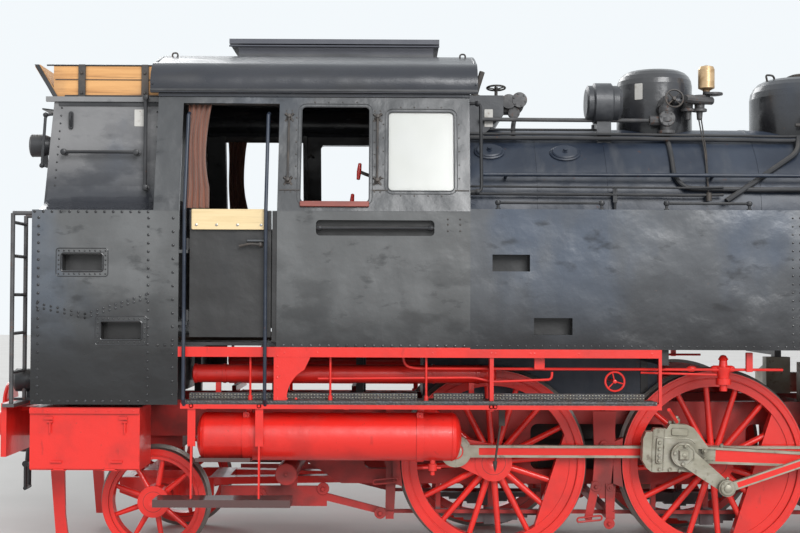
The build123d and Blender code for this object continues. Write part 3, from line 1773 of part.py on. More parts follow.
def cab_ends():
    """Front and rear walls of the cab with their windows."""
    low_in, high_in = body_section(sheet)
    outline = [
        (-low_in, cab_side_bottom),
        (-low_in, belt_z),
        (-high_in, eaves_z),
        (-roof_shoulder_y + 50.0, roof_shoulder_z - 40.0),
        (-600.0, roof_crown - 105.0),
        (600.0, roof_crown - 105.0),
        (roof_shoulder_y - 50.0, roof_shoulder_z - 40.0),
        (high_in, eaves_z),
        (low_in, belt_z),
        (low_in, cab_side_bottom),
    ]
    front = along_x(outline, cab_front - sheet, cab_front)
    front_cut = [
        bar((cab_front - 60.0, 0, boiler_z), (cab_front + 60.0, 0, boiler_z), boiler_radius - 20.0),
        box(cab_front - 60.0, cab_front + 60.0, -690.0, 690.0, cab_side_bottom - 10.0, boiler_z),
    ]
    rear_outline = [(y, max(z, cab_floor_z)) for y, z in outline]
    rear = along_x(rear_outline, cab_rear, cab_rear + sheet)
    rear_cut = [
        box(cab_rear - 20.0, cab_rear + 40.0, -300.0, 300.0, 1900.0, belt_z + 160.0)
    ]
    front_cut += both(
        box(
            cab_front - 40.0, cab_front + 40.0, *front_window_y, end_window_low, end_window_high
        )
    )
    rear_cut += both(
        box(cab_rear - 40.0, cab_rear + 40.0, *rear_window_y, end_window_low, end_window_high)
    )
    return join(front - front_cut, rear - rear_cut)


def cab_floor():
    """Cab floor on its beams."""
    plate = box(
        cab_rear, cab_front - sheet, 60.0 - body_half_width, body_half_width - 60.0,
        cab_floor_z - 24.0, cab_floor_z,
    )
    beams = [
        box(
            x - 30.0, x + 30.0, 14.0 - body_half_width, body_half_width - 14.0,
            cab_beam_bottom, cab_floor_z - 24.0,
        )
        for x in cab_beams_x
    ]
    legs = both(
        *[
            box(x - 30.0, x + 30.0, frame_in_y, frame_out_y, frame_top, cab_beam_bottom)
            for x in cab_beams_x
        ]
    )
    return join(plate, *beams, *legs)


def roof_line(drop):
    """Edges of the roof's arc, lowered by its thickness."""
    half = roof_edge_y - drop
    shoulder_y = roof_shoulder_y - drop * 0.7
    shoulder_z = roof_shoulder_z - drop * 0.8
    crown = roof_crown - drop
    left = (half, roof_edge_z)
    shoulder = (shoulder_y, shoulder_z)
    bulge = (half - 40.0, (roof_edge_z + shoulder_z) / 2.0 + 60.0)
    return left, bulge, shoulder, crown


def roof_face(drop):
    """Closed section of the roof's outline."""
    left, bulge, shoulder, crown = roof_line(drop)

    def p(y, z):
        """Point of the section at the roof's rear."""
        return Vector(roof_rear, y, z)

    edges = [
        Edge.make_three_point_arc(p(*left), p(*bulge), p(*shoulder)),
        Edge.make_three_point_arc(p(*shoulder), p(0, crown), p(-shoulder[0], shoulder[1])),
        Edge.make_three_point_arc(
            p(-shoulder[0], shoulder[1]), p(-bulge[0], bulge[1]), p(-left[0], left[1])
        ),
        Edge.make_line(p(-left[0], left[1]), p(*left)),
    ]
    return Face(Wire(edges))


def cab_roof():
    """Arched roof with gutters and ventilator."""
    length = Vector(roof_front - roof_rear, 0, 0)
    outer = Solid.extrude(roof_face(0.0), length)
    inner = Solid.extrude(roof_face(roof_thickness), length)
    gutters = both(
        box(
            roof_rear, roof_front, roof_edge_y - 40.0, roof_edge_y + 14.0,
            roof_edge_z - 6.0, roof_edge_z + 24.0,
        )
    )
    ledge = both(
        box(
            roof_rear + 60.0, roof_front - 60.0, body_top_half_width - 38.0, roof_edge_y - 20.0,
            eaves_z - 6.0, roof_edge_z + 10.0,
        )
    )
    vent_top = roof_crown + vent_height
    base = box(
        vent_rear + 72.0, vent_front - 49.0, -vent_half_width + 60.0, vent_half_width - 60.0,
        roof_crown - 60.0, vent_top - 60.0,
    )
    vent_length = vent_front - vent_rear
    posts = [
        box(x - 25.0, x + 25.0, -300.0, 300.0, vent_top - 62.0, vent_top - 38.0)
        for x in [vent_rear + vent_length * share for share in (0.1, 0.35, 0.65, 0.9)]
    ]
    lid = box(vent_rear, vent_front, -vent_half_width, vent_half_width, vent_top - 40.0, vent_top)
    shell = join(outer, *gutters, *ledge) - [inner]
    return join(shell, base, *posts, lid)


def cab_door(side):
    """Half-height cab door with wooden top rail."""
    y = door_hinge_y
    rear = door_hinge_x + door_hinge_gap
    front = door_front - 46.0
    panel = box(rear, front, y - 15.0, y + 15.0, cab_floor_z + 42.0, belt_z - 112.0)
    cap = box(rear, front, y - 23.0, y + 23.0, belt_z - 147.0, belt_z)
    pintles = [
        bar((door_hinge_x, y, z), (door_hinge_x, y, z + 90.0), door_pintle_radius)
        for z in door_hinges_z
    ]
    leaves = [
        box(door_hinge_x, rear + 120.0, y - 9.0, y + 9.0, z + 10.0, z + 80.0)
        for z in door_hinges_z
    ]
    handle_z = belt_z - 232.0
    handle = bar((front - 180.0, y + 33.0, handle_z), (front - 40.0, y + 33.0, handle_z), 10.0)
    stem = bar((front - 50.0, y + 10.0, handle_z), (front - 50.0, y + 35.0, handle_z), 9.0)
    return on_side(join(panel, cap, *pintles, *leaves, handle, stem), side)


def cab_windows():
    """Panes in the cab's fixed windows."""
    slope = (body_half_width - body_top_half_width) / (eaves_z - belt_z)
    z0 = 2896.0
    z1 = 3551.0
    y0 = body_half_width - sheet - slope * (z0 - belt_z)
    y1 = body_half_width - sheet - slope * (z1 - belt_z)
    pane = along_x(
        [(y0, z0), (y1, z1), (y1 - pane_thickness, z1), (y0 - pane_thickness, z0)],
        -2671.0,
        -2148.0,
    )
    low = end_window_low - pane_overlap
    high = end_window_high + pane_overlap
    front = box(
        cab_front - sheet - pane_thickness, cab_front - sheet,
        front_window_y[0] - pane_overlap, front_window_y[1] + pane_overlap, low, high,
    )
    rear = box(
        cab_rear + sheet, cab_rear + sheet + pane_thickness,
        rear_window_y[0] - pane_overlap, rear_window_y[1] + pane_overlap, low, high,
    )
    return join(*both(pane, front, rear))


def cab_controls():
    """Regulator, reverser, gauges and brake valve on the backhead."""
    x = backhead_x
    regulator = [
        bar((x - 110.0, -60.0, 3060.0), (x + 10.0, -60.0, 3060.0), 22.0),
        bar((x - 100.0, -60.0, 3060.0), (x - 100.0, -520.0, 3180.0), 13.0),
    ]
    reverser = [
        bar((x - 260.0, -980.0, 2650.0), (cab_front - sheet, -980.0, 2650.0), 22.0),
        turned(
            [(150.0, 0.0), (172.0, 0.0), (172.0, 22.0), (150.0, 22.0)],
            (x - 262.0, -980.0, 2650.0),
            (1, 0, 0),
        ),
        box(x - 258.0, x - 246.0, -1136.0, -824.0, 2641.0, 2659.0),
        box(x - 258.0, x - 246.0, -989.0, -971.0, 2494.0, 2806.0),
        box(x - 180.0, x - 120.0, -1010.0, -950.0, cab_floor_z, 2660.0),
    ]
    gauges = []
    for y, z in ((-240.0, 3300.0), (0.0, 3330.0), (240.0, 3300.0)):
        gauges.append(bar((x - 60.0, y, z), (x + 12.0, y, z), 92.0))
    glasses = [
        bar((x - 40.0, y, 2700.0), (x - 40.0, y, 3000.0), 16.0) for y in (-330.0, 330.0)
    ]
    cocks = [
        bar((x - 44.0, y, z), (x + 10.0, y, z), 20.0)
        for y in (-330.0, 330.0)
        for z in (2710.0, 2990.0)
    ]
    brake = [
        box(cab_front - 240.0, cab_front - sheet, -1240.0, -1160.0, 2580.0, 2660.0),
        bar((cab_front - 200.0, -1200.0, 2650.0), (cab_front - 200.0, -1200.0, 2760.0), 34.0),
        bar((cab_front - 200.0, -1200.0, 2750.0), (cab_front - 330.0, -1110.0, 2756.0), 13.0),
    ]
    return join(*regulator, *reverser, *gauges, *glasses, *cocks, *brake)


def crew_seats():
    """Wooden seats at the cab sides."""
    top = box(
        seat_x - 190.0, seat_x + 190.0, seat_y - 195.0, seat_y + 195.0, seat_top - 40.0, seat_top
    )
    leg = box(
        seat_x - 50.0, seat_x + 50.0, seat_y - 55.0, seat_y + 55.0, cab_floor_z, seat_top - 36.0
    )
    return join(*both(top, leg))


def air_reservoirs():
    """Air reservoirs under the footboards with straps."""
    drum = dished_drum(
        reservoir_rear, reservoir_front, reservoir_y, reservoir_z, reservoir_radius,
        reservoir_dish,
    )
    straps = []
    for x in (reservoir_rear + 410.0, reservoir_front - 318.0):
        straps.append(
            bar(
                (x - 22.0, reservoir_y, reservoir_z), (x + 22.0, reservoir_y, reservoir_z),
                reservoir_radius + 7.0,
            )
        )
        straps.append(
            box(
                x - 22.0, x + 22.0, reservoir_y - 30.0, reservoir_y + 30.0, reservoir_z,
                board_top - 8.0,
            )
        )
    y = board_inner_y + 50.0
    upper = dished_drum(
        board_rear + 34.0, -1800.0, y, upper_tank_z, upper_tank_radius, upper_tank_radius * 0.4
    )
    lugs = [
        box(x - 20.0, x + 20.0, y - 20.0, y + 20.0, board_top - 4.0, upper_tank_z + 15.0)
        for x in (-4000.0, -2000.0)
    ]
    return join(*both(join(drum, *straps), join(upper, *lugs)))


def toolbox():
    """Hollow toolbox under the bunker, open to the side."""
    outer = box(
        toolbox_rear, toolbox_front, -toolbox_outer_y, -toolbox_inner_y,
        toolbox_bottom, toolbox_top,
    )
    inner = box(
        toolbox_rear + toolbox_wall, toolbox_front - toolbox_wall,
        -toolbox_outer_y - 10.0, -toolbox_inner_y - toolbox_wall,
        toolbox_bottom + toolbox_wall, toolbox_top - toolbox_wall,
    )
    arms = [
        box(x, x + 40.0, -toolbox_inner_y, -frame_out_y, toolbox_top - 70.0, toolbox_top - 10.0)
        for x in (-5250.0, -4760.0)
    ]
    hinge_y = -toolbox_outer_y - flap_gap - flap_hinge_radius
    hinge_z = toolbox_bottom + 6.0
    lugs = []
    for x in (-5170.0, -4780.0):
        for s in (-1, 1):
            edge = x + s * (40.0 + seat_gap)
            lugs.append(
                box(
                    min(edge, edge + s * 16.0), max(edge, edge + s * 16.0),
                    hinge_y - flap_hinge_radius, -toolbox_outer_y + 2.0,
                    hinge_z - flap_hinge_radius, hinge_z - 1.0,
                )
            )
    return join(outer - inner, *arms, *lugs)


def toolbox_flap():
    """Drop flap of the toolbox with two latches."""
    y1 = -toolbox_outer_y - flap_gap
    hinge_y = y1 - flap_hinge_radius
    hinge_z = toolbox_bottom + 6.0
    panel = box(
        toolbox_rear, toolbox_front, y1 - toolbox_wall - 2.0, y1, hinge_z + 4.0, toolbox_top
    )
    knuckles = [
        bar((x - 40.0, hinge_y, hinge_z), (x + 40.0, hinge_y, hinge_z), flap_hinge_radius)
        for x in (-5170.0, -4780.0)
    ]
    latches = [
        box(x - 34.0, x + 34.0, y1 - 24.0, y1 - 6.0, toolbox_top - 92.0, toolbox_top - 70.0)
        for x in (-5250.0, -4680.0)
    ]
    return join(panel, *knuckles, *latches)


def lamp(x, y, z, facing):
    """Round headlamp with its stalk."""
    outline = [(0.0, 0.0), (70.0, 0.0), (92.0, 60.0), (92.0, 150.0), (0.0, 150.0)]
    body = turned(outline, (x, y, z), (facing, 0, 0))
    stalk = box(x + facing * 50.0 - 20.0, x + facing * 50.0 + 20.0, y - 20.0, y + 20.0, z - 150.0, z - 40.0)
    return [body, stalk]


def headlamps():
    """Headlamps at both ends on their brackets."""
    pieces = []
    deck = beam_top + 6.0
    for y in (-990.0, 990.0):
        pieces += lamp(beam_x - 120.0, y, deck + 150.0, 1)
        pieces += lamp(-beam_x + 120.0, y, deck + 150.0, -1)
        pieces.append(
            box(-beam_x - beam_thickness, -beam_x + 130.0, y - 60.0, y + 60.0, beam_top - 4.0, deck + 12.0)
        )
    for y in (-900.0, 900.0):
        pieces += lamp(-5400.0, y, 3310.0, -1)
        pieces.append(
            box(-5480.0, coal_rear_high - 20.0, y - 30.0, y + 30.0, 3140.0, 3170.0)
        )
    pieces += lamp(smokebox_front - 20.0, 0.0, boiler_z + smokebox_radius + 140.0, 1)
    pieces.append(
        box(
            smokebox_front - 100.0, smokebox_front + 60.0, -40.0, 40.0,
            boiler_z + smokebox_radius - 20.0, boiler_z + smokebox_radius + 10.0,
        )
    )
    return join(*pieces)


def rear_ladder():
    """Tube ladder at the rear of the bunker."""
    rails = []
    for y in (ladder_inner_y, ladder_outer_y):
        rails.append(bar((ladder_x, y, beam_top - 20.0), (ladder_x, y, ladder_top), ladder_tube))
        rails.append(
            bar((ladder_x, y, ladder_top), (bunker_rear + 10.0, y, ladder_top), ladder_tube)
        )
    rungs = [
        bar((ladder_x, ladder_inner_y, z), (ladder_x, ladder_outer_y, z), ladder_tube - 4.0)
        for z in ladder_rungs_z
    ]
    feet = box(
        -beam_x - 20.0, ladder_x + 30.0, ladder_inner_y - 30.0, ladder_outer_y + 30.0,
        beam_top - 26.0, beam_top,
    )
    return join(*both(join(*rails, *rungs, feet)))


def handrails():
    """Handrails at the doors, tanks and smokebox."""
    pieces = []
    for x in door_rails_x:
        pieces.append(
            tube(
                [
                    (x, body_half_width - 6.0, board_top - 16.0),
                    (x, body_half_width + 40.0, board_top + 30.0),
                    (x, body_half_width + 40.0, belt_z),
                    (x, body_top_half_width + 78.0, 3500.0),
                    (x, body_top_half_width + 26.0, 3520.0),
                ],
                14.0,
            )
        )
    pieces.append(
        bar((-1900.0, boiler_rail_y, boiler_rail_z), (4800.0, boiler_rail_y, boiler_rail_z), 17.0)
    )
    for x in boiler_rail_posts_x:
        pieces.append(
            bar((x, boiler_rail_y, boiler_rail_z), (x, 700.0, boiler_rail_z - 20.0), 13.0)
        )
    return join(*both(*pieces))


nodes = {
    "main_frame": main_frame,
    "frame_stretchers": frame_stretchers,
    "buffer_beams": buffer_beams,
    "buffers": buffers,
    "draw_gear": draw_gear,
    "axle_boxes": axle_boxes,
    "brake_rigging": brake_rigging,
    "running_boards": running_boards,
    "cylinders": cylinders,
    "slide_bars": slide_bars,
    "valve_gear": lambda: join(valve_motion(right_crank_deg, -1), valve_motion(left_crank_deg, 1)),
    "driving_wheelset": lambda: coupled_wheelset(0.0, driving_weight_chord, wheel_pin_end),
    "front_coupled_wheelset": lambda: coupled_wheelset(coupled_spacing, coupled_weight_chord, wheel_pin_end),
    "rear_coupled_wheelset": lambda: coupled_wheelset(-coupled_spacing, coupled_weight_chord, wheel_pin_end),
    "right_coupling_rod": lambda: coupling_rod(right_crank_deg, -1),
    "left_coupling_rod": lambda: coupling_rod(left_crank_deg, 1),
    "right_main_rod": lambda: main_rod(right_crank_deg, -1),
    "left_main_rod": lambda: main_rod(left_crank_deg, 1),
    "right_crosshead": lambda: crosshead(right_crank_deg, -1),
    "left_crosshead": lambda: crosshead(left_crank_deg, 1),
    "leading_wheelset": lambda: carrying_wheelset(leading_x),
    "trailing_wheelset": lambda: carrying_wheelset(trailing_x),
    "leading_truck": lambda: truck_frame(1),
    "trailing_truck": lambda: truck_frame(-1),
    "boiler": boiler,
    "ashpan": ashpan,
    "smokebox": lambda: join(smokebox(), *smokebox_hinges()),
    "smokebox_door": smokebox_door,
    "chimney": chimney,
    "domes": lambda: join(
        dome(steam_dome_x, steam_dome_radius, steam_dome_top, steam_dome_corner),
        dome(sand_dome_x, sand_dome_radius, sand_dome_top, sand_dome_corner),
    ),
    "feedwater_heater": feedwater_heater,
    "boiler_fittings": boiler_fittings,
    "pumps": pumps,
    "side_tanks": side_tanks,
    "right_tank_lid": lambda: tank_lid(-1),
    "left_tank_lid": lambda: tank_lid(1),
    "rear_tank": lower_body,
    "coal_bunker": coal_bunker,
    "bunker_boards": bunker_boards,
    "cab_sides": lambda: join(cab_side(-1), cab_side(1)),
    "cab_end_walls": cab_ends,
    "cab_floor": cab_floor,
    "cab_roof": cab_roof,
    "cab_windows": cab_windows,
    "right_cab_door": lambda: cab_door(-1),
    "left_cab_door": lambda: cab_door(1),
    "cab_controls": cab_controls,
    "crew_seats": crew_seats,
    "air_reservoirs": air_reservoirs,
    "toolbox": toolbox,
    "toolbox_flap": toolbox_flap,
    "headlamps": headlamps,
    "rear_ladders": rear_ladder,
    "handrails": handrails,
}

# Pieces that are cut to fit what they seat on or pass through
seated_on = {
    "frame_stretchers": ["main_frame"],
    "buffer_beams": ["main_frame", "frame_stretchers"],
    "axle_boxes": ["main_frame", "frame_stretchers"],
    "buffers": ["buffer_beams"],
    "draw_gear": ["buffer_beams"],
    "cylinders": ["smokebox", "main_frame", "frame_stretchers"],
    "slide_bars": ["cylinders", "main_frame"],
    "valve_gear": ["cylinders", "slide_bars"],
    "brake_rigging": ["slide_bars", "axle_boxes", "main_frame", "frame_stretchers"],
    "smokebox": ["boiler", "main_frame"],
    "ashpan": ["boiler", "main_frame", "frame_stretchers"],
    "boiler": ["main_frame", "frame_stretchers"],
    "side_tanks": ["boiler", "slide_bars", "main_frame"],
    "running_boards": ["main_frame", "buffer_beams", "boiler", "cylinders", "side_tanks", "smokebox"],
    "boiler_fittings": ["boiler", "cab_end_walls", "domes"],
    "feedwater_heater": ["smokebox"],
    "pumps": ["running_boards", "boiler", "smokebox", "side_tanks"],
    "rear_tank": ["main_frame"],
    "cab_floor": ["boiler", "rear_tank", "main_frame"],
    "cab_end_walls": ["boiler", "cab_floor", "cab_roof", "rear_tank"],
    "cab_sides": ["cab_roof", "cab_end_walls", "cab_floor", "running_boards", "rear_tank"],
    "cab_controls": ["boiler", "cab_floor", "cab_end_walls"],
    "bunker_boards": ["coal_bunker"],
    "toolbox": ["main_frame", "buffer_beams"],
    "rear_ladders": ["main_frame", "buffer_beams", "rear_tank"],
    "air_reservoirs": ["running_boards"],
    "headlamps": ["coal_bunker", "buffer_beams", "rear_ladders", "running_boards", "smokebox"],
    "handrails": ["boiler", "smokebox", "running_boards", "cab_sides"],
}


def fitted(name, done):
    """Piece of that name, cut to fit what it seats on."""
    if name not in done:
        shape = nodes[name]()
        hosts = [fitted(host, done) for host in seated_on.get(name, [])]
        done[name] = join(shape - hosts) if hosts else shape
    return done[name]


pieces_made = {}
for name in nodes:
    export_step(fitted(name, pieces_made), f"parts/{name}.step")
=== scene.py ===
"""Dresses a packed steam tank locomotive: finishes for its solids, and the small fittings that the solids leave out.

Metres throughout: x = 0 on the driving axle and forward, y = 0 on the centreline, z = 0 on the rail head.
"""
import logging
import math
from dataclasses import dataclass, field, replace
from enum import Enum
from typing import Iterable, Mapping, Sequence

import bmesh
import bpy
from mathutils import Matrix, Vector


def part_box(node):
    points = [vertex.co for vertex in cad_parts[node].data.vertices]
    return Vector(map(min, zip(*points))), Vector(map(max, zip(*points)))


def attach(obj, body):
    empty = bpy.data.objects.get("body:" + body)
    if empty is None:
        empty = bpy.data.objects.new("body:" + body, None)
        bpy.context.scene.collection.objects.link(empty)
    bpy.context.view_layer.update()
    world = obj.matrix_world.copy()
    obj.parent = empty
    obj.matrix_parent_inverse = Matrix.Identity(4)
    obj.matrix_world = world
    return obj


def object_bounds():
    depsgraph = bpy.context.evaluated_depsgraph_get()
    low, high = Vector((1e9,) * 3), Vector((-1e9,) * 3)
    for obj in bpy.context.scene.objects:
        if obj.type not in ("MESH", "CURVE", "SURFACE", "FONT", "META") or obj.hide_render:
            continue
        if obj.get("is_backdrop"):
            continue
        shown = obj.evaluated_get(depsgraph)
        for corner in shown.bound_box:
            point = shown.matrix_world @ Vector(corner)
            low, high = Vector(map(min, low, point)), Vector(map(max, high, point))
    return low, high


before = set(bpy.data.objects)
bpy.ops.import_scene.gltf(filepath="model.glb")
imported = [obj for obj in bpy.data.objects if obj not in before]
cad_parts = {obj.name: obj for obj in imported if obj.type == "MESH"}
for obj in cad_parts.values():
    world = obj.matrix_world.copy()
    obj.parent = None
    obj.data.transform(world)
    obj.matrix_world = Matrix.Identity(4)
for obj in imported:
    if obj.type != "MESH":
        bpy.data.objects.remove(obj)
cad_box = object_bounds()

Point = tuple[float, float, float]
Flat = tuple[float, float]
Four = tuple[float, float, float, float]
Profile = tuple[Flat, ...]
Colour = tuple[float, float, float]
Socket = bpy.types.NodeSocket
Tree = bpy.types.NodeTree

UP: Point = (0.0, 0.0, 1.0)
DOWN: Point = (0.0, 0.0, -1.0)
LEFTWARD: Point = (0.0, 1.0, 0.0)
RIGHTWARD: Point = (0.0, -1.0, 0.0)
AHEAD: Point = (1.0, 0.0, 0.0)
ASTERN: Point = (-1.0, 0.0, 0.0)
SHARP_ANGLE = math.radians(32)
SUNK = 0.002
BEND_STEPS = 5
CHAMFER_PULL = 1.3

log = logging.getLogger("locomotive")


class Body(str, Enum):
    """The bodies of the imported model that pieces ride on."""

    LOCOMOTIVE = "locomotive"
    DRIVING_WHEELS = "driving_wheels"
    FRONT_WHEELS = "front_coupled_wheels"
    REAR_WHEELS = "rear_coupled_wheels"
    RIGHT_SIDE_ROD = "right_side_rod"
    LEFT_SIDE_ROD = "left_side_rod"
    RIGHT_PISTON = "right_piston"
    LEFT_PISTON = "left_piston"
    RIGHT_DRIVE_ROD = "right_drive_rod"
    LEFT_DRIVE_ROD = "left_drive_rod"
    LEADING_WHEELS = "leading_wheels"
    TRAILING_WHEELS = "trailing_wheels"
    RIGHT_DOOR = "right_door"
    LEFT_DOOR = "left_door"
    FRONT_DOOR = "front_door"
    BOX_FLAP = "box_flap"


class Side(Enum):
    """The two sides of the locomotive, as the sign of y."""

    RIGHT = -1.0
    LEFT = 1.0

    def at(self, x: float, out: float, z: float) -> Point:
        """The point at x and z that lies out metres from the centreline on this side."""
        return (x, self.value * out, z)

    @property
    def label(self) -> str:
        """The side's name, as the names of its pieces begin."""
        return self.name.lower()

    @property
    def outward(self) -> Point:
        """The direction that points away from the centreline."""
        return (0.0, self.value, 0.0)

    @property
    def right(self) -> Point:
        """The direction to the right of someone who faces this side."""
        return (-self.value, 0.0, 0.0)

    def pick(self, right: Body, left: Body) -> Body:
        """This side's one of two bodies."""
        return right if self is Side.RIGHT else left

    def piece(self, title: str, finish: "Finish", body: Body = Body.LOCOMOTIVE) -> "Piece":
        """An empty piece of this side, whose name begins with the side."""
        return Piece(f"{self.label}_{title}", finish, body)


class Slot(str, Enum):
    """The record's material slots."""

    BODY = "black_body"
    GEAR = "red_running_gear"
    STEEL = "bare_steel"
    WOOD = "pale_wood"
    GLASS = "window_glass"


def add(tree: Tree, kind: str, inputs: Mapping[str | int, object], **settings: str | int) -> bpy.types.ShaderNode:
    """Adds a shader node.

    Args:
        tree: Node tree of the material or world.
        kind: Type of the node, without its ShaderNode.
        inputs: Sockets to link, or values to set, by the input's name or number.
        settings: The node's own options.

    Returns:
        The node.
    """
    made = tree.nodes.new(f"ShaderNode{kind}")
    for name, value in settings.items():
        setattr(made, name, value)
    for key, value in inputs.items():
        if isinstance(value, Socket):
            tree.links.new(value, made.inputs[key])
        else:
            made.inputs[key].default_value = value
    return made


def sums(tree: Tree, operation: str, first: Socket, second: Socket | float) -> Socket:
    """A Math node over two values, the second a socket or a number."""
    return add(tree, "Math", {0: first, 1: second}, operation=operation).outputs[0]


def place(tree: Tree) -> Socket:
    """The point of the surface in the locomotive's own metres."""
    return add(tree, "TexCoord", {}).outputs["Object"]


def part(tree: Tree, vector: Socket, axis: str) -> Socket:
    """One axis of a vector."""
    return add(tree, "SeparateXYZ", {0: vector}).outputs[axis]


def ramp(tree: Tree, value: Socket, low: float, high: float) -> Socket:
    """Value taken smoothly from 0 at low to 1 at high.

    Args:
        tree: Node tree of the material.
        value: Socket to grade.
        low: Value that gives 0.
        high: Value that gives 1.

    Returns:
        The graded socket.
    """
    curve = "SMOOTHSTEP" if high > low else "LINEAR"
    ends = {"Value": value, "From Min": low, "From Max": high}
    return add(tree, "MapRange", ends, interpolation_type=curve).outputs["Result"]


class Mask:
    """Where on a surface a layer shows, from 0 to 1."""

    def build(self, tree: Tree) -> Socket:
        """Adds the nodes of the mask and returns their output."""
        raise NotImplementedError


@dataclass(frozen=True)
class Cloudy(Mask):
    """Noise, stretched along the axes: patches, streaks and specks."""

    scale: float = 3.0
    low: float = 0.45
    high: float = 0.65
    stretch: Point = (1.0, 1.0, 1.0)
    detail: float = 5.0

    def build(self, tree: Tree) -> Socket:
        """Adds the noise and grades it between low and high."""
        return ramp(tree, self.noise(tree), self.low, self.high)

    def noise(self, tree: Tree) -> Socket:
        """The bare noise value."""
        spread = add(tree, "Mapping", {"Vector": place(tree), "Scale": self.stretch}).outputs["Vector"]
        return add(tree, "TexNoise", {"Vector": spread, "Scale": self.scale, "Detail": self.detail}).outputs["Fac"]


@dataclass(frozen=True)
class Upward(Mask):
    """Faces that look up, where dust settles."""

    low: float = 0.3
    high: float = 0.95

    def build(self, tree: Tree) -> Socket:
        """Grades the height part of the surface's normal."""
        return ramp(tree, part(tree, add(tree, "NewGeometry", {}).outputs["Normal"], "Z"), self.low, self.high)


@dataclass(frozen=True)
class Height(Mask):
    """Heights between low, at 0, and high, at 1; either may be the larger."""

    low: float
    high: float

    def build(self, tree: Tree) -> Socket:
        """Grades the height of the point."""
        return ramp(tree, part(tree, place(tree), "Z"), self.low, self.high)


@dataclass(frozen=True)
class Ring(Mask):
    """A ring about a cross axis at x and z, from radius inner to outer."""

    x: float
    z: float
    inner: float
    outer: float
    soft: float = 0.003

    def build(self, tree: Tree) -> Socket:
        """Grades the distance from the axis up at inner and down at outer."""
        squares = [
            sums(tree, "POWER", sums(tree, "SUBTRACT", part(tree, place(tree), axis), centre), 2.0)
            for axis, centre in (("X", self.x), ("Z", self.z))
        ]
        radius = sums(tree, "SQRT", sums(tree, "ADD", *squares), 0.0)
        begins = ramp(tree, radius, self.inner, self.inner + self.soft)
        return sums(tree, "MULTIPLY", begins, ramp(tree, radius, self.outer + self.soft, self.outer))


@dataclass(frozen=True)
class Within(Mask):
    """A box between two corners, with a soft edge, which may lean about a cross axis through its pivot."""

    lowest: Point
    highest: Point
    soft: float = 0.004
    pivot: Flat = (0.0, 0.0)
    tilt: float = 0.0

    def build(self, tree: Tree) -> Socket:
        """Grades the farthest distance out of the box."""
        middle = [(a + b) / 2 for a, b in zip(self.lowest, self.highest)]
        half = [(b - a) / 2 for a, b in zip(self.lowest, self.highest)]
        value = place(tree)
        if self.tilt:
            lean = {"Vector": value, "Center": (self.pivot[0], 0.0, self.pivot[1]), "Angle": self.tilt}
            value = add(tree, "VectorRotate", lean, rotation_type="Y_AXIS").outputs[0]
        for operation, inputs in (("SUBTRACT", {1: middle}), ("ABSOLUTE", {}), ("SUBTRACT", {1: half})):
            value = add(tree, "VectorMath", {0: value} | inputs, operation=operation).outputs[0]
        x, y, z = add(tree, "SeparateXYZ", {0: value}).outputs
        return ramp(tree, sums(tree, "MAXIMUM", sums(tree, "MAXIMUM", x, y), z), self.soft, 0.0)


@dataclass(frozen=True)
class ShadeAndGrime(Mask):
    """Corners and hollows, where grime gathers and where painted shade falls as the surroundings close a point in."""

    reach: float = 0.08
    low: float = 0.85
    high: float = 0.45

    def build(self, tree: Tree) -> Socket:
        """Grades how much the surroundings close a point in."""
        closed = add(tree, "AmbientOcclusion", {"Distance": self.reach}, samples=4)
        return ramp(tree, closed.outputs["AO"], self.low, self.high)


@dataclass(frozen=True)
class Layer:
    """A second tone over a finish, where every one of its masks shows."""

    colour: Colour
    masks: tuple[Mask, ...]
    amount: float = 1.0
    roughness: float | None = None
    metallic: float | None = None

    def cover(self, tree: Tree) -> Socket:
        """The product of the masks and the layer's amount."""
        shown = self.masks[0].build(tree)
        for mask in self.masks[1:]:
            shown = sums(tree, "MULTIPLY", shown, mask.build(tree))
        return sums(tree, "MULTIPLY", shown, self.amount)


@dataclass(frozen=True)
class Relief:
    """Unevenness of a surface: dents, rolling marks, casting skin."""

    scale: float
    depth: float
    stretch: Point = (1.0, 1.0, 1.0)
    detail: float = 2.0


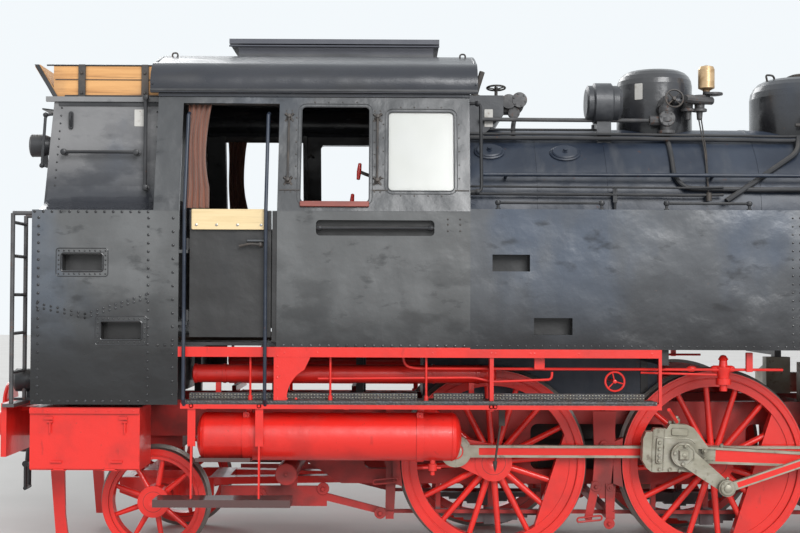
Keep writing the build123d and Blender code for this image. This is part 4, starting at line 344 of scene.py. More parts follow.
@dataclass(frozen=True)
class Finish:
    """A painted, metal, wooden or cloth surface."""

    title: str
    slot: Slot
    colour: Colour
    layers: tuple[Layer, ...] = ()
    reliefs: tuple[Relief, ...] = ()
    roughness: float = 0.4
    metallic: float = 0.0
    coat: float = 0.0
    coat_roughness: float = 0.08
    sheen: float = 0.0
    clear: float = 0.0

    def material(self) -> bpy.types.Material:
        """The finish as a node material, made once."""
        made = bpy.data.materials.get(self.title)
        if made:
            return made
        made = bpy.data.materials.new(self.title)
        made.use_nodes = True
        shader = made.node_tree.nodes["Principled BSDF"]
        for name, value in (
            ("Metallic", self.metallic), ("Roughness", self.roughness), ("Coat Weight", self.coat),
            ("Coat Roughness", self.coat_roughness), ("Sheen Weight", self.sheen), ("Transmission Weight", self.clear),
            ("Base Color", (*self.colour, 1.0)),
        ):
            shader.inputs[name].default_value = value
        self.lay(made.node_tree, shader)
        self.shape(made.node_tree, shader)
        return made

    def lay(self, tree: Tree, shader: bpy.types.ShaderNode) -> None:
        """Mixes the layers into the colour, and into roughness and metal where a layer names them.

        Args:
            tree: Node tree of the material.
            shader: Its shader node.
        """
        found = {"Base Color": self.colour, "Roughness": self.roughness, "Metallic": self.metallic}
        for layer in self.layers:
            cover = layer.cover(tree)
            tones = {"Base Color": layer.colour, "Roughness": layer.roughness, "Metallic": layer.metallic}
            for name, tone in tones.items():
                if tone is not None:
                    found[name] = self.mix(tree, cover, found[name], tone)
        for name, value in found.items():
            if isinstance(value, Socket):
                tree.links.new(value, shader.inputs[name])

    def shape(self, tree: Tree, shader: bpy.types.ShaderNode) -> None:
        """Chains the reliefs into the shader's normal.

        Args:
            tree: Node tree of the material.
            shader: Its shader node.
        """
        normal = None
        for relief in self.reliefs:
            noise = Cloudy(scale=relief.scale, stretch=relief.stretch, detail=relief.detail).noise(tree)
            below = {"Normal": normal} if normal else {}
            normal = add(tree, "Bump", {"Distance": relief.depth, "Height": noise} | below).outputs["Normal"]
        if normal:
            tree.links.new(normal, shader.inputs["Normal"])

    @staticmethod
    def mix(tree: Tree, cover: Socket, below: Socket | Colour | float, above: Colour | float) -> Socket:
        """One layer over what is below it.

        Args:
            tree: Node tree of the material.
            cover: Where the upper tone shows.
            below: Socket or value underneath.
            above: Colour or number of the layer.

        Returns:
            The mixed socket.
        """
        if isinstance(above, tuple):
            below = below if isinstance(below, Socket) else (*below, 1.0)
            return add(tree, "Mix", {0: cover, 6: below, 7: (*above, 1.0)}, data_type="RGBA").outputs[2]
        return add(tree, "Mix", {0: cover, 2: below, 3: above}, data_type="FLOAT").outputs[0]


DUST = (0.2, 0.18, 0.16)
# Soot, and painted shade where it is laid in hollows and on set-back faces.
SOOT_AND_SHADE = (0.012, 0.011, 0.011)
RUST = (0.16, 0.055, 0.02)
# Oil, and painted shade where it is laid in corners and hollows.
OIL_AND_SHADE = (0.03, 0.02, 0.015)
RED = (0.82, 0.026, 0.018)

# The rivets take this black without the painted sky reflection of the sheets, so each head shows as a dark dot that
# stands in for its shading.
GLOSS_BLACK = Finish(
    "gloss_black_paint", Slot.BODY, (0.014, 0.014, 0.016), roughness=0.26, coat=0.25,
    layers=(
        Layer((0.05, 0.052, 0.06), (Cloudy(1.3, 0.42, 0.7),), 0.6, roughness=0.34),
        Layer(DUST, (Cloudy(9.0, 0.5, 0.8, (1.0, 1.0, 0.12)), Cloudy(1.1, 0.4, 0.7)), 0.3, roughness=0.55),
        Layer(RUST, (Cloudy(14.0, 0.68, 0.76), Cloudy(1.7, 0.5, 0.65)), 0.6, roughness=0.75),
    ),
    reliefs=(Relief(1.6, 0.05), Relief(7.0, 0.006), Relief(60.0, 0.0006)),
)


def black_with_painted_reflection(
    title: str, deep: Colour, sky_reflection: Colour, low: float, high: float, dent_reflection: float = 0.85,
    extra: tuple[Layer, ...] = (),
) -> Finish:
    """Gloss black with a painted sky reflection that grows paler with height, painted dark reflections in dents, and
    painted shade in hollows and on faces set back from the side sheets.

    Args:
        title: Name of the finish.
        deep: Colour at the foot.
        sky_reflection: Colour of the painted sky reflection.
        low: Height where the painted reflection begins.
        high: Height where it is full.
        dent_reflection: How strongly the painted dark reflections of dents show.
        extra: Layers over the others.

    Returns:
        The finish.
    """
    # Paler and bluer tones of the painted sky reflection, and where the painted dark reflections of dents fall, mostly
    # low down.
    pale = tuple(min(1.0, c * 1.45) for c in sky_reflection)
    cold = (sky_reflection[0] * 0.62, sky_reflection[1] * 0.8, sky_reflection[2] * 1.1)
    dent_reflections = (Height(high + 0.45, low + 0.1), Cloudy(3.4, 0.45, 0.6, (0.62, 1.0, 1.25), 7.0), Cloudy(0.9, 0.34, 0.5))
    return replace(
        GLOSS_BLACK, title=title, colour=deep,
        layers=(
            # Painted sky reflection, paler with height, in three tones.
            Layer(sky_reflection, (Height(low, high), Cloudy(0.8, 0.05, 0.4)), 0.96, roughness=0.3),
            Layer(cold, (Height(low, high), Cloudy(1.2, 0.52, 0.68, (1.0, 1.0, 0.5))), 0.7, roughness=0.26),
            Layer(pale, (Height(low, high), Cloudy(1.7, 0.5, 0.68, (1.0, 1.0, 0.4))), 0.5, roughness=0.34),
            # Painted dark reflections in dents.
            Layer(deep, dent_reflections, dent_reflection, roughness=0.16),
            Layer(deep, (Cloudy(9.0, 0.58, 0.76, (0.6, 1.0, 1.2)),), 0.6, roughness=0.18),
            # Painted shade and soot in hollows.
            Layer(SOOT_AND_SHADE, (ShadeAndGrime(0.1), Cloudy(3.0, 0.3, 0.6)), 0.5, roughness=0.6),
            # Painted shade on every face set back inside the side sheets between 1.2 and 2.745 m up.
            Layer(SOOT_AND_SHADE, (Within((-9.0, -1.4885, 1.2), (9.0, 1.4885, 2.745), 0.001),), 0.9, roughness=0.5),
            Layer(RUST, (Cloudy(16.0, 0.69, 0.77), Cloudy(1.7, 0.5, 0.65)), 0.4, roughness=0.75),
            *extra,
        ),
    )


# These sheets carry a painted sky reflection that grows paler with height.
TANK_BLACK = black_with_painted_reflection("side_tank_paint", (0.01, 0.01, 0.012), (0.105, 0.113, 0.125), 1.62, 2.55, 0.3)
CAB_BLACK = black_with_painted_reflection(
    "cab_side_paint", (0.011, 0.011, 0.012), (0.118, 0.122, 0.124), 1.5, 2.35, 0.7,
    # Painted shade: the leaning sheet above the belt is darker.
    (Layer((0.034, 0.037, 0.043), (Height(2.742, 2.758), Cloudy(2.0, 0.1, 0.5)), 0.62, roughness=0.3),),
)
COAL_BLACK = black_with_painted_reflection("bunker_paint", (0.04, 0.043, 0.052), (0.24, 0.24, 0.245), 2.84, 3.3)
DOME_BLACK = black_with_painted_reflection("dome_paint", (0.012, 0.012, 0.014), (0.055, 0.056, 0.06), 3.4, 3.95, 0.5)
# The blue cast and the paler blue patches are a painted sky reflection on the barrel.
BOILER_BLACK = replace(
    GLOSS_BLACK, title="boiler_paint", colour=(0.016, 0.024, 0.042), roughness=0.4, coat=0.0,
    layers=(
        Layer((0.045, 0.06, 0.09), (Cloudy(1.5, 0.4, 0.68),), 0.6, roughness=0.45),
        Layer((0.09, 0.095, 0.105), (Cloudy(7.0, 0.5, 0.75, (1.0, 0.3, 0.3)),), 0.4, roughness=0.55),
        Layer(RUST, (Cloudy(17.0, 0.68, 0.76),), 0.4, roughness=0.75),
    ),
)
SATIN_BLACK = Finish(
    "satin_black_paint", Slot.BODY, (0.018, 0.019, 0.022), roughness=0.42, coat=0.1,
    layers=(
        Layer((0.055, 0.056, 0.06), (Cloudy(3.0, 0.4, 0.75),), 0.7, roughness=0.55),
        Layer(DUST, (Upward(), Cloudy(5.0, 0.3, 0.7)), 0.4, roughness=0.8),
        Layer(RUST, (Cloudy(18.0, 0.66, 0.76), Cloudy(2.3, 0.5, 0.62)), 0.6, roughness=0.8),
    ),
    reliefs=(Relief(3.0, 0.012), Relief(80.0, 0.0008)),
)
FITTING_BLACK = replace(
    SATIN_BLACK, title="boiler_fitting_paint", colour=(0.05, 0.053, 0.06),
    layers=(
        Layer((0.12, 0.125, 0.135), (Cloudy(6.0, 0.42, 0.7),), 0.7, roughness=0.5),
        # Painted shade and soot in hollows.
        Layer(SOOT_AND_SHADE, (ShadeAndGrime(0.06),), 0.7, roughness=0.7),
        Layer(
            (0.66, 0.46, 0.26), (Within((-0.012, -0.378, 3.882), (0.144, -0.222, 4.094)),), 1.0,
            roughness=0.34, metallic=0.7,
        ),
        Layer(
            (0.4, 0.25, 0.12), (Within((-0.012, -0.378, 3.872), (0.144, -0.222, 4.12)), Cloudy(14.0, 0.42, 0.7)), 0.7,
            roughness=0.45,
        ),
    ),
)
SOOTY_BLACK = Finish(
    "heat_black_paint", Slot.BODY, (0.022, 0.021, 0.021), roughness=0.62,
    layers=(
        Layer((0.07, 0.065, 0.06), (Cloudy(4.0, 0.42, 0.7),), 0.6, roughness=0.75),
        Layer(RUST, (Cloudy(6.0, 0.56, 0.72, (1.0, 1.0, 0.3)),), 0.4, roughness=0.85),
        # Painted shade and soot in hollows.
        Layer(SOOT_AND_SHADE, (ShadeAndGrime(0.12),), 0.7, roughness=0.8),
    ),
    reliefs=(Relief(5.0, 0.008), Relief(90.0, 0.0012)),
)
ROOF_GREY = Finish(
    "roof_paint", Slot.BODY, (0.06, 0.063, 0.07), roughness=0.38, coat=0.15,
    layers=(
        Layer((0.13, 0.13, 0.137), (Cloudy(2.2, 0.4, 0.7, (0.5, 1.0, 1.0)),), 0.6, roughness=0.5),
        # Painted shade: darker and glossier below 3.9 m, where the roof curves down to the eaves, with mottling in that
        # band.
        Layer((0.02, 0.023, 0.033), (Height(3.97, 3.9),), 0.85, roughness=0.22),
        Layer((0.045, 0.047, 0.055), (Height(3.97, 3.9), Cloudy(2.6, 0.45, 0.7, (0.4, 1.0, 1.0))), 0.5, roughness=0.3),
        Layer((0.095, 0.1, 0.125), (Height(4.15, 4.17),), 0.8, roughness=0.5),
        Layer(SOOT_AND_SHADE, (Cloudy(7.0, 0.5, 0.72, (0.3, 1.0, 1.0)),), 0.4, roughness=0.6),
    ),
    reliefs=(Relief(2.0, 0.02), Relief(70.0, 0.0008)),
)
GEAR_RED = Finish(
    "running_gear_red", Slot.GEAR, RED, roughness=0.32, coat=0.35,
    layers=(
        Layer((0.52, 0.02, 0.016), (Cloudy(3.5, 0.45, 0.7),), 0.5, roughness=0.45),
        # Oil and painted shade in corners and hollows.
        Layer(OIL_AND_SHADE, (ShadeAndGrime(0.06, 0.6, 0.25), Cloudy(8.0, 0.3, 0.62)), 0.5, roughness=0.5),
        Layer(DUST, (Upward(0.6), Cloudy(6.0, 0.4, 0.72)), 0.25, roughness=0.8),
        Layer((0.3, 0.016, 0.012), (Cloudy(16.0, 0.64, 0.76, (1.0, 1.0, 0.35)),), 0.4, roughness=0.35),
        Layer(RUST, (Cloudy(30.0, 0.68, 0.75),), 0.35, roughness=0.8),
    ),
    reliefs=(Relief(9.0, 0.003), Relief(90.0, 0.0008)),
)
DULL_RED = replace(
    GEAR_RED, title="frame_red", colour=(0.42, 0.022, 0.018), roughness=0.5, coat=0.1,
    layers=GEAR_RED.layers + (Layer((0.05, 0.02, 0.018), (Cloudy(2.4, 0.46, 0.64),), 0.6, roughness=0.6),),
)
STEP_RED = replace(
    GEAR_RED, title="running_board_paint",
    layers=GEAR_RED.layers + tuple(
        Layer((0.05, 0.042, 0.04), (Within((x0, y - 0.13, z0), (x1, y + 0.13, z1)),), 0.95, roughness=0.6)
        for x0, x1, z0, z1 in ((-4.135, -3.7, 0.826, 0.866), (-4.46, -3.39, 0.478, 0.548)) for y in (-1.38, 1.38)
    ),
)
SPRING_RED = replace(
    DULL_RED, title="axle_box_paint",
    layers=DULL_RED.layers + (Layer((0.1, 0.1, 0.105), (Height(0.36, 0.33),), 0.95, roughness=0.5),),
)
BRIGHT_STEEL = Finish(
    "machined_steel", Slot.STEEL, (0.5, 0.48, 0.45), roughness=0.32, metallic=0.85,
    layers=(
        Layer((0.33, 0.29, 0.23), (Cloudy(7.0, 0.42, 0.68),), 0.7, roughness=0.42),
        # Oil and painted shade in corners and hollows.
        Layer(OIL_AND_SHADE, (ShadeAndGrime(0.06),), 0.6, roughness=0.4, metallic=0.3),
        Layer(OIL_AND_SHADE, (Cloudy(20.0, 0.6, 0.72),), 0.5, roughness=0.3),
    ),
    reliefs=(Relief(200.0, 0.0004, (0.05, 1.0, 1.0)), Relief(30.0, 0.0008)),
)
ROD_STEEL = Finish(
    "rod_steel", Slot.STEEL, (0.37, 0.355, 0.285), roughness=0.44, metallic=0.4,
    layers=(
        Layer((0.24, 0.225, 0.165), (Cloudy(6.0, 0.42, 0.66),), 0.7, roughness=0.5),
        Layer((0.46, 0.44, 0.38), (Cloudy(11.0, 0.5, 0.68, (0.3, 1.0, 1.0)),), 0.5, roughness=0.36),
        # Oil and painted shade in corners and hollows.
        Layer(OIL_AND_SHADE, (ShadeAndGrime(0.05),), 0.65, roughness=0.4, metallic=0.1),
        Layer((0.11, 0.085, 0.06), (Cloudy(19.0, 0.58, 0.72),), 0.6, roughness=0.35),
    ),
    reliefs=(Relief(160.0, 0.0005, (0.08, 1.0, 1.0)), Relief(26.0, 0.0012)),
)
DARK_IRON = Finish(
    "dark_iron", Slot.STEEL, (0.06, 0.056, 0.054), roughness=0.5, metallic=0.3,
    layers=(
        Layer((0.12, 0.1, 0.085), (Cloudy(9.0, 0.42, 0.68),), 0.7, roughness=0.65),
        Layer(RUST, (Cloudy(24.0, 0.62, 0.74),), 0.5, roughness=0.85),
        # Oil and painted shade in corners and hollows.
        Layer(OIL_AND_SHADE, (ShadeAndGrime(0.06),), 0.6, roughness=0.35),
    ),
    reliefs=(Relief(60.0, 0.0012), Relief(12.0, 0.002)),
)
GREY_PIPE = replace(
    DARK_IRON, title="grey_pipe_paint", slot=Slot.BODY, colour=(0.095, 0.094, 0.096), roughness=0.42, metallic=0.1,
    layers=(
        Layer((0.05, 0.05, 0.054), (Cloudy(9.0, 0.42, 0.68),), 0.7, roughness=0.5),
        # Painted shade and soot in hollows.
        Layer(SOOT_AND_SHADE, (ShadeAndGrime(0.05),), 0.6, roughness=0.6),
        Layer(RUST, (Cloudy(24.0, 0.58, 0.72),), 0.5, roughness=0.85),
    ),
)
BRASS = Finish(
    "whistle_brass", Slot.STEEL, (0.72, 0.47, 0.16), roughness=0.27, metallic=1.0,
    layers=(
        Layer((0.34, 0.2, 0.07), (Cloudy(12.0, 0.42, 0.7),), 0.7, roughness=0.45),
        # Painted shade in hollows.
        Layer((0.08, 0.05, 0.03), (ShadeAndGrime(0.03),), 0.7, roughness=0.6),
    ),
    reliefs=(Relief(120.0, 0.0004),),
)
VARNISHED_WOOD = Finish(
    "varnished_wood", Slot.WOOD, (0.42, 0.2, 0.07), roughness=0.35, coat=0.3,
    layers=(
        Layer((0.26, 0.1, 0.03), (Cloudy(26.0, 0.42, 0.66, (0.06, 1.0, 1.0)),), 0.8),
        Layer((0.1, 0.04, 0.015), (Cloudy(60.0, 0.6, 0.75, (0.03, 1.0, 1.0)),), 0.7),
        # Oil and painted shade in corners and hollows.
        Layer(OIL_AND_SHADE, (ShadeAndGrime(0.03),), 0.6, roughness=0.6),
    ),
    reliefs=(Relief(80.0, 0.0012, (0.05, 1.0, 1.0)),),
)
PALE_BOARDS = replace(
    VARNISHED_WOOD, title="bunker_boards_wood", colour=(0.8, 0.43, 0.165), roughness=0.5, coat=0.0,
    layers=(
        Layer((0.58, 0.27, 0.09), (Cloudy(18.0, 0.44, 0.68, (0.06, 1.0, 1.0)),), 0.7),
        Layer((0.3, 0.13, 0.05), (Cloudy(46.0, 0.6, 0.74, (0.04, 1.0, 1.0)),), 0.6),
        Layer((0.22, 0.14, 0.09), (Cloudy(2.5, 0.52, 0.74),), 0.4, roughness=0.7),
        # Painted shade and soot in hollows.
        Layer(SOOT_AND_SHADE, (ShadeAndGrime(0.03),), 0.6, roughness=0.8),
    ),
)
LIGHT_BOARD = replace(
    PALE_BOARDS, title="door_board_wood", colour=(0.86, 0.68, 0.39),
    layers=(
        Layer((0.66, 0.47, 0.22), (Cloudy(18.0, 0.44, 0.68, (0.06, 1.0, 1.0)),), 0.6),
        Layer((0.45, 0.28, 0.12), (Cloudy(46.0, 0.6, 0.74, (0.04, 1.0, 1.0)),), 0.5),
    ),
)
DARK_PLANK = replace(
    VARNISHED_WOOD, title="step_plank", colour=(0.085, 0.045, 0.03), roughness=0.6, coat=0.0,
    layers=(
        Layer((0.03, 0.02, 0.016), (Cloudy(30.0, 0.4, 0.66, (0.05, 1.0, 1.0)),), 0.8),
        Layer(DUST, (Upward(), Cloudy(7.0, 0.35, 0.7)), 0.4, roughness=0.85),
    ),
)
SILL_RED = replace(
    VARNISHED_WOOD, title="sill_paint", colour=(0.28, 0.05, 0.032), roughness=0.4,
    layers=(
        Layer((0.14, 0.028, 0.02), (Cloudy(9.0, 0.4, 0.66, (0.3, 1.0, 1.0)),), 0.7, roughness=0.55),
        Layer((0.36, 0.3, 0.26), (Cloudy(21.0, 0.62, 0.74),), 0.5, roughness=0.6),
    ),
)
CURTAIN_CLOTH = Finish(
    "curtain_cloth", Slot.WOOD, (0.27, 0.115, 0.075), roughness=0.85, sheen=0.35,
    layers=(
        Layer((0.15, 0.055, 0.034), (Cloudy(4.0, 0.4, 0.7, (3.0, 3.0, 0.5)),), 0.7),
        Layer((0.1, 0.04, 0.02), (Cloudy(1.5, 0.5, 0.7),), 0.5),
    ),
    reliefs=(Relief(420.0, 0.0012, (1.0, 1.0, 0.08)), Relief(420.0, 0.0012, (0.08, 0.08, 1.0))),
)
# The pale pane colour is a painted sky reflection on the glass, and the darker edges are painted shade.
WINDOW_GLASS = Finish(
    "window_glass_pane", Slot.GLASS, (0.7, 0.72, 0.69), roughness=0.14, clear=0.12, coat=0.4,
    layers=(
        Layer((0.66, 0.68, 0.67), (Cloudy(3.0, 0.45, 0.75),), 0.5, roughness=0.25),
        Layer((0.36, 0.36, 0.34), (ShadeAndGrime(0.04),), 0.6, roughness=0.5),
    ),
    reliefs=(Relief(3.0, 0.002),),
)
LAMP_LENS = Finish(
    "lamp_lens", Slot.GLASS, (0.9, 0.9, 0.86), roughness=0.08, clear=0.4, coat=0.5,
    layers=(Layer((0.5, 0.5, 0.46), (Cloudy(14.0, 0.45, 0.7),), 0.6, roughness=0.2),),
    reliefs=(Relief(60.0, 0.004, (1.0, 1.0, 0.05)),),
)
WHITE_PLATE = Finish(
    "white_plate", Slot.BODY, (0.62, 0.61, 0.58), roughness=0.4,
    layers=(
        Layer((0.36, 0.33, 0.29), (Cloudy(20.0, 0.5, 0.72),), 0.6, roughness=0.6),
        Layer(RUST, (Cloudy(40.0, 0.64, 0.72),), 0.6, roughness=0.8),
    ),
    reliefs=(Relief(50.0, 0.0008),),
)
TREAD_PLATE = replace(
    DARK_IRON, title="tread_plate", colour=(0.085, 0.085, 0.09), roughness=0.5,
    reliefs=(Relief(95.0, 0.006, (1.0, 1.0, 1.0), 0.0), Relief(20.0, 0.002)),
)
SIGNAL_RED = replace(GEAR_RED, title="lever_red", colour=(0.7, 0.03, 0.02), slot=Slot.BODY)


def rounded_outline(width: float, height: float, corner: float, steps: int = 4) -> list[Flat]:
    """A rectangle about the origin with rounded corners.

    Args:
        width: Size along the first axis.
        height: Size along the second.
        corner: Radius of the corners.
        steps: Points along each corner, less one.

    Returns:
        The outline's points, anticlockwise.
    """
    found = []
    for quarter, (sx, sz) in enumerate(((1, 1), (-1, 1), (-1, -1), (1, -1))):
        for angle in ((quarter + step / steps) * math.pi / 2 for step in range(steps + 1)):
            x, z = sx * (width / 2 - corner), sz * (height / 2 - corner)
            found.append((x + corner * math.cos(angle), z + corner * math.sin(angle)))
    return found


def spaced(start: Point, end: Point, pitch: float) -> list[Point]:
    """Points from start to end, both included, about pitch apart."""
    a, b = Vector(start), Vector(end)
    count = max(1, round((b - a).length / pitch))
    return [tuple(a.lerp(b, i / count)) for i in range(count + 1)]


def round_turns(count: int) -> list[float]:
    """Angles that share a full turn, from 0."""
    return [2 * math.pi * i / count for i in range(count)]


def arc_turns(first: float, last: float, steps: int) -> list[float]:
    """Angles from first to last degrees in even steps, both included, in radians."""
    return [math.radians(first + (last - first) * k / steps) for k in range(steps + 1)]


def turned(a: float, b: float, angle: float) -> Flat:
    """A flat point turned about the origin."""
    return (a * math.cos(angle) - b * math.sin(angle), a * math.sin(angle) + b * math.cos(angle))


def axes(axis: Point) -> tuple[Vector, Vector, Vector]:
    """An axis as a unit vector, and two across it."""
    along = Vector(axis).normalized()
    across = along.orthogonal().normalized()
    return along, across, along.cross(across)


def circle(centre: Vector, axis: Point, radius: float, count: int) -> list[Vector]:
    """Points round an axis."""
    _, across, over = axes(axis)
    return [centre + (across * math.cos(t) + over * math.sin(t)) * radius for t in round_turns(count)]


@dataclass(frozen=True)
class Run:
    """A bar or pipe, by its radius and its corner points (x, distance out, z)."""

    radius: float
    points: tuple[Point, ...]
    bend: float = 0.0
    sides: int = 10


@dataclass(frozen=True)
class Row:
    """A row of rivets on a side's face, from one (x, z) to another."""

    start: Flat
    end: Flat
    pitch: float
    radius: float


class Piece:
    """One visible piece: shapes are added to its mesh, and place() hangs it on its body.

    Every method that adds a shape returns the piece itself.
    """

    def __init__(self, title: str, finish: Finish, body: Body = Body.LOCOMOTIVE) -> None:
        """Starts an empty mesh.

        Args:
            title: Name of the piece.
            finish: Its surface.
            body: Body that it rides on.
        """
        self.title = title
        self.body = body
        self.finish = finish
        self.mesh = bmesh.new()

    def skin(self, rings: Sequence[Sequence[Vector]], closed: bool = False) -> "Piece":
        """Joins rings of points with faces, and caps the ends of an open run.

        Args:
            rings: Rings with the same number of points; a ring of one point is a tip.
            closed: Whether the last ring joins the first.

        Returns:
            The piece itself.
        """
        loops = [[self.mesh.verts.new(p) for p in ring] for ring in rings]
        pairs = list(zip(loops, loops[1:])) + ([(loops[-1], loops[0])] if closed else [])
        for low, high in pairs:
            sides = max(len(low), len(high))
            for i in range(sides):
                j = (i + 1) % sides
                corners = [low[i % len(low)], low[j % len(low)], high[j % len(high)], high[i % len(high)]]
                self.mesh.faces.new(list(dict.fromkeys(corners)))
        if not closed:
            for loop in (loops[0][::-1], loops[-1]):
                if len(loop) > 2:
                    self.mesh.faces.new(loop)
        return self

    def turn(self, foot: Point, axis: Point, profile: Sequence[Flat], sides: int = 20) -> "Piece":
        """A turned shape.

        Args:
            foot: Point on the axis where the profile's along is 0.
            axis: Direction of the axis.
            profile: (along, radius) pairs; radius 0 is a tip.
            sides: Faces round the axis.

        Returns:
            The piece itself.
        """
        along = axes(axis)[0]
        centres = [(Vector(foot) + along * distance, radius) for distance, radius in profile]
        return self.skin([circle(centre, axis, radius, sides) if radius else [centre] for centre, radius in centres])

    def disc(self, foot: Point, axis: Point, radius: float, thickness: float, sides: int) -> "Piece":
        """A flat disc with a fine chamfer."""
        rim = 0.002
        profile = ((0.0, radius), (thickness - rim, radius), (thickness, radius - rim), (thickness, 0.0))
        return self.turn(foot, axis, profile, sides)

    def rivets(self, points: Iterable[Point], outward: Point, radius: float = 0.012) -> "Piece":
        """Domed rivet heads at the points, looking outward."""
        for point in points:
            self.turn(point, outward, ((-SUNK, radius), (radius * 0.35, radius * 0.8), (radius * 0.62, 0.0)), 8)
        return self

    def rows(self, rows: Iterable[Row], side: Side, out: float) -> "Piece":
        """Rows of rivets on a face that stands out metres from the centreline."""
        for row in rows:
            ends = [side.at(x, out, z) for x, z in (row.start, row.end)]
            self.rivets(spaced(*ends, row.pitch), side.outward, row.radius)
        return self

    def bolts(self, points: Iterable[Point], outward: Point, across: float = 0.03) -> "Piece":
        """Hexagon bolt heads with washers at the points, looking outward."""
        r = across / 2
        for point in points:
            self.turn(point, outward, ((-SUNK, r * 1.5), (r * 0.25, r * 1.5), (r * 0.25, 0.0)), 12)
            self.turn(point, outward, ((0.0, r), (r * 1.1, r), (r * 1.35, r * 0.82), (r * 1.35, 0.0)), 6)
        return self

    def tube(
        self, path: Sequence[Point], radius: float, bend: float = 0.0, sides: int = 10, closed: bool = False,
    ) -> "Piece":
        """A bar or pipe along a path.

        Args:
            path: Corner points.
            radius: Radius of the bar.
            bend: Distance before and after each corner over which the path turns.
            sides: Faces round the bar; 4 gives a square bar.
            closed: Whether the path returns to its start.

        Returns:
            The piece itself.
        """
        points = self.bent([Vector(p) for p in path], bend)
        count = len(points)
        headings = []
        for i in range(count):
            before = points[i - 1] if i or closed else points[i]
            after = points[(i + 1) % count] if i < count - 1 or closed else points[i]
            headings.append((after - before).normalized())
        side = headings[0].orthogonal().normalized()
        rings = []
        for point, heading in zip(points, headings):
            side = (side - heading * side.dot(heading)).normalized()
            over = heading.cross(side)
            turns = (2 * math.pi * (k + 0.5) / sides for k in range(sides))
            rings.append([point + (side * math.cos(t) + over * math.sin(t)) * radius for t in turns])
        return self.skin(rings, closed)

    def runs(self, runs: Iterable[Run], side: Side = Side.LEFT) -> "Piece":
        """Bars and pipes laid on a side; on the left their points stay as written."""
        for run in runs:
            self.tube([side.at(*p) for p in run.points], run.radius, run.bend, run.sides)
        return self

    @staticmethod
    def bent(path: list[Vector], bend: float) -> list[Vector]:
        """The path with each inner corner replaced by a short curve.

        Args:
            path: Corner points.
            bend: Distance before and after a corner over which the path turns.

        Returns:
            The points of the curved path.
        """
        if bend <= 0.0 or len(path) < 3:
            return path
        found = [path[0]]
        for before, corner, after in zip(path, path[1:], path[2:]):
            reach = min(bend, (corner - before).length * 0.49, (after - corner).length * 0.49)
            start = corner + (before - corner).normalized() * reach
            end = corner + (after - corner).normalized() * reach
            for t in (step / BEND_STEPS for step in range(BEND_STEPS + 1)):
                found.append(start.lerp(corner, t).lerp(corner.lerp(end, t), t))
        return found + [path[-1]]

    def hoop(self, centre: Point, axis: Point, radius: float, wire: float, sides: int = 28) -> "Piece":
        """A round ring of wire, as a hand-wheel's rim."""
        return self.tube([tuple(p) for p in circle(Vector(centre), axis, radius, sides)], wire, sides=8, closed=True)

    def band(self, centre: Point, radius: float, section: Sequence[Flat], sides: int) -> "Piece":
        """A strap round a lying tank, its section given as (along, lift off the tank)."""
        x, y, z = centre
        rings = []
        for dx, lift in section:
            r = radius + lift
            rings.append([Vector((x + dx, y + r * math.cos(t), z + r * math.sin(t))) for t in round_turns(sides)])
        return self.skin(rings)

    def hand_wheel(self, centre: Point, axis: Point, radius: float, spokes: int = 4) -> "Piece":
        """A hand-wheel with its spokes and boss.

        Args:
            centre: Middle of the rim.
            axis: Direction that the wheel faces.
            radius: Radius of the rim.
            spokes: Number of spokes.

        Returns:
            The piece itself.
        """
        along, middle = axes(axis)[0], Vector(centre)
        self.hoop(centre, axis, radius, radius * 0.11)
        for end in circle(middle, axis, radius, spokes):
            self.tube([tuple(middle - along * radius * 0.15), tuple(end)], radius * 0.07, sides=8)
        boss = ((0.0, radius * 0.2), (radius * 0.4, radius * 0.2), (radius * 0.45, 0.0))
        return self.turn(tuple(middle - along * radius * 0.3), axis, boss, 12)

    def flange(self, foot: Point, axis: Point, radius: float, thickness: float, bolts: int = 8) -> "Piece":
        """A round flange with a ring of bolts on its outer face.

        Args:
            foot: Middle of the face that it lies on.
            axis: Direction that it faces.
            radius: Its radius.
            thickness: Its thickness.
            bolts: Number of bolts.

        Returns:
            The piece itself.
        """
        edge = thickness * 0.15
        profile = ((-0.003, radius), (thickness - edge, radius), (thickness, radius - edge), (thickness, 0.0))
        self.turn(foot, axis, profile, 32)
        face = Vector(foot) + axes(axis)[0] * thickness
        return self.bolts([tuple(p) for p in circle(face, axis, radius * 0.78, bolts)], axis, radius * 0.18)

    def slab(
        self, centre: Point, right: Point, up: Point, outline: Sequence[Flat], thickness: float, edge: float = 0.002,
    ) -> "Piece":
        """A plate with a chamfered rim, standing on the plane through centre.

        Args:
            centre: Where the outline's origin lies.
            right: Direction of the outline's first axis.
            up: Direction of its second; the plate rises along right x up.
            outline: Points round the plate, anticlockwise.
            thickness: Height of the plate.
            edge: Width of the chamfer.

        Returns:
            The piece itself.
        """
        u, v = Vector(right).normalized(), Vector(up).normalized()
        rise = u.cross(v)
        mean = [sum(values) / len(outline) for values in zip(*outline)]
        rings = []
        for height, pull in ((-SUNK, 0.0), (thickness - edge, 0.0), (thickness, edge)):
            ring = []
            for a, b in outline:
                a, b = a - mean[0], b - mean[1]
                share = 1 - pull * CHAMFER_PULL / (math.hypot(a, b) or 1.0)
                ring.append(Vector(centre) + u * (mean[0] + a * share) + v * (mean[1] + b * share) + rise * height)
            rings.append(ring)
        return self.skin(rings)

    def plate(
        self, centre: Point, side: Side, size: Point, corner: float = 0.006, steps: int = 2, edge: float = 0.002,
    ) -> "Piece":
        """An upright rounded plate on a side's face.

        Args:
            centre: Middle of its back.
            side: Side that it faces.
            size: Its length, height and thickness.
            corner: Radius of its corners.
            steps: Points along each corner, less one.
            edge: Width of its chamfer.

        Returns:
            The piece itself.
        """
        return self.slab(centre, side.right, UP, rounded_outline(size[0], size[1], corner, steps), size[2], edge)

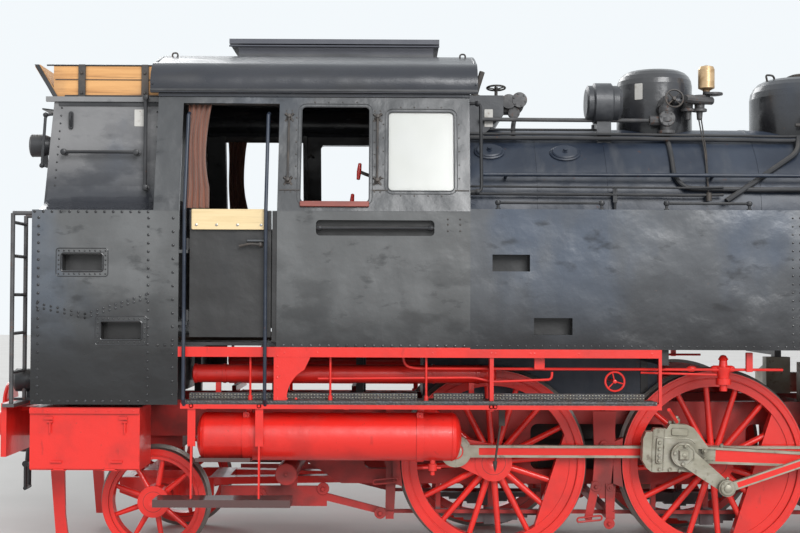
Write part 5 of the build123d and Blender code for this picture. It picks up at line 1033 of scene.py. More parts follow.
    def place(self) -> bpy.types.Object:
        """Makes the object, dresses it and hangs it on its body."""
        bmesh.ops.recalc_face_normals(self.mesh, faces=self.mesh.faces)
        data = bpy.data.meshes.new(self.title)
        self.mesh.to_mesh(data)
        self.mesh.free()
        data.polygons.foreach_set("use_smooth", [True] * len(data.polygons))
        data.set_sharp_from_angle(angle=SHARP_ANGLE)
        data.materials.append(self.finish.material())
        made = bpy.data.objects.new(self.title, data)
        bpy.context.scene.collection.objects.link(made)
        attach(made, self.body.value)
        log.info("%s: %d faces on %s", self.title, len(data.polygons), self.body.value)
        return made


@dataclass
class Coats:
    """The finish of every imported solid."""

    driver_z: float = 0.75
    truck_z: float = 0.425
    driver_rings: Point = (0.7475, 0.686, 0.092)
    truck_rings: Point = (0.4225, 0.368, 0.078)
    drivers: tuple[tuple[str, float], ...] = (
        ("rear_coupled_wheelset", -1.8), ("driving_wheelset", 0.0), ("front_coupled_wheelset", 1.8),
    )
    trucks: tuple[tuple[str, float], ...] = (("trailing_wheelset", -4.56), ("leading_wheelset", 4.56))
    groups: tuple[tuple[Finish, str], ...] = (
        (TANK_BLACK, "side_tanks right_tank_lid left_tank_lid"),
        (CAB_BLACK, "cab_sides right_cab_door left_cab_door rear_tank"),
        (COAL_BLACK, "coal_bunker"),
        (DOME_BLACK, "domes"),
        (BOILER_BLACK, "boiler chimney feedwater_heater handrails"),
        (FITTING_BLACK, "boiler_fittings"),
        (SATIN_BLACK, "cab_end_walls headlamps cylinders cab_floor pumps draw_gear"),
        (GREY_PIPE, "rear_ladders"),
        (SOOTY_BLACK, "smokebox smokebox_door ashpan"),
        (ROOF_GREY, "cab_roof"),
        (GEAR_RED, "leading_truck trailing_truck buffer_beams buffers air_reservoirs toolbox toolbox_flap"),
        (STEP_RED, "running_boards"),
        (DULL_RED, "main_frame frame_stretchers brake_rigging"),
        (SPRING_RED, "axle_boxes"),
        (ROD_STEEL, "slide_bars right_crosshead left_crosshead"),
        (PALE_BOARDS, "bunker_boards"),
        (VARNISHED_WOOD, "crew_seats"),
        (DARK_IRON, "cab_controls"),
        (WINDOW_GLASS, "cab_windows"),
    )

    @staticmethod
    def wheel_red(name: str, x: float, z: float, rings: Point) -> Finish:
        """Red wheel paint with a bare tread, a dark groove inside the tyre and an oily axle end.

        Args:
            name: Name of the wheelset.
            x: Axle's x.
            z: Axle's height.
            rings: Radii where the bare tread, the groove and the axle end's edge begin.

        Returns:
            The finish.
        """
        rim, groove, hub = rings
        worn = (
            Layer((0.2, 0.185, 0.17), (Ring(x, z, rim, rim + 0.2),), 1.0, roughness=0.36, metallic=0.7),
            Layer((0.07, 0.012, 0.01), (Ring(x, z, groove, groove + 0.004),), 0.85, roughness=0.6),
            Layer((0.09, 0.02, 0.016), (Ring(x, z, hub, hub + 0.004),), 0.8, roughness=0.6),
        )
        return replace(GEAR_RED, title=f"{name}_paint", layers=GEAR_RED.layers + worn)

    def table(self) -> dict[str, Finish]:
        """Each solid's name with its finish."""
        found = {name: finish for finish, names in self.groups for name in names.split()}
        found |= {name: self.wheel_red(name, x, self.driver_z, self.driver_rings) for name, x in self.drivers}
        found |= {name: self.wheel_red(name, x, self.truck_z, self.truck_rings) for name, x in self.trucks}
        motion = Motion()
        for side in Side:
            found[f"{side.label}_coupling_rod"] = motion.side_rod_paint(side)
            found[f"{side.label}_main_rod"] = motion.rod_paint(side)
        found["valve_gear"] = motion.gear_paint()
        return found

    def build(self) -> None:
        """Gives each solid its finish."""
        table = self.table()
        for name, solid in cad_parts.items():
            material = table[name].material()
            if not solid.material_slots:
                solid.data.materials.append(material)
            for slot in solid.material_slots:
                slot.material = material
        log.info("finished %d solids", len(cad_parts))


@dataclass
class BodyShape:
    """The side sheets' shape, which several assemblies stand on."""

    half: float = 1.5
    top_half: float = 1.3
    belt: float = 2.752
    eaves: float = 3.662

    def out(self, z: float) -> float:
        """How far out the cab side's face stands at a height."""
        if z <= self.belt:
            return self.half
        return self.half - (z - self.belt) * (self.half - self.top_half) / (self.eaves - self.belt)

    def up(self, side: Side) -> Point:
        """The direction up the leaning upper side."""
        return (0.0, side.value * (self.top_half - self.half), self.eaves - self.belt)

    def outward(self, side: Side) -> Point:
        """The direction that the upper side faces."""
        return (0.0, side.value * (self.eaves - self.belt), self.half - self.top_half)


BODY = BodyShape()


@dataclass
class SideTanks:
    """Rivets and rails of the two side tanks."""

    foot_row: Row = Row((-1.98, 1.722), (2.32, 1.722), 0.062, 0.008)
    seams: tuple[float, ...] = (0.469, 2.3)
    seam_half: float = 0.028
    seam_z: Flat = (1.757, 2.711)
    seam_rivet: float = 0.009
    rails: tuple[Flat, ...] = ((-1.819, -1.021), (-0.522, 0.115), (0.62, 1.42))
    rail_out: float = 1.47
    rail_z: float = 2.822
    rail_radius: float = 0.011
    top: float = 2.771
    post_pitch: float = 0.8
    post: Profile = (
        (-0.004, 0.02), (0.008, 0.02), (0.012, 0.011), (0.032, 0.011), (0.038, 0.02), (0.052, 0.024), (0.066, 0.02),
        (0.073, 0.0),
    )

    def build(self) -> None:
        """Makes the tanks' rivets and rails on both sides."""
        low, high = self.seam_z
        columns = [
            Row((x + shift, low), (x + shift, high), self.foot_row.pitch, self.seam_rivet)
            for x in self.seams for shift in (-self.seam_half, self.seam_half)
        ]
        for side in Side:
            side.piece("tank_rivets", GLOSS_BLACK).rows((self.foot_row, *columns), side, BODY.half).place()
            rails = side.piece("tank_rails", SATIN_BLACK)
            for start, end in self.rails:
                rails.tube([side.at(x, self.rail_out, self.rail_z) for x in (start, end)], self.rail_radius)
                feet = [side.at(x, self.rail_out, self.top) for x in (start, end)]
                for foot in spaced(*feet, self.post_pitch):
                    rails.turn(foot, UP, self.post, 12)
            rails.place()


@dataclass
class CabSides:
    """Window frames, sills, rivets and curtains of the cab sides."""

    windows_at: tuple[tuple[Flat, Flat], ...] = (
        ((-3.075, 3.1975), (0.522, 0.767)), ((-2.4095, 3.2235), (0.503, 0.635)),
    )
    corner: float = 0.03
    lips: tuple[Flat, ...] = ((0.004, 0.0045), (0.028, 0.003))
    screw_ring: float = 0.085
    screw_pitch: float = 0.105
    shortest_row: float = 0.2
    screw_radius: float = 0.0065
    sill_drop: float = 0.012
    sill_size: Point = (0.01, 0.04, 0.022)
    foot_rows: tuple[Row, ...] = (
        Row((-3.46, 1.72), (-2.08, 1.72), 0.07, 0.013), Row((-4.42, 1.72), (-4.31, 1.72), 0.07, 0.013),
    )
    curtain_x: Flat = (-4.236, -4.05)
    curtain_z: Flat = (2.775, 3.6)
    curtain_in: float = 0.075
    curtain_folds: int = 4
    curtain_depth: float = 0.022
    curtain_grid: tuple[int, int] = (48, 36)
    rod_x: Flat = (-4.266, -3.521)
    rod_lift: float = 0.004
    rod_radius: float = 0.007

    def build(self) -> None:
        """Dresses both sides of the cab."""
        for side in Side:
            self.windows(side)
            side.piece("cab_rivets", GLOSS_BLACK).rows(self.foot_rows, side, BODY.half).place()
            self.curtain(side)

    def windows(self, side: Side) -> None:
        """Frames and screws of the two windows, and the sill of the first."""
        frames = side.piece("window_frames", CAB_BLACK)
        fixings = side.piece("window_screws", DARK_IRON)
        sills = side.piece("window_sills", SILL_RED)
        up = Vector(BODY.up(side)).normalized()

        def laid(middle: Vector, outline: Iterable[Flat]) -> list[Point]:
            """An outline laid on the leaning side about a point."""
            return [tuple(middle + Vector((a, 0.0, 0.0)) + up * b) for a, b in outline]

        for (x, z), (wide, high) in self.windows_at:
            middle = Vector(side.at(x, BODY.out(z) + 0.002, z))
            for grow, radius in self.lips:
                outline = rounded_outline(wide + 2 * grow, high + 2 * grow, self.corner + grow)
                frames.tube(laid(middle, outline), radius, sides=6, closed=True)
            grow = self.screw_ring
            corners = laid(middle, rounded_outline(wide + grow, high + grow, self.corner, 1))
            for a, b in zip(corners, corners[1:] + corners[:1]):
                if (Vector(b) - Vector(a)).length > self.shortest_row:
                    fixings.rivets(spaced(a, b, self.screw_pitch)[1:-1], BODY.outward(side), self.screw_radius)
        (x, z), (wide, high) = self.windows_at[0]
        foot = z - high / 2 - self.sill_drop
        grow, tall, thick = self.sill_size
        outline = rounded_outline(wide + grow, tall, 0.006, 2)
        sills.slab(side.at(x, BODY.out(foot) + 0.004, foot), side.right, tuple(up), outline, thick, 0.004)
        for piece in (frames, fixings, sills):
            piece.place()

    def curtain(self, side: Side) -> None:
        """The brown curtain that hangs gathered at the rear of the doorway, and its rod."""
        data = bpy.data.meshes.new(f"{side.label}_curtain")
        made = bpy.data.objects.new(data.name, data)
        across, along = self.curtain_grid
        rear, front = self.curtain_x
        low, high = self.curtain_z
        points = []
        for row in range(along + 1):
            v = row / along
            z = high - v * (high - low)
            narrow = 1.0 - 0.22 * math.sin(math.pi * min(1.0, v * 1.25))
            for column in range(across + 1):
                u = column / across
                turn = 2 * math.pi * self.curtain_folds * u
                wave = math.sin(turn + 0.7 * math.sin(3.1 * v)) + 0.3 * math.sin(2 * turn + 2.0 * v)
                depth = self.curtain_depth * (0.65 + 0.35 * v) * wave
                x = rear + (front - rear) * u * narrow + 0.004 * math.sin(9.0 * v + 5.0 * u)
                points.append(side.at(x, BODY.out(z) - self.curtain_in - depth, z))
        corners = [row * (across + 1) + column for row in range(along) for column in range(across)]
        data.from_pydata(points, [], [(a, a + 1, a + across + 2, a + across + 1) for a in corners])
        data.polygons.foreach_set("use_smooth", [True] * len(data.polygons))
        data.materials.append(CURTAIN_CLOTH.material())
        bpy.context.scene.collection.objects.link(made)
        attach(made, Body.LOCOMOTIVE.value)
        rod = side.piece("curtain_rod", DARK_IRON)
        top = BODY.out(high) - self.curtain_in
        rail = rod.tube([side.at(x, top, high + self.rod_lift) for x in self.rod_x], self.rod_radius).place()
        flat = sum((Vector(b) - Vector(a)).length for a, b in zip(points, points[1:across + 1]))


@dataclass
class Bunker:
    """Straps and irons of the boards, flare, rivets, rails, plates and lamp fittings of the bunker."""

    out: float = 1.1
    strap_x: Flat = (-5.108, -4.606)
    strap_size: Point = (0.056, 0.296, 0.012)
    strap_z: float = 3.789
    strap_bolts: Flat = (3.709, 3.869)
    angle_at: Flat = (-4.88, 3.641)
    angle_size: Point = (0.82, 0.07, 0.011)
    angle_row: Row = Row((-5.23, 3.64), (-4.53, 3.64), 0.128, 0.009)
    flare_run: float = 0.385
    flare_rise: float = 0.215
    flare_x: Flat = (-5.372, -4.462)
    board_iron: Profile = ((-5.489, 3.936), (-5.452, 3.936), (-5.3, 3.676), (-5.338, 3.676))
    board_lines: tuple[Run, ...] = (
        Run(0.004, ((-5.321, 1.101, 3.816), (-4.47, 1.101, 3.816)), sides=6),
        Run(0.007, ((-5.39, 1.101, 3.931), (-4.47, 1.101, 3.931)), sides=6),
        Run(0.006, ((-5.2442, 1.101, 3.688), (-4.47, 1.101, 3.688)), sides=6),
    )
    face_rows: tuple[Row, ...] = (
        Row((-5.367, 2.737), (-4.5, 2.737), 0.065, 0.012), Row((-5.367, 1.29), (-4.5, 1.29), 0.065, 0.012),
        Row((-5.335, 1.34), (-5.335, 2.69), 0.065, 0.012), Row((-4.496, 1.34), (-4.496, 2.69), 0.065, 0.012),
        Row((-4.308, 1.34), (-4.308, 2.69), 0.107, 0.012),
        Row((-5.34, 2.035), (-4.975, 1.955), 0.05, 0.011), Row((-4.975, 1.955), (-4.51, 2.105), 0.05, 0.011),
        Row((-5.34, 2.005), (-4.975, 1.925), 0.05, 0.011), Row((-4.975, 1.925), (-4.51, 2.075), 0.05, 0.011),
    )
    upper_rows: tuple[Row, ...] = (
        Row((-5.268, 3.59), (-5.318, 2.97), 0.061, 0.009), Row((-4.508, 3.56), (-4.508, 2.85), 0.12, 0.009),
    )
    recesses: tuple[Four, ...] = (
        (-5.154, -4.848, 2.287, 2.412), (-4.852, -4.546, 1.765, 1.894),
    )
    recess_row: float = 0.026
    recess_pitch: float = 0.038
    recess_lips: tuple[Flat, ...] = ((0.008, 0.006), (0.045, 0.0035))
    rails_at: tuple[Run, ...] = (
        Run(0.013, ((-5.235, 1.17, 3.232), (-4.66, 1.17, 3.232))),
        Run(0.015, ((-4.588, 1.17, 2.952), (-4.588, 1.17, 3.664))),
    )
    posts: tuple[Flat, ...] = ((-5.235, 3.232), (-4.66, 3.232), (-4.588, 2.952), (-4.588, 3.664))
    post: Profile = (
        (-0.006, 0.024), (0.008, 0.024), (0.012, 0.012), (0.045, 0.012), (0.052, 0.022), (0.07, 0.026), (0.088, 0.022),
        (0.096, 0.0),
    )
    hasp_at: Flat = (-5.193, 3.49)
    hasp_loop: Run = Run(0.009, ((-5.193, 1.114, 3.545), (-5.193, 1.15, 3.5), (-5.193, 1.114, 3.44)), 0.03)
    plate_at: Flat = (-4.65, 3.512)
    plate_size: Point = (0.08, 0.135, 0.003)
    hood_at: Point = (-5.392, 0.9, 3.59)
    lamp_rail: Run = Run(
        0.012, ((-5.345, 1.06, 3.545), (-5.4, 1.09, 3.535), (-5.425, 1.09, 3.13), (-5.35, 1.06, 3.12)), 0.05,
    )
    lamp_knobs: tuple[Point, ...] = ((-5.4, 1.09, 3.513), (-5.425, 1.09, 3.108))
    back_x: float = -5.389
    back_rows: tuple[Row, ...] = (
        Row((0.06, 2.72), (1.44, 2.72), 0.069, 0.01), Row((0.06, 1.3), (1.44, 1.3), 0.069, 0.01),
        Row((1.465, 1.34), (1.465, 2.68), 0.067, 0.01), Row((0.5, 1.36), (0.5, 2.66), 0.1, 0.01),
    )

    def build(self) -> None:
        """Dresses both sides and the back of the bunker."""
        for side in Side:
            self.straps(side)
            self.flare(side)
            self.board_ends(side)
            self.rivets(side)
            self.rails(side)
        self.back()

    def straps(self, side: Side) -> None:
        """Iron straps over the side boards, and the angle under them."""
        straps = side.piece("board_straps", DARK_IRON)
        for x in self.strap_x:
            straps.plate(side.at(x, self.out + 0.004, self.strap_z), side, self.strap_size)
            straps.bolts([side.at(x, self.out + 0.016, z) for z in self.strap_bolts], side.outward, 0.022)
        straps.place()
        x, z = self.angle_at
        strip = side.piece("bunker_angle", SATIN_BLACK).plate(side.at(x, self.out, z), side, self.angle_size)
        strip.rows((self.angle_row,), side, self.out + self.angle_size[2]).place()

    def flare(self, side: Side) -> None:
        """The hollow curve where the upper sheet runs out onto the tank below."""
        foot, back = BODY.belt, self.out - 0.01
        section = [
            (self.out + self.flare_run * (1 - math.cos(t)), foot + self.flare_rise * (1 - math.sin(t)))
            for t in arc_turns(0.0, 90.0, 10)
        ]
        section += [(self.out + self.flare_run, foot), (back, foot), (back, foot + self.flare_rise)]
        rings = [[Vector(side.at(x, out, z)) for out, z in section] for x in self.flare_x]
        side.piece("bunker_flare", COAL_BLACK).skin(rings).place()

    def board_ends(self, side: Side) -> None:
        """The iron bar on the slanting end of the side boards, and the dark edges and joint of the boards."""
        bar = [(-side.value * x, z) for x, z in self.board_iron]
        iron = side.piece("board_irons", SATIN_BLACK)
        iron.slab(side.at(0.0, self.out - 0.03, 0.0), side.right, UP, bar, 0.036, 0.001)
        iron.runs(self.board_lines, side).place()

    def rivets(self, side: Side) -> None:
        """Rivet rows of the tank below, of its step recesses and of the upper sheet's edge, and the recesses' lips."""
        rows = side.piece("bunker_rivets", GLOSS_BLACK).rows(self.face_rows, side, BODY.half)
        frames = side.piece("recess_frames", GLOSS_BLACK)
        for x0, x1, z0, z1 in self.recesses:
            grow = self.recess_row
            left, right, low, high = x0 - grow, x1 + grow, z0 - grow, z1 + grow
            corners = [side.at(x, BODY.half, z) for x, z in ((left, low), (right, low), (right, high), (left, high))]
            for a, b in zip(corners, corners[1:] + corners[:1]):
                rows.rivets(spaced(a, b, self.recess_pitch)[:-1], side.outward, 0.008)
            for grow, wire in self.recess_lips:
                ring = rounded_outline(x1 - x0 + 2 * grow, z1 - z0 + 2 * grow, 0.022)
                path = [side.at((x0 + x1) / 2 + a, BODY.half, (z0 + z1) / 2 + b) for a, b in ring]
                frames.tube(path, wire, sides=6, closed=True)
        rows.rows(self.upper_rows, side, self.out).place()
        frames.place()

    def rails(self, side: Side) -> None:
        """Hand rails with ball posts, the hasp and the blank plate of the upper sheet."""
        rails = side.piece("bunker_rails", SATIN_BLACK).runs(self.rails_at, side)
        for x, z in self.posts:
            rails.turn(side.at(x, self.out, z), side.outward, self.post, 14)
        x, z = self.hasp_at
        rails.plate(side.at(x, self.out, z), side, (0.035, 0.14, 0.016), 0.015, 4).runs((self.hasp_loop,), side).place()
        x, z = self.plate_at
        plate = side.piece("bunker_plate", WHITE_PLATE)
        plate.plate(side.at(x, self.out, z), side, self.plate_size, edge=0.001).place()

    def back(self) -> None:
        """Lamp hoods, rails and rivets of the rear."""
        hood = Piece("rear_lamp_hoods", SATIN_BLACK)
        rivets = Piece("bunker_back_rivets", GLOSS_BLACK)
        for side in Side:
            hood.slab(side.at(*self.hood_at), RIGHTWARD, (-1.0, 0.0, 0.12), rounded_outline(0.26, 0.115, 0.02), 0.008)
            hood.runs((self.lamp_rail,), side)
            for foot in self.lamp_knobs:
                hood.turn(
                    side.at(*foot), UP, ((0.0, 0.0), (0.008, 0.017), (0.022, 0.022), (0.036, 0.017), (0.044, 0.0)), 12,
                )
            for row in self.back_rows:
                ends = [side.at(self.back_x, out, z) for out, z in (row.start, row.end)]
                rivets.rivets(spaced(*ends, row.pitch), ASTERN, row.radius)
        hood.place()
        rivets.place()


@dataclass
class CabFittings:
    """Rods, seams, slot bar, door board, gutter and jamb of the cab's sides."""

    rods_x: Flat = (-3.436, -2.748)
    rod_z: Flat = (2.985, 3.49)
    rod_lift: float = 0.036
    star: float = 0.045
    star_boss: Profile = (
        (-0.004, 0.024), (0.012, 0.024), (0.016, 0.014), (0.034, 0.014), (0.04, 0.018), (0.05, 0.014), (0.054, 0.0),
    )
    seam_z: float = 2.913
    seams: tuple[Flat, ...] = ((-3.5, -3.345), (-2.79, -2.665), (-2.15, -2.04))
    side_rivets: tuple[Flat, ...] = tuple((x, z) for x in (-2.205, -2.11) for z in (2.6, 2.65, 2.69))
    slot_x: Flat = (-3.19, -2.335)
    slot_z: float = 2.622
    slot_out: float = 1.495
    slot_knob: Profile = ((0.0, 0.0), (0.006, 0.016), (0.024, 0.022), (0.042, 0.016), (0.048, 0.0))
    board_at: Flat = (-3.88, 2.6835)
    board_size: Point = (0.576, 0.157, 0.022)
    screw_x: tuple[float, ...] = (-4.13, -3.975, -3.815, -3.635)
    screw_z: float = 2.64
    handle_at: Flat = (-3.64, 2.49)
    handle_boss: Profile = ((0.0, 0.02), (0.034, 0.02), (0.04, 0.012), (0.06, 0.012), (0.064, 0.0))
    handle: tuple[Point, ...] = ((0.0, 0.022, 0.0), (-0.08, 0.026, 0.006), (-0.16, 0.02, -0.012))
    gutter: Run = Run(0.017, ((-4.52, 1.334, 3.699), (-1.97, 1.334, 3.699)), sides=6)
    jamb_at: Point = (-3.531, 1.476, 2.248)
    jamb_size: Point = (0.04, 1.006, 0.01)

    def build(self) -> None:
        """Dresses both sides."""
        for side in Side:
            self.rods(side)
            self.slot_bar(side)
            self.door_board(side)
            side.piece("gutter", SATIN_BLACK).runs((self.gutter,), side).place()
            side.piece("door_jamb", CAB_BLACK).plate(side.at(*self.jamb_at), side, self.jamb_size, 0.002).place()

    def rods(self, side: Side) -> None:
        """Vertical grab rods with star brackets, seams and bolts."""
        facing = BODY.outward(side)
        rods = side.piece("cab_rods", DARK_IRON)
        for x in self.rods_x:
            rods.tube([side.at(x, BODY.out(z) + self.rod_lift, z) for z in self.rod_z], 0.008)
            for z in self.rod_z:
                foot = Vector(side.at(x, BODY.out(z), z))
                for angle in arc_turns(45.0, 315.0, 3):
                    reach = Vector((math.cos(angle), 0.0, math.sin(angle))) * self.star
                    rods.tube([tuple(foot), tuple(foot + reach)], 0.011, sides=6)
                rods.turn(tuple(foot), facing, self.star_boss, 12)
            pairs = [side.at(x + dx, BODY.out(z), z) for z in (3.545, 2.9) for dx in (-0.022, 0.022)]
            rods.rivets(pairs, facing, 0.007)
        for seam in self.seams:
            rods.tube([side.at(x, BODY.out(self.seam_z), self.seam_z) for x in seam], 0.006, sides=6)
        rods.rivets([side.at(x, BODY.half, z) for x, z in self.side_rivets], side.outward, 0.009).place()

    def slot_bar(self, side: Side) -> None:
        """The bar in the long slot."""
        out, z = self.slot_out, self.slot_z
        bar = side.piece("slot_bar", SATIN_BLACK).tube([side.at(x, out, z) for x in self.slot_x], 0.012)
        for x in self.slot_x:
            bar.turn(side.at(x - 0.024, out, z), AHEAD, self.slot_knob, 14)
            bar.tube([side.at(x, out, z), side.at(x, out - 0.06, z)], 0.012)
        bar.place()

    def door_board(self, side: Side) -> None:
        """The pale board on top of the door, its screws and the door's handle."""
        body = side.pick(Body.RIGHT_DOOR, Body.LEFT_DOOR)
        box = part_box(f"{side.label}_cab_door")
        out = max(abs(box[0].y), abs(box[1].y)) - 0.004
        x, z = self.board_at
        board = side.piece("door_board", LIGHT_BOARD, body)
        board.plate(side.at(x, out - 0.012, z), side, self.board_size, 0.008, edge=0.004).place()
        screws = side.piece("door_screws", BRIGHT_STEEL, body)
        screws.rivets([side.at(x, out + 0.009, self.screw_z) for x in self.screw_x], side.outward, 0.013).place()
        x, z = self.handle_at
        handle = side.piece("door_handle", DARK_IRON, body)
        handle.turn(side.at(x, out - 0.03, z), side.outward, self.handle_boss, 14)
        handle.tube([side.at(x + a, out + b, z + c) for a, b, c in self.handle], 0.01, bend=0.03).place()


@dataclass
class BoilerDress:
    """Wash-out covers, rails, pipes, valves and hand-wheels along the boiler."""

    radius: float = 0.8
    height: float = 2.77
    covers: tuple[Flat, ...] = ((-1.824, 3.311), (-1.191, 3.3))
    cover_half: Flat = (0.13, 0.092)
    bands: tuple[float, ...] = (-1.42, -0.84, 0.42, 1.62, 2.68)
    band_section: Profile = ((-0.022, -0.003), (-0.02, 0.004), (0.02, 0.004), (0.022, -0.003))
    band_turn: Flat = (-8.0, 188.0)
    band_steps: int = 48
    pipe_clips: tuple[float, ...] = (-0.812, 0.95)
    rail_foot_z: Flat = (3.652, 2.942)
    rail_foot: Profile = ((0.0, 0.0), (0.006, 0.018), (0.025, 0.025), (0.044, 0.018), (0.05, 0.0))
    upper_pipes: tuple[Run, ...] = (
        Run(0.012, ((-2.03, 0.5, 3.474), (-0.545, 0.5, 3.474), (0.675, 0.49, 3.464), (2.9, 0.5, 3.474)), 0.08),
        Run(0.018, ((-2.03, 0.52, 3.436), (-0.545, 0.52, 3.436), (0.675, 0.51, 3.426), (2.9, 0.52, 3.436)), 0.08),
        Run(0.009, ((-2.03, 0.84, 3.001), (-0.145, 0.84, 2.995), (0.075, 0.84, 3.001))),
        Run(0.012, ((-2.03, 0.84, 2.94), (-0.145, 0.84, 2.934), (0.075, 0.84, 2.94))),
    )
    cab_rail: Run = Run(
        0.014, ((-2.02, 1.02, 3.652), (-1.925, 1.02, 3.656), (-1.915, 1.02, 2.945), (-2.02, 1.02, 2.938)), 0.04,
    )
    bent_pipes: tuple[Run, ...] = (
        Run(0.021, (
            (-0.306, 0.45, 3.455), (-0.308, 0.625, 3.3), (-0.312, 0.77, 3.09), (-0.226, 0.805, 2.992),
            (0.4, 0.81, 2.985), (2.0, 0.84, 2.985),
        ), 0.09),
        Run(0.01, ((-1.85, 0.4, 3.524), (-0.85, 0.4, 3.524))),
        Run(0.024, ((0.8, 0.5, 3.46), (0.745, 0.63, 3.31), (0.089, 0.88, 2.885)), 0.08),
        Run(0.02, ((2.02, 1.0, 2.8), (2.02, 0.9, 2.98), (2.6, 0.86, 3.05)), 0.1),
    )
    stop_valve_at: Flat = (-0.312, -0.44)
    stop_valve: Profile = (
        (0.0, 0.05), (0.02, 0.05), (0.02, 0.075), (0.045, 0.075), (0.045, 0.048), (0.1, 0.052), (0.12, 0.075),
        (0.15, 0.075), (0.15, 0.055), (0.22, 0.062), (0.25, 0.055), (0.27, 0.03), (0.34, 0.026), (0.345, 0.0),
    )
    stop_valve_pipes: tuple[Run, ...] = (
        Run(0.042, ((-0.262, -0.44, 3.6), (-0.452, -0.44, 3.6))),
        Run(0.017, ((-0.412, -0.44, 3.6), (-1.895, -0.46, 3.602))),
        Run(0.05, ((-0.332, -0.38, 3.7), (-0.292, -0.28, 3.8))),
        Run(0.034, ((-0.152, -0.46, 3.785), (-0.012, -0.38, 3.785), (0.108, -0.32, 3.79)), 0.05),
    )
    whistle_x: Flat = (-0.1, 0.0)
    whistle_valve: Profile = (
        (-0.05, 0.05), (-0.03, 0.062), (-0.03, 0.045), (0.06, 0.042), (0.07, 0.062), (0.09, 0.062), (0.09, 0.028),
        (0.16, 0.022), (0.165, 0.0),
    )
    whistle_rods: tuple[Run, ...] = (
        Run(0.016, ((-0.268, -0.56, 3.772), (-0.225, -0.28, 3.765))),
        Run(0.006, ((-0.012, -0.33, 3.654), (-0.028, -0.64, 3.31), (-0.045, -0.83, 2.94))),
        Run(0.006, ((0.012, -0.33, 3.65), (-0.015, -0.63, 3.31), (-0.042, -0.82, 2.97))),
    )
    lid_handle: Run = Run(
        0.009, ((0.655, -0.1, 3.965), (0.63, -0.12, 4.05), (0.695, -0.12, 4.045), (0.72, -0.1, 3.99)), 0.02,
    )
    sand_taps: tuple[float, ...] = (0.86, 0.92, 0.98, 1.04, 1.1)
    sand_tap_out: float = 0.44
    sand_tap_z: float = 3.64
    sand_tap: Profile = ((0.0, 0.022), (0.04, 0.022), (0.045, 0.014), (0.06, 0.014), (0.062, 0.0))
    sand_pipe: tuple[Point, ...] = ((0.0, 0.47, 3.63), (0.6, 0.56, 3.46), (1.5, 0.72, 3.22), (2.0, 0.86, 2.92))
    air_pipe: Run = Run(0.016, ((0.77, 0.5, 3.56), (1.41, 0.5, 3.555)))

    def build(self) -> None:
        """Dresses the boiler's barrel and its fittings."""
        self.barrel()
        for side in Side:
            self.wash_outs(side)
            self.pipes(side)
        self.manifold()
        self.dome_valve()
        self.sanding()

    def barrel(self) -> None:
        """Cladding bands round the barrel."""
        bands = Piece("cladding_bands", BOILER_BLACK)
        turns = arc_turns(*self.band_turn, self.band_steps)
        for x in self.bands:
            loops = []
            for dx, lift in self.band_section:
                r = self.radius + lift
                ring = [(x + dx, r * math.cos(t), self.height + r * math.sin(t)) for t in turns]
                loops.append([bands.mesh.verts.new(point) for point in ring])
            for low, high in zip(loops, loops[1:]):
                for k in range(self.band_steps):
                    bands.mesh.faces.new((low[k], low[k + 1], high[k + 1], high[k]))
        bands.place()

    def wash_outs(self, side: Side) -> None:
        """Oval wash-out covers with a stud in the middle, let 4 mm into the barrel."""
        covers = side.piece("wash_out_covers", BOILER_BLACK)
        for x, z in self.covers:
            rise, share = z - self.height, 1 - 0.004 / self.radius
            out = math.sqrt(self.radius ** 2 - rise ** 2)
            foot = Vector(side.at(x, out * share, self.height + rise * share))
            up = (0.0, -side.value * rise, abs(foot.y))
            wide, high = self.cover_half
            for share, thick in ((1.0, 0.02), (0.86, 0.034)):
                oval = [(wide * share * math.cos(t), high * share * math.sin(t)) for t in round_turns(28)]
                covers.slab(tuple(foot), side.right, up, oval, thick, 0.008)
            facing = foot - Vector((x, 0.0, self.height))
            covers.bolts([tuple(foot + facing.normalized() * 0.034)], tuple(facing), 0.034)
        covers.place()

    def pipes(self, side: Side) -> None:
        """Pipes and rods along the barrel's side and over the tank's top, and the upright rail by the cab."""
        pipes = side.piece("boiler_pipes", SATIN_BLACK).runs(self.upper_pipes, side)
        for x in self.pipe_clips:
            pipes.tube([side.at(x, 0.83, 2.8), side.at(x, 0.84, 3.0)], 0.012)
            pipes.plate(side.at(x, 0.835, 2.93), side, (0.036, 0.12, 0.014))
        pipes.runs((self.cab_rail,), side)
        for z in self.rail_foot_z:
            pipes.turn(side.at(-1.975, 1.02, z), AHEAD, self.rail_foot, 14)
        pipes.runs(self.bent_pipes, side).place()

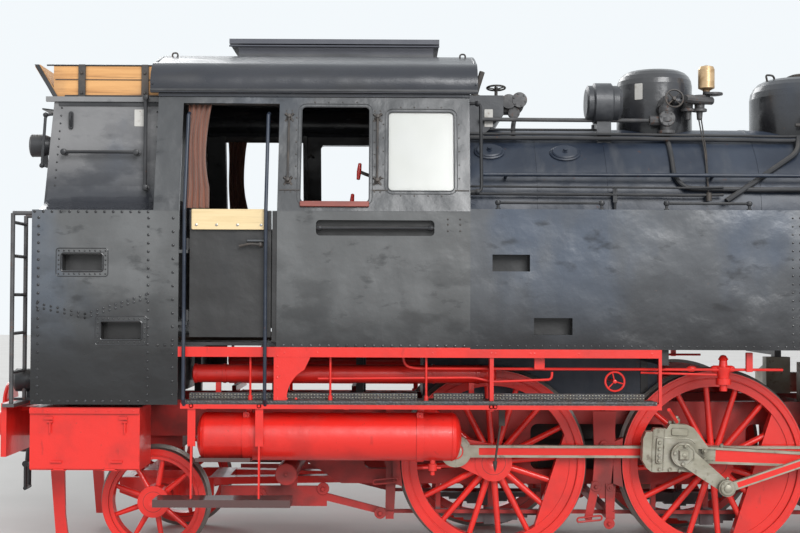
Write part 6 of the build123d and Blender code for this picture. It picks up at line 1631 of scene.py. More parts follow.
    def manifold(self) -> None:
        """Stop valves, hand-wheel, blank plate and lifting pipe at the steam manifold."""
        iron = Piece("manifold_valves", GREY_PIPE)
        iron.turn((-1.645, -0.36, 3.765), RIGHTWARD, ((-0.05, 0.062), (0.05, 0.062), (0.055, 0.0)), 24)
        iron.tube([(-1.695, -0.33, 3.7), (-1.565, -0.33, 3.7), (-1.545, -0.36, 3.76)], 0.042, bend=0.04)
        iron.flange((-1.555, -0.385, 3.778), (0.15, -1.0, 0.0), 0.066, 0.022, 6)
        iron.flange((-1.6, -0.365, 3.672), (0.1, -1.0, -0.1), 0.052, 0.02, 6)
        drain = [(-1.645, -0.33, 3.74), (-1.585, -0.35, 3.66), (-1.605, -0.36, 3.55), (-1.605, -0.42, 3.46)]
        iron.tube(drain, 0.02, bend=0.04).place()
        wheel = Piece("manifold_hand_wheel", DARK_IRON)
        wheel.hand_wheel((-1.745, -0.3, 3.895), (0.0, 0.12, 1.0), 0.078, 5)
        wheel.tube([(-1.745, -0.3, 3.79), (-1.745, -0.3, 3.895)], 0.014)
        wheel.tube([(-1.94, -0.38, 3.78), (-1.92, -0.38, 3.86), (-1.87, -0.38, 4.02)], 0.024, bend=0.03)
        wheel.bolts([(-1.935, -0.38, 3.812)], UP, 0.06).place()
        plate = Piece("manifold_plate", WHITE_PLATE)
        plate.plate((-1.817, -0.42, 3.618), Side.RIGHT, (0.072, 0.15, 0.004), edge=0.001).place()

    def dome_valve(self) -> None:
        """The stop valve beside the steam dome, its hand-wheel, rods and pipes, and the dome's blank plate."""
        x, y = self.stop_valve_at
        iron = Piece("dome_stop_valve", GREY_PIPE).turn((x, y, 3.47), UP, self.stop_valve, 20)
        iron.flange((x, y - 0.03, 3.615), RIGHTWARD, 0.068, 0.035, 6).runs(self.stop_valve_pipes)
        for pipe_x in self.whistle_x:
            iron.turn((pipe_x, -0.33, 3.785), DOWN, self.whistle_valve, 18)
        iron.turn((0.121, -0.3, 3.855), UP, ((-0.02, 0.03), (-0.012, 0.085), (0.004, 0.085), (0.008, 0.03)), 24).place()
        wheel = Piece("dome_hand_wheel", DARK_IRON)
        wheel.hand_wheel((-0.268, -0.57, 3.772), (0.05, -1.0, 0.08), 0.074, 4).runs(self.whistle_rods)
        wheel.turn((-0.045, -0.84, 2.885), UP, ((0.0, 0.0), (0.004, 0.024), (0.07, 0.024), (0.08, 0.0)), 12).place()
        plate = Piece("dome_plate", WHITE_PLATE)
        outline = rounded_outline(0.07, 0.14, 0.006, 2)
        plate.slab((-0.512, -0.27, 3.875), (0.82, -0.572, 0.0), UP, outline, 0.004, 0.001).place()

    def sanding(self) -> None:
        """Lifting handle, lid and valve boxes of the sand dome, with its pipes."""
        iron = Piece("sand_dome_fittings", DARK_IRON).runs((self.lid_handle,))
        iron.turn((1.005, 0.0, 4.036), UP, ((0.0, 0.15), (0.02, 0.15), (0.032, 0.12), (0.036, 0.0)), 24)
        for side in Side:
            iron.plate(side.at(1.04, 0.395, 3.7), side, (0.34, 0.12, 0.06), 0.03, 4, 0.01)
            for x in self.sand_taps:
                iron.turn(side.at(x, self.sand_tap_out, self.sand_tap_z), side.outward, self.sand_tap, 8)
                iron.tube([side.at(x + (x - 0.8) * lead, out, z) for lead, out, z in self.sand_pipe], 0.013, bend=0.08)
            iron.runs((self.air_pipe,), side)
        iron.place()


@dataclass
class LowFittings:
    """Treads, pipes, straps, valves and rivets under the cab and along the running board."""

    tread_z: float = 1.284
    tread_back: tuple[Flat, ...] = ((-4.19, -3.56), (-3.2, -2.19), (-2.1, -1.72), (-1.62, -0.66))
    tread_high: tuple[Flat, ...] = ((-4.2, -2.43), (-2.305, -1.915), (-1.845, -0.665))
    board_middle: float = -2.4175
    board_length: float = 3.635
    bead_pitch: float = 0.019
    bead_row: Flat = (-4.225, -0.61)
    strap_x: Flat = (-3.755, -2.41)
    strap_section: Profile = ((-0.026, -0.002), (-0.025, 0.011), (0.025, 0.011), (0.026, -0.002))
    tank_y: float = 1.24
    tank_z: float = 1.003
    tank_radius: float = 0.187
    tank_seams: Flat = (-4.075, -2.16)
    drain_at: Point = (-2.31, 1.29, 0.83)
    drain: Profile = (
        (-0.02, 0.022), (0.03, 0.022), (0.035, 0.034), (0.085, 0.034), (0.09, 0.018), (0.12, 0.018), (0.125, 0.0),
    )
    drain_lever: Run = Run(0.009, ((-2.385, 1.29, 0.765), (-2.245, 1.29, 0.765)))
    upper_at: Point = (1.13, 1.485, 0.072)
    upper_x: tuple[float, ...] = (-4.18, -3.95, -2.3, -1.95)
    upper_section: Profile = ((-0.012, -0.001), (-0.01, 0.005), (0.01, 0.005), (0.012, -0.001))
    red_runs: tuple[Run, ...] = (
        Run(0.011, (
            (-2.548, 1.36, 1.66), (-2.528, 1.36, 1.561), (-2.448, 1.36, 1.541), (-0.568, 1.36, 1.541),
            (0.402, 1.36, 1.541),
        ), 0.06),
        Run(0.01, (
            (-3.198, 1.4, 1.462), (-1.998, 1.4, 1.474), (-1.848, 1.4, 1.442), (-1.398, 1.4, 1.462),
            (-1.393, 1.4, 1.521),
        ), 0.04),
        Run(0.009, ((-0.698, 1.34, 1.515), (-0.108, 1.34, 1.5))),
    )
    stay_x: tuple[float, ...] = (-3.718, -3.103, -2.365)
    stay_foot: Profile = ((0.0, 0.028), (0.012, 0.028), (0.012, 0.018), (0.05, 0.016), (0.052, 0.0))
    wheel_at: Flat = (-0.905, 1.447)
    valve: Profile = (
        (0.0, 0.0), (0.004, 0.03), (0.05, 0.03), (0.055, 0.058), (0.1, 0.058), (0.105, 0.044), (0.15, 0.05),
        (0.17, 0.062), (0.19, 0.062), (0.195, 0.034), (0.24, 0.03), (0.25, 0.04), (0.28, 0.02), (0.285, 0.0),
    )
    valve_arm: Profile = ((0.0, 0.02), (0.02, 0.028), (0.16, 0.028), (0.18, 0.02), (0.19, 0.0))
    valve_union: Profile = ((0.0, 0.014), (0.02, 0.024), (0.05, 0.024), (0.07, 0.014), (0.075, 0.0))
    gusset_rows: tuple[Row, ...] = (
        Row((-3.505, 1.31), (-3.505, 1.64), 0.085, 0.01), Row((-3.505, 1.315), (-3.36, 1.315), 0.06, 0.01),
    )
    rail_rivets: tuple[float, ...] = (-3.45, -3.2, -2.32, -1.87, -1.84, -1.57, -1.54, -1.2, -0.64)
    rail_bolts: tuple[float, ...] = (-4.16, -3.642, -1.87, -1.84)
    rail_out: float = 1.497
    shaft_end: Point = (-3.473, 0.992, 0.672)
    brake_pins: tuple[Four, ...] = (
        (-3.19, 0.72, 0.52, 0.05), (-2.72, 0.82, 0.34, 0.048), (-3.7, 0.72, 0.47, 0.048),
    )
    brake_loops: tuple[Flat, ...] = ((-2.68, 0.6), (-1.02, 0.3))
    brake_shifts: Flat = (0.0, 1.8)
    brake_plates: tuple[tuple[Profile, float, float], ...] = (
        ((
            (-0.99, 1.17), (-0.975, 0.8), (-0.99, 0.6), (-0.93, 0.46), (-0.86, 0.46), (-0.835, 0.62), (-0.815, 0.8),
            (-0.8, 1.17),
        ), 0.8, 0.016),
        (((-1.0, 0.6), (-1.06, 0.3), (-1.0, 0.28), (-0.93, 0.58)), 0.818, 0.012),
        (((-0.885, 0.58), (-0.885, 0.24), (-0.83, 0.24), (-0.825, 0.58)), 0.818, 0.012),
    )
    brake_bosses: tuple[Point, ...] = (
        (-0.965, 0.56, 0.042), (-0.858, 0.26, 0.045), (-0.9, 0.9, 0.035), (-0.85, 0.55, 0.028), (-1.03, 0.31, 0.03),
    )
    oil_rod: Run = Run(0.009, ((-1.767, 1.1, 1.08), (-1.805, 1.06, 0.78)))
    box_strip: Row = Row((-5.35, 1.217), (-4.6, 1.217), 0.092, 0.009)
    latch_x: Flat = (-5.235, -4.665)
    hinge_x: Flat = (-5.186, -4.725)

    def build(self) -> None:
        """Dresses both sides; the tool box is only on the right."""
        for side in Side:
            self.treads(side)
            self.straps(side)
            self.pipes(side)
            self.rivets(side)
            self.brakes(side)
        self.toolbox()

    def treads(self, side: Side) -> None:
        """Patterned tread plates on the running board, and their beads."""
        plates = side.piece("treads", TREAD_PLATE)
        for start, end in self.tread_back:
            outline = rounded_outline(end - start, 0.24, 0.01, 2)
            plates.slab(side.at((start + end) / 2, 1.24, self.tread_z), AHEAD, LEFTWARD, outline, 0.009)
        outline = rounded_outline(self.board_length, 0.135, 0.03)
        plates.slab(side.at(self.board_middle, 1.445, self.tread_z), AHEAD, LEFTWARD, outline, 0.014, 0.004)
        plates.plate(side.at(self.board_middle, 1.489, 1.286), side, (self.board_length, 0.032, 0.014))
        beads = side.piece("tread_beads", ROD_STEEL)
        beads.rivets(spaced(*(side.at(x, 1.503, 1.287) for x in self.bead_row), self.bead_pitch), side.outward, 0.006)
        for start, end in self.tread_high:
            plates.plate(side.at((start + end) / 2, 1.3, 1.322), side, (end - start, 0.052, 0.04))
            for z in (1.312, 1.334):
                row = [side.at(x, 1.34, z) for x in (start + 0.01, end - 0.01)]
                beads.rivets(spaced(*row, self.bead_pitch * 1.3), side.outward, 0.006)
        plates.place()
        beads.place()

    def straps(self, side: Side) -> None:
        """Straps, lugs, seams and the drain cock of the main air tank, and the straps of the upper one."""
        out, z = self.tank_y, self.tank_z
        red = side.piece("tank_straps", GEAR_RED)
        for x in self.strap_x:
            red.band(side.at(x, out, z), self.tank_radius, self.strap_section, 36)
            red.plate(side.at(x, out + 0.1, 1.166), side, (0.05, 0.07, 0.02), 0.008)
            red.bolts([side.at(x, out + 0.12, 1.175)], side.outward, 0.028)
        r = self.tank_radius + 0.001
        for x in self.tank_seams:
            seam = [(x, side.value * out + r * math.cos(t), z + r * math.sin(t)) for t in round_turns(36)]
            red.tube(seam, 0.004, sides=6, closed=True)
        red.turn(side.at(*self.drain_at), DOWN, self.drain, 14).runs((self.drain_lever,), side)
        out, z, r = self.upper_at
        for x in self.upper_x:
            red.band(side.at(x, out, z), r, self.upper_section, 24)
        red.place()

    def pipes(self, side: Side) -> None:
        """Thin red pipes, stays, the three-spoked hand-wheel and the valve group above the running board."""
        at = side.at
        red = side.piece("red_pipes", GEAR_RED).runs(self.red_runs, side)
        for x in self.stay_x:
            red.tube([at(x, 1.42, 1.29), at(x, 1.42, 1.64)], 0.009)
            red.turn(at(x, 1.42, 1.284), UP, self.stay_foot, 12)
        red.plate(at(-1.493, 1.41, 1.6), side, (0.08, 0.12, 0.014))
        red.plate(at(0.137, 1.36, 1.6), side, (0.05, 0.15, 0.03))
        x, z = self.wheel_at
        red.hand_wheel(at(x, 1.38, z), side.outward, 0.074, 3).tube([at(x, 1.36, z), at(x, 1.1, z)], 0.012)
        red.turn(at(-0.053, 1.33, 1.37), UP, self.valve, 18)
        red.turn(at(-0.148, 1.33, 1.545), AHEAD, self.valve_arm, 12)
        red.turn(at(-0.338, 1.34, 1.545), AHEAD, self.valve_union, 12)
        red.tube([at(-0.508, 1.48, 1.24), at(-0.408, 1.3, 1.13)], 0.014).place()

    def rivets(self, side: Side) -> None:
        """Rivets of the gusset, the upper rail and the tank hangers."""
        rows = side.piece("board_rivets", GEAR_RED).rows(self.gusset_rows, side, self.rail_out)
        rows.rivets([side.at(x, self.rail_out, 1.665) for x in self.rail_rivets], side.outward, 0.01)
        rows.bolts([side.at(x, self.rail_out, 1.258) for x in self.rail_bolts], side.outward, 0.024).place()

    def brakes(self, side: Side) -> None:
        """Brake plates, bosses and pins, the shaft's end disc, adjusting loops and the long oil rod."""
        at = side.at
        red = side.piece("brake_dress", DULL_RED)
        x, out, z = self.shaft_end
        red.disc(at(x, out, z), side.outward, 0.086, 0.018, 32).bolts([at(x, out + 0.018, z)], side.outward, 0.03)
        for x, out, z, r in self.brake_pins:
            red.disc(at(x, out, z), side.outward, r, 0.018, 24).bolts([at(x, out + 0.018, z)], side.outward, r * 0.8)
        for x, z in self.brake_loops:
            loop = rounded_outline(0.2, 0.035, 0.016)
            red.tube([at(x + a, 0.85, z + b + a * 0.1) for a, b in loop], 0.008, sides=8, closed=True)
        right = -side.value
        for shift in self.brake_shifts:
            for points, out, thick in self.brake_plates:
                outline = [(right * (x + shift), z) for x, z in points]
                red.slab(at(0.0, out, 0.0), side.right, UP, outline if right > 0 else outline[::-1], thick)
            for x, z, r in self.brake_bosses:
                red.disc(at(x + shift, 0.828, z), side.outward, r, 0.01, 20)
                red.bolts([at(x + shift, 0.838, z)], side.outward, r * 0.7)
        red.place()
        grey = side.piece("oil_rods", DARK_IRON).runs((self.oil_rod,), side)
        grey.turn(at(-1.805, 1.06, 0.79), DOWN, ((0.0, 0.02), (0.05, 0.013), (0.09, 0.0)), 10)
        grey.plate(at(-1.755, 1.09, 1.15), side, (0.05, 0.15, 0.016)).place()

    def toolbox(self) -> None:
        """Top strip, rivets, latches and hinges of the tool box."""
        side = Side.RIGHT
        strip = Piece("toolbox_strip", GEAR_RED)
        strip.plate(side.at(-4.973, 1.485, 1.215), side, (0.84, 0.042, 0.012), 0.004)
        strip.rows((self.box_strip,), side, 1.497).place()
        out = abs(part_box("toolbox_flap")[0].y)
        furniture = Piece("toolbox_furniture", GEAR_RED, Body.BOX_FLAP)
        for x in self.latch_x:
            furniture.tube([side.at(x, out, 1.13), side.at(x, out + 0.006, 1.045)], 0.007)
            furniture.tube([side.at(x + dx, out + 0.002, 1.13) for dx in (-0.02, 0.02)], 0.008)
        for x in self.hinge_x:
            furniture.tube([side.at(x + dx, out + 0.001, 0.826) for dx in (-0.042, 0.042)], 0.008)
        furniture.place()


@dataclass
class Motion:
    """Straps, panels, nuts and oil pots of the rods and crank pins."""

    axle_z: float = 0.75
    crank: float = 0.33
    rod_length: float = 2.4
    crank_degrees: dict[Side, float] = field(default_factory=lambda: {Side.RIGHT: 162.0, Side.LEFT: 252.0})
    arm: Flat = (0.337, -0.258)
    link_pivot: Flat = (1.5, 1.35)
    link_foot: float = 0.29
    eccentric_rod: float = 1.48
    head_out: float = 1.073
    arm_out: float = 1.115
    valve_out: float = 1.16
    pin_out: float = 0.941
    rod_middle: float = 0.901
    coupled_x: Flat = (1.8, -1.8)
    flute: tuple[Flat, Flat, float] = ((0.99, 1.0515), (0.27, 0.2), 0.046)
    eccentric_flute: tuple[Flat, Flat, float] = ((1.152, 1.17), (0.085, 0.07), 0.02)
    side_flute: tuple[Flat, float, float] = ((0.8, 0.928), 3.0, 0.034)
    head_lines: tuple[tuple[float, float, tuple[Flat, ...]], ...] = (
        (0.005, 0.0, ((-0.238, -0.15), (-0.243, 0.0), (-0.238, 0.19))), (0.004, 0.0, ((-0.15, -0.14), (-0.15, 0.2))),
        (0.004, 0.03, ((-0.15, 0.125), (0.06, 0.125), (0.1, 0.09))),
    )
    head_pot: Profile = ((-0.004, 0.031), (0.012, 0.031), (0.022, 0.018), (0.034, 0.016), (0.04, 0.0))
    head_nut: Profile = ((-0.004, 0.016), (0.02, 0.016), (0.024, 0.0))
    rod_nut: Profile = ((-0.012, 0.018), (0.016, 0.018), (0.022, 0.01), (0.03, 0.0))
    crank_nut: Profile = ((-0.002, 0.056), (0.006, 0.056), (0.008, 0.05), (0.022, 0.05), (0.026, 0.046), (0.026, 0.0))
    crank_tip: Profile = ((0.0, 0.014), (0.006, 0.014), (0.009, 0.0))
    eccentric_cap: Profile = (
        (-0.002, 0.056), (0.012, 0.056), (0.016, 0.05), (0.016, 0.03), (0.022, 0.03), (0.024, 0.026), (0.024, 0.0),
    )
    rod_pot: Profile = ((-0.004, 0.022), (0.022, 0.022), (0.026, 0.014), (0.036, 0.012), (0.04, 0.0))
    pin_cap: Profile = ((-0.003, 0.052), (0.008, 0.052), (0.011, 0.046), (0.011, 0.0))
    pin_nut: Profile = ((0.009, 0.026), (0.023, 0.026), (0.027, 0.02), (0.027, 0.0))
    gudgeon_cap: Profile = ((-0.004, 0.062), (0.01, 0.062), (0.014, 0.054), (0.014, 0.03), (0.018, 0.028), (0.019, 0.0))
    gudgeon_at: Flat = (0.23, 1.09)

    def pin(self, side: Side) -> Flat:
        """The driving crank pin's x and z."""
        turn = math.radians(self.crank_degrees[side])
        return (self.crank * math.cos(turn), self.axle_z + self.crank * math.sin(turn))

    def slope(self, side: Side) -> float:
        """How far the connecting rod rises towards the cylinder, in radians."""
        return math.asin((self.axle_z - self.pin(side)[1]) / self.rod_length)

    def arm_end(self, side: Side) -> Flat:
        """The return crank pin's x and z."""
        x, z = self.pin(side)
        dx, dz = turned(*self.arm, math.radians(self.crank_degrees[side] - self.crank_degrees[Side.RIGHT]))
        return (x + dx, z + dz)

    def foot(self, side: Side) -> Flat:
        """The x and z of the link's foot, where the eccentric rod ends."""
        x, z = self.arm_end(side)
        dx, dz = self.link_pivot[0] - x, self.link_pivot[1] - z
        span = math.hypot(dx, dz)
        along = (self.eccentric_rod ** 2 - self.link_foot ** 2 + span ** 2) / (2 * span)
        off = math.sqrt(max(self.eccentric_rod ** 2 - along ** 2, 0.0))
        return (x + (dx * along + dz * off) / span, z + (dz * along - dx * off) / span)

    @staticmethod
    def painted(title: str, flutes: Iterable[Within]) -> Finish:
        """Rod steel under a name, with red paint down in its flutes."""
        red = tuple(Layer(RED, (flute,), 1.0, roughness=0.36, metallic=0.0) for flute in flutes)
        return replace(ROD_STEEL, title=title, layers=ROD_STEEL.layers + red)

    def rod_paint(self, side: Side) -> Finish:
        """Connecting rod's steel and red flute."""
        x, z = self.pin(side)
        outs, (rear, front), half = self.flute
        low, high = sorted(side.value * out for out in outs)
        corners = (x + rear, low, z - half), (x + self.rod_length - front, high, z + half)
        return self.painted(f"{side.label}_main_rod_paint", [Within(*corners, 0.002, (x, z), self.slope(side))])

    def side_rod_paint(self, side: Side) -> Finish:
        """Coupling rod's steel and red flute."""
        outs, reach, half = self.side_flute
        low, high = sorted(side.value * out for out in outs)
        z = self.pin(side)[1]
        flute = Within((-reach, low, z - half), (reach, high, z + half), 0.002)
        return self.painted(f"{side.label}_side_rod_paint", [flute])

    def gear_paint(self) -> Finish:
        """The valve gear's steel, with red paint along both eccentric rods."""
        bands = []
        outs, (rear, front), half = self.eccentric_flute
        for side in Side:
            x, z = self.arm_end(side)
            end = self.foot(side)
            low, high = sorted(side.value * out for out in outs)
            corners = (x + rear, low, z - half), (x + self.eccentric_rod - front, high, z + half)
            bands.append(Within(*corners, 0.002, (x, z), math.atan2(end[1] - z, end[0] - x)))
        return self.painted("valve_gear_paint", bands)

    def build(self) -> None:
        """Dresses the rods of both sides."""
        for side in Side:
            self.big_end(side)
            self.return_crank(side)
            self.crank_pins(side)
            self.crosshead(side)

    def big_end(self, side: Side) -> None:
        """Strap line, cotter panel, bolts and oil pot of the big end."""
        x, z = self.pin(side)
        tilt = self.slope(side)
        right = (-side.value * math.cos(tilt), 0.0, -side.value * math.sin(tilt))
        up = (-math.sin(tilt), 0.0, math.cos(tilt))

        def on(a: float, b: float, out: float = self.head_out) -> Point:
            """A point of the big end's face, a along the rod and b above it."""
            dx, dz = turned(a, b, tilt)
            return side.at(x + dx, out, z + dz)

        steel = side.piece("big_end_dress", ROD_STEEL, side.pick(Body.RIGHT_DRIVE_ROD, Body.LEFT_DRIVE_ROD))
        for radius, bend, line in self.head_lines:
            steel.tube([on(a, b) for a, b in line], radius, bend, 6)
        steel.slab(on(-0.188, 0.02), right, up, rounded_outline(0.05, 0.205, 0.012), 0.016, 0.004)
        steel.slab(on(-0.03, 0.175), right, up, rounded_outline(0.13, 0.055, 0.01), 0.01, 0.003)
        cotters = [on(-0.188, b, self.head_out + 0.014) for b in (-0.055, -0.015, 0.035, 0.085)]
        steel.bolts(cotters, side.outward, 0.026)
        steel.bolts([on(0.175, b) for b in (-0.03, 0.035)], side.outward, 0.03)
        steel.bolts([on(a, -0.128) for a in (-0.18, -0.1, -0.02)], side.outward, 0.022)
        steel.turn(on(-0.05, 0.262, 1.025), up, self.head_pot, 16).turn(on(-0.1, 0.236, 1.025), up, self.head_nut, 6)
        for a, b in ((0.32, 0.068), (1.9, 0.06)):
            steel.turn(on(a, b, 1.025), up, self.rod_nut, 12)
        steel.place()

    def return_crank(self, side: Side) -> None:
        """Boss ring, bolts, square nut and clamp bolt of the return crank, and the caps of the eccentric rod."""
        x, z = self.pin(side)
        turn = math.radians(self.crank_degrees[side] - self.crank_degrees[Side.RIGHT])
        facing = side.outward

        def on(radius: float, degrees: float, out: float = self.arm_out) -> Point:
            """A point round the crank pin on the return crank's face."""
            angle = turn + math.radians(degrees)
            return side.at(x + radius * math.cos(angle), out, z + radius * math.sin(angle))

        steel = side.piece("return_crank_dress", ROD_STEEL, side.pick(Body.RIGHT_DRIVE_ROD, Body.LEFT_DRIVE_ROD))
        collar = [on(0.088, 22.5 + 45 * k, self.arm_out - 0.001) for k in range(8)]
        steel.tube(collar, 0.006, sides=6, closed=True)
        steel.bolts([on(0.072, angle) for angle in (80, 170, 262)], facing, 0.026)
        steel.turn(on(0.0, 0.0), facing, self.crank_nut, 4)
        steel.turn(on(0.0, 0.0, self.arm_out + 0.024), facing, self.crank_tip, 12)
        end_x, end_z = self.arm_end(side)
        reach = Vector((end_x - x, 0.0, end_z - z)).normalized()
        lug = Vector((end_x, 0.0, end_z)) - reach * 0.03 + Vector((-reach.z, 0.0, reach.x)) * 0.058
        steel.bolts([side.at(lug.x, 1.1, lug.z)], (-reach.z, 0.0, reach.x), 0.026).place()
        cap = side.piece("eccentric_pin_cap", ROD_STEEL)
        cap.turn(side.at(end_x, self.valve_out, end_z), facing, self.eccentric_cap, 24)
        for (at_x, at_z), r in ((self.foot(side), 0.04), (self.link_pivot, 0.058)):
            profile = ((-0.002, r), (0.01, r), (0.014, r * 0.86), (0.014, r * 0.4), (0.022, r * 0.4), (0.024, 0.0))
            cap.turn(side.at(at_x, self.valve_out, at_z), facing, profile, 20)
        cap.place()

    def crank_pins(self, side: Side) -> None:
        """Caps on the rear coupled wheels' crank pins, and oil pots on the coupling rod."""
        x, z = self.pin(side)
        rear = side.at(x + min(self.coupled_x), self.pin_out, z)
        cap = Piece(f"{Body.REAR_WHEELS.value}_{side.label}_pin_cap", ROD_STEEL, Body.REAR_WHEELS)
        cap.turn(rear, side.outward, self.pin_cap, 24).turn(rear, side.outward, self.pin_nut, 6).place()
        pots = side.piece("coupling_rod_pots", ROD_STEEL, side.pick(Body.RIGHT_SIDE_ROD, Body.LEFT_SIDE_ROD))
        for shift in self.coupled_x:
            pots.turn(side.at(x + shift, self.rod_middle, z + 0.126), UP, self.rod_pot, 14)
        pots.place()

    def crosshead(self, side: Side) -> None:
        """Gudgeon pin's cap."""
        ahead, face = self.gudgeon_at
        middle = side.at(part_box(f"{side.label}_crosshead")[0].x + ahead, face, self.axle_z)
        cap = side.piece("crosshead_dress", ROD_STEEL, side.pick(Body.RIGHT_PISTON, Body.LEFT_PISTON))
        cap.turn(middle, side.outward, self.gudgeon_cap, 20).place()


@dataclass
class Wheels:
    """Centre caps of the axles and lips of the tyres."""

    drivers: tuple[tuple[float, Body], ...] = (
        (0.0, Body.DRIVING_WHEELS), (1.8, Body.FRONT_WHEELS), (-1.8, Body.REAR_WHEELS),
    )
    carriers: tuple[tuple[float, Body], ...] = ((4.56, Body.LEADING_WHEELS), (-4.56, Body.TRAILING_WHEELS))
    driver_sizes: Point = (0.75, 0.69, 0.095)
    carrier_sizes: Point = (0.425, 0.375, 0.08)
    face: float = 0.82
    hub_stand: float = 0.034

    def build(self) -> None:
        """Adds the rings of each tyre's lip and each axle's centre mark."""
        for wheels, (z, lip, hub) in ((self.drivers, self.driver_sizes), (self.carriers, self.carrier_sizes)):
            mark = ((-0.004, hub * 0.62), (0.003, hub * 0.62), (0.003, hub * 0.18), (-0.003, hub * 0.05), (-0.003, 0.0))
            for x, body in wheels:
                for side in Side:
                    name = f"{body.value}_{side.label}"
                    ring = Piece(f"{name}_tyre_lip", GEAR_RED, body)
                    ring.hoop(side.at(x, self.face, z), LEFTWARD, lip, 0.005, 72)
                    ring.hoop(side.at(x, self.face - 0.002, z), LEFTWARD, lip + 0.045, 0.004, 72).place()
                    cap = Piece(f"{name}_axle_end", GEAR_RED, body)
                    cap.turn(side.at(x, self.face + self.hub_stand, z), side.outward, mark, 28).place()


@dataclass
class Roof:
    """Ribs, lifting hooks, the vent's foot seams and the linings of the cab's ends."""

    vent_seam: Run = Run(0.008, ((-4.018, 0.474, 4.215), (-2.24, 0.474, 4.215)))
    ribs_x: Flat = (-4.505, -1.985)
    rib: Profile = ((1.34, 3.741), (1.29, 3.826), (1.16, 3.951), (0.85, 4.041), (0.5, 4.106))
    hooks_x: Flat = (-4.42, -2.06)
    hook_out: float = 0.8
    hook: Profile = ((-0.022, 4.035), (-0.022, 4.09), (0.022, 4.09), (0.022, 4.035))
    lining: Profile = (
        (1.27, 3.64), (1.3, 3.66), (1.315, 3.69), (1.309, 3.76), (1.295, 3.82),
        (1.275, 3.865), (1.24, 3.9), (1.19, 3.925), (1.138, 3.938), (0.85, 4.028),
        (0.5, 4.102), (0.0, 4.14), (0.0, 4.03), (0.55, 4.03), (1.06, 3.89),
    )
    lining_x: Flat = (-4.4595, -2.0405)

    def build(self) -> None:
        """Makes the roof's ribs, seams, linings and hooks."""
        ribs = Piece("roof_ribs", ROOF_GREY)
        for side in Side:
            for x in self.ribs_x:
                ribs.tube([side.at(x, out, z) for out, z in self.rib], 0.01, bend=0.05, sides=8)
            ribs.runs((self.vent_seam,), side)
        ribs.place()
        lining = Piece("cab_end_linings", SATIN_BLACK)
        for x in self.lining_x:
            for outline in (self.lining, [(-y, z) for y, z in self.lining[::-1]]):
                lining.slab((x, 0.0, 0.0), LEFTWARD, UP, outline, 0.007, 0.0004)
        lining.place()
        hooks = Piece("roof_hooks", DARK_IRON)
        for x in self.hooks_x:
            for side in Side:
                hooks.tube([side.at(x + dx, self.hook_out, z) for dx, z in self.hook], 0.007, bend=0.02)
        hooks.place()


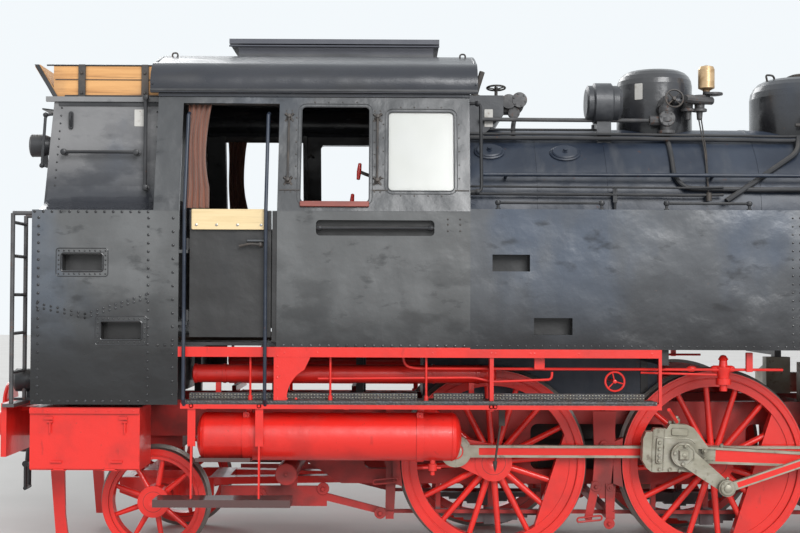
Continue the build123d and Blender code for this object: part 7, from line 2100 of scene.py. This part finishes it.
@dataclass
class FrontEnd:
    """Smokebox rivets and clamps, lamp glasses, beam rivets and brake hoses."""

    box_radius: float = 0.815
    height: float = 2.77
    ring_x: tuple[float, ...] = (3.19, 3.26, 4.9, 4.97)
    front_x: float = 5.0
    front_radius: float = 0.775
    clamp_radius: float = 0.69
    rail_x: float = 5.135
    rail_radius: float = 0.5
    beam_face: float = 5.642
    beam_rows: Flat = (0.885, 1.225)
    beam_y: Flat = (0.16, 1.34)
    buffer_bolts: tuple[Flat, ...] = ((0.725, 0.93), (0.725, 1.19), (1.025, 0.93), (1.025, 1.19))
    hoses: tuple[Flat, ...] = ((0.3, 0.82), (0.44, 0.84))
    tap: Profile = ((-0.045, 0.0), (-0.04, 0.016), (-0.02, 0.034), (0.02, 0.034), (0.04, 0.016), (0.045, 0.0))
    hose_socket: Profile = ((-0.01, 0.026), (0.02, 0.034), (0.05, 0.034), (0.055, 0.022), (0.056, 0.0))
    lamp_radius: float = 0.084
    lamp_faces: tuple[Four, ...] = (
        (5.63, 0.99, 1.418, 1.0), (5.63, -0.99, 1.418, 1.0), (-5.63, 0.99, 1.418, -1.0), (-5.63, -0.99, 1.418, -1.0),
        (-5.55, 0.9, 3.31, -1.0), (-5.55, -0.9, 3.31, -1.0), (5.13, 0.0, 3.725, 1.0),
    )

    def build(self) -> None:
        """Dresses the front end and both buffer beams."""
        self.smokebox()
        self.door()
        self.lamps()
        self.beams()

    def round_front(self, x: float, radius: float, turn: float) -> Point:
        """A point about the boiler's axis, turned from the left towards the top."""
        return (x, radius * math.cos(turn), self.height + radius * math.sin(turn))

    def smokebox(self) -> None:
        """Rivet rings round the smokebox and its front plate."""
        rows = Piece("smokebox_rivets", SOOTY_BLACK)
        for x in self.ring_x:
            for turn in arc_turns(-20.0, 200.0, 51):
                rows.rivets([self.round_front(x, self.box_radius, turn)], (0.0, math.cos(turn), math.sin(turn)), 0.01)
        rows.rivets([self.round_front(self.front_x, self.front_radius, turn) for turn in round_turns(64)], AHEAD, 0.01)
        rows.place()

    def door(self) -> None:
        """Clamps round the smokebox door, its hand-wheel and its rail; the hinge takes one clamp's place."""
        clamps = Piece("smokebox_door_clamps", SOOTY_BLACK)
        for turn in (2 * math.pi * (k + 0.5) / 12 for k in range(12)):
            if abs(math.cos(turn) + 1.0) < 0.1:
                continue
            along, radial = (0.0, -math.sin(turn), math.cos(turn)), (0.0, math.cos(turn), math.sin(turn))
            outline = rounded_outline(0.045, 0.085, 0.008)
            clamps.slab(self.round_front(5.006, self.clamp_radius, turn), along, radial, outline, 0.024, 0.004)
            clamps.bolts([self.round_front(5.03, self.clamp_radius, turn)], AHEAD, 0.026)
        clamps.place()
        wheel = Piece("smokebox_door_wheel", DARK_IRON, Body.FRONT_DOOR)
        wheel.hand_wheel((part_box("smokebox_door")[1].x - 0.022, 0.0, self.height), AHEAD, 0.15, 5).place()
        arc = [self.round_front(self.rail_x, self.rail_radius, turn) for turn in arc_turns(35.0, 145.0, 16)]
        rail = Piece("smokebox_door_rail", BRIGHT_STEEL, Body.FRONT_DOOR).tube(arc, 0.011)
        for point in (arc[1], arc[8], arc[15]):
            rail.tube([(5.02, point[1], point[2]), point], 0.009)
        rail.place()

    def lamps(self) -> None:
        """Glasses and rims of the lamps."""
        rims = Piece("lamp_rims", GREY_PIPE)
        glass = Piece("lamp_glasses", LAMP_LENS)
        r = self.lamp_radius
        for x, y, z, facing in self.lamp_faces:
            rims.hoop((x, y, z), (facing, 0.0, 0.0), r, 0.01, 32)
            dome = ((0.0, r * 0.95), (0.008, r * 0.7), (0.014, r * 0.35), (0.016, 0.0))
            glass.turn((x - facing * 0.004, y, z), (facing, 0.0, 0.0), dome, 28)
        rims.place()
        glass.place()

    def beams(self) -> None:
        """Rivets of both buffer beams, bolts behind the buffers, and the short brake hoses with their taps."""
        rows = Piece("beam_rivets", GEAR_RED)
        pipes = Piece("beam_pipes", GREY_PIPE)
        for end in (1.0, -1.0):
            facing = (end, 0.0, 0.0)
            for side in Side:

                def at(ahead: float, out: float, z: float) -> Point:
                    """A point ahead metres in front of this end's beam, on this side."""
                    return side.at(end * (self.beam_face + ahead), out, z)

                for z in self.beam_rows:
                    rows.rivets(spaced(*(at(0.0, out, z) for out in self.beam_y), 0.118), facing, 0.012)
                rows.bolts([at(0.0, out, z) for out, z in self.buffer_bolts], facing, 0.036)
                for out, low in self.hoses:
                    pipes.tube([at(-0.01, out, 0.96), at(0.1, out, 0.96), at(0.13, out, low)], 0.021, bend=0.07)
                    pipes.turn(at(0.115, out, 0.91), side.outward, self.tap, 16)
                    pipes.tube([at(0.115, out + 0.05, z) for z in (0.91, 0.82)], 0.009)
                    pipes.turn(at(0.13, out, low), (end * 0.12, 0.0, -1.0), self.hose_socket, 16)
        rows.place()
        pipes.place()


@dataclass
class CabInside:
    """Gauges, valves, levers, pipes and planks in the cab."""

    backhead: float = -2.455
    gauges: tuple[Point, ...] = (
        (-0.3, 3.32, 0.1), (0.0, 3.36, 0.12), (0.3, 3.32, 0.1), (0.56, 3.22, 0.075), (-0.56, 3.22, 0.075),
    )
    pipes: tuple[Point, ...] = ((0.3, 2.55, 3.22), (0.36, 2.45, 3.24), (0.56, 2.6, 3.15), (0.64, 2.2, 3.0))
    water_glass: Point = (0.18, 2.62, 2.98)
    cock: Profile = ((-0.01, 0.03), (0.03, 0.03), (0.035, 0.02), (0.09, 0.024), (0.095, 0.0))
    valve_wheels: tuple[Flat, ...] = ((-0.48, 2.95), (0.48, 2.95), (-0.1, 3.12), (0.12, 3.12), (0.42, 2.68))
    fire_door_z: float = 2.28
    levers_at: tuple[Four, ...] = ((-2.9, -1.02, 3.1, 0.12), (-2.96, -0.92, 2.86, -0.1))
    grip: Profile = ((-0.07, 0.0), (-0.065, 0.014), (0.0, 0.019), (0.065, 0.014), (0.072, 0.0))
    plank: Point = (1.88, 0.142, 0.022)

    def build(self) -> None:
        """Dresses the backhead and lays the floor's planks."""
        self.dials()
        self.pipework()
        self.levers()
        self.planks()

    def dials(self) -> None:
        """Pressure gauges with brass rims and plain white dials."""
        rims = Piece("gauge_rims", BRASS)
        faces = Piece("gauge_faces", WHITE_PLATE)
        hands = Piece("gauge_hands", SATIN_BLACK)
        x = self.backhead - 0.06
        for y, z, r in self.gauges:
            rim = (
                (-0.01, r * 0.8), (0.03, r), (0.07, r * 1.06), (0.078, r), (0.07, r * 0.92), (0.062, r * 0.9),
                (0.062, 0.0),
            )
            rims.turn((self.backhead, y, z), ASTERN, rim, 32)
            faces.turn((x - 0.001, y, z), ASTERN, ((0.0, r * 0.89), (0.003, r * 0.88), (0.003, 0.0)), 32)
            hands.tube([(x - 0.006, y + r * 0.15, z - r * 0.2), (x - 0.006, y - r * 0.4, z + r * 0.6)], 0.003, sides=6)
            for t in arc_turns(-50.0, 230.0, 10):
                mark = [(x - 0.004, y + r * s * math.cos(t), z + r * s * math.sin(t)) for s in (0.72, 0.83)]
                hands.tube(mark, 0.0015, sides=6)
        for piece in (rims, faces, hands):
            piece.place()

    def pipework(self) -> None:
        """Copper pipes, water-level glasses, valve wheels and the fire door's plates on the backhead."""
        copper = Piece("backhead_pipes", BRASS)
        head = self.backhead
        x = head - 0.035
        for side in Side:
            at = side.at
            for out, low, high in self.pipes:
                top = [at(x + 0.03, out, high), at(x, out, high - 0.04)]
                copper.tube([*top, at(x, out, low + 0.08), at(x + 0.04, out + 0.04, low)], 0.011, bend=0.04)
            out, *ends = self.water_glass
            copper.tube([at(head - 0.06, out, z) for z in ends], 0.016)
            for z in ends:
                copper.turn(at(head, out, z), ASTERN, self.cock, 14)
        copper.place()
        wheels = Piece("backhead_hand_wheels", GEAR_RED)
        for y, z in self.valve_wheels:
            wheels.hand_wheel((head - 0.1, y, z), ASTERN, 0.055, 4)
            wheels.tube([(head + 0.01, y, z), (head - 0.1, y, z)], 0.012)
        wheels.place()
        door = Piece("fire_door_dress", SOOTY_BLACK)
        for ahead, wide, high, corner, edge in ((0.004, 0.56, 0.42, 0.08, 0.002), (-0.014, 0.44, 0.32, 0.06, 0.006)):
            outline = rounded_outline(wide, high, corner)
            door.slab((head + ahead, 0.0, self.fire_door_z), RIGHTWARD, UP, outline, 0.02, edge)
        handle = [(head - 0.035, -0.2, 2.35), (head - 0.09, -0.16, 2.38), (head - 0.1, 0.1, 2.4)]
        door.tube(handle, 0.011, bend=0.03).place()

    def levers(self) -> None:
        """Red handles by the driver's place."""
        red = Piece("driver_levers", SIGNAL_RED)
        iron = Piece("driver_lever_stems", DARK_IRON)
        for x, y, z, lean in self.levers_at:
            iron.tube([(x, y, z), (x + 0.1, y, z - 0.04), (-2.46, y + 0.28, z - 0.1)], 0.014, bend=0.06)
            red.turn((x, y, z), (0.1, lean, 1.0), self.grip, 14)
        red.place()
        iron.place()

    def planks(self) -> None:
        """Floor boards of the cab."""
        boards = Piece("cab_floor_boards", DARK_PLANK)
        long, wide, thick = self.plank
        for y in (-0.825 + 0.15 * k for k in range(12)):
            boards.slab((-3.45, y, 1.741), AHEAD, LEFTWARD, rounded_outline(long, wide, 0.006, 2), thick, 0.003)
        boards.place()


@dataclass
class Studio:
    """The pale floor, the soft lights and the camera at the photograph's angle."""

    floor_z: float = -0.028
    floor_half: float = 60.0
    eye: Point = (-2.6217, -11.5, 2.0896)
    lens: float = 58.83
    sensor: float = 36.0
    yaw: float = math.radians(0.292)
    pitch: float = math.radians(1.362)
    roll: float = math.radians(0.238)
    sky: Colour = (0.9, 0.945, 0.975)
    light: float = 0.5
    key: float = 2.3
    fill: float = 0.9
    sun_angle: float = math.radians(30.0)
    far: float = 300.0

    def build(self) -> None:
        """Makes the floor, the world, the lamps and the camera."""
        self.floor()
        self.world()
        self.lamps()
        self.camera()
        bpy.context.scene.view_settings.view_transform = "Standard"

    def floor(self) -> None:
        """A wide pale floor at the foot of the flanges."""
        data = bpy.data.meshes.new("studio_floor")
        square = ((-1, -1), (1, -1), (1, 1), (-1, 1))
        corners = [(a * self.floor_half, b * self.floor_half, self.floor_z) for a, b in square]
        data.from_pydata(corners, [], [(0, 1, 2, 3)])
        pale = Finish(
            "floor_paint", Slot.BODY, (0.66, 0.66, 0.65), roughness=0.8,
            layers=(Layer((0.6, 0.6, 0.59), (Cloudy(0.8, 0.4, 0.7),), 0.6),),
        )
        data.materials.append(pale.material())
        made = bpy.data.objects.new("studio_floor", data)
        bpy.context.scene.collection.objects.link(made)
        made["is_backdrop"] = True

    def world(self) -> None:
        """An even sky that lights at a plain level and shows pale behind the locomotive."""
        world = bpy.data.worlds.new("studio_sky")
        bpy.context.scene.world = world
        world.use_nodes = True
        tree = world.node_tree
        tree.nodes.clear()
        path = add(tree, "LightPath", {}).outputs
        seen = sums(tree, "MAXIMUM", path["Is Camera Ray"], path["Is Glossy Ray"])
        seen = sums(tree, "MAXIMUM", seen, path["Is Transmission Ray"])
        lit = add(tree, "Background", {"Color": (1.0, 1.0, 1.0, 1.0), "Strength": self.light}).outputs[0]
        shown = add(tree, "Background", {"Color": (*self.sky, 1.0)}).outputs[0]
        blend = add(tree, "MixShader", {0: seen, 1: lit, 2: shown}).outputs[0]
        add(tree, "OutputWorld", {"Surface": blend})

    def lamps(self) -> None:
        """Two broad suns: a key from the front right, and a weak fill from the left."""
        suns = (("key_lamp", self.key, (-0.3, 0.85, -0.45)), ("fill_lamp", self.fill, (0.4, -0.85, -0.5)))
        for name, strength, direction in suns:
            data = bpy.data.lights.new(name, "SUN")
            data.energy = strength
            data.angle = self.sun_angle
            made = bpy.data.objects.new(name, data)
            made.rotation_mode = "QUATERNION"
            made.rotation_quaternion = Vector(direction).to_track_quat("-Z", "Y")
            bpy.context.scene.collection.objects.link(made)

    def camera(self) -> None:
        """The camera that was fitted to the photograph."""
        forward = Vector((math.sin(self.yaw), math.cos(self.yaw), 0.0))
        ahead = forward * math.cos(self.pitch) + Vector(UP) * math.sin(self.pitch)
        level = Vector((math.cos(self.yaw), -math.sin(self.yaw), 0.0))
        above = level.cross(ahead)
        right = level * math.cos(self.roll) + above * math.sin(self.roll)
        up = above * math.cos(self.roll) - level * math.sin(self.roll)
        data = bpy.data.cameras.new("photograph_camera")
        data.lens = self.lens
        data.sensor_width = self.sensor
        data.clip_end = self.far
        made = bpy.data.objects.new("photograph_camera", data)
        made.matrix_world = Matrix.Translation(self.eye) @ Matrix((right, up, -ahead)).transposed().to_4x4()
        bpy.context.scene.collection.objects.link(made)
        bpy.context.scene.camera = made


def main() -> None:
    """Builds the scene part by part."""
    assemblies = (
        Coats(), SideTanks(), CabSides(), CabFittings(), Bunker(), Roof(), BoilerDress(), LowFittings(),
        Motion(), Wheels(), FrontEnd(), CabInside(), Studio(),
    )
    for assembly in assemblies:
        log.info("building %s", type(assembly).__name__)
        assembly.build()
    dressed_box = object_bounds()
    {name: [list(corner) for corner in box] for name, box in (("cad", cad_box), ("scene", dressed_box))}


if __name__ == "__main__":
    logging.basicConfig(level=logging.INFO, format="%(message)s")
    main()
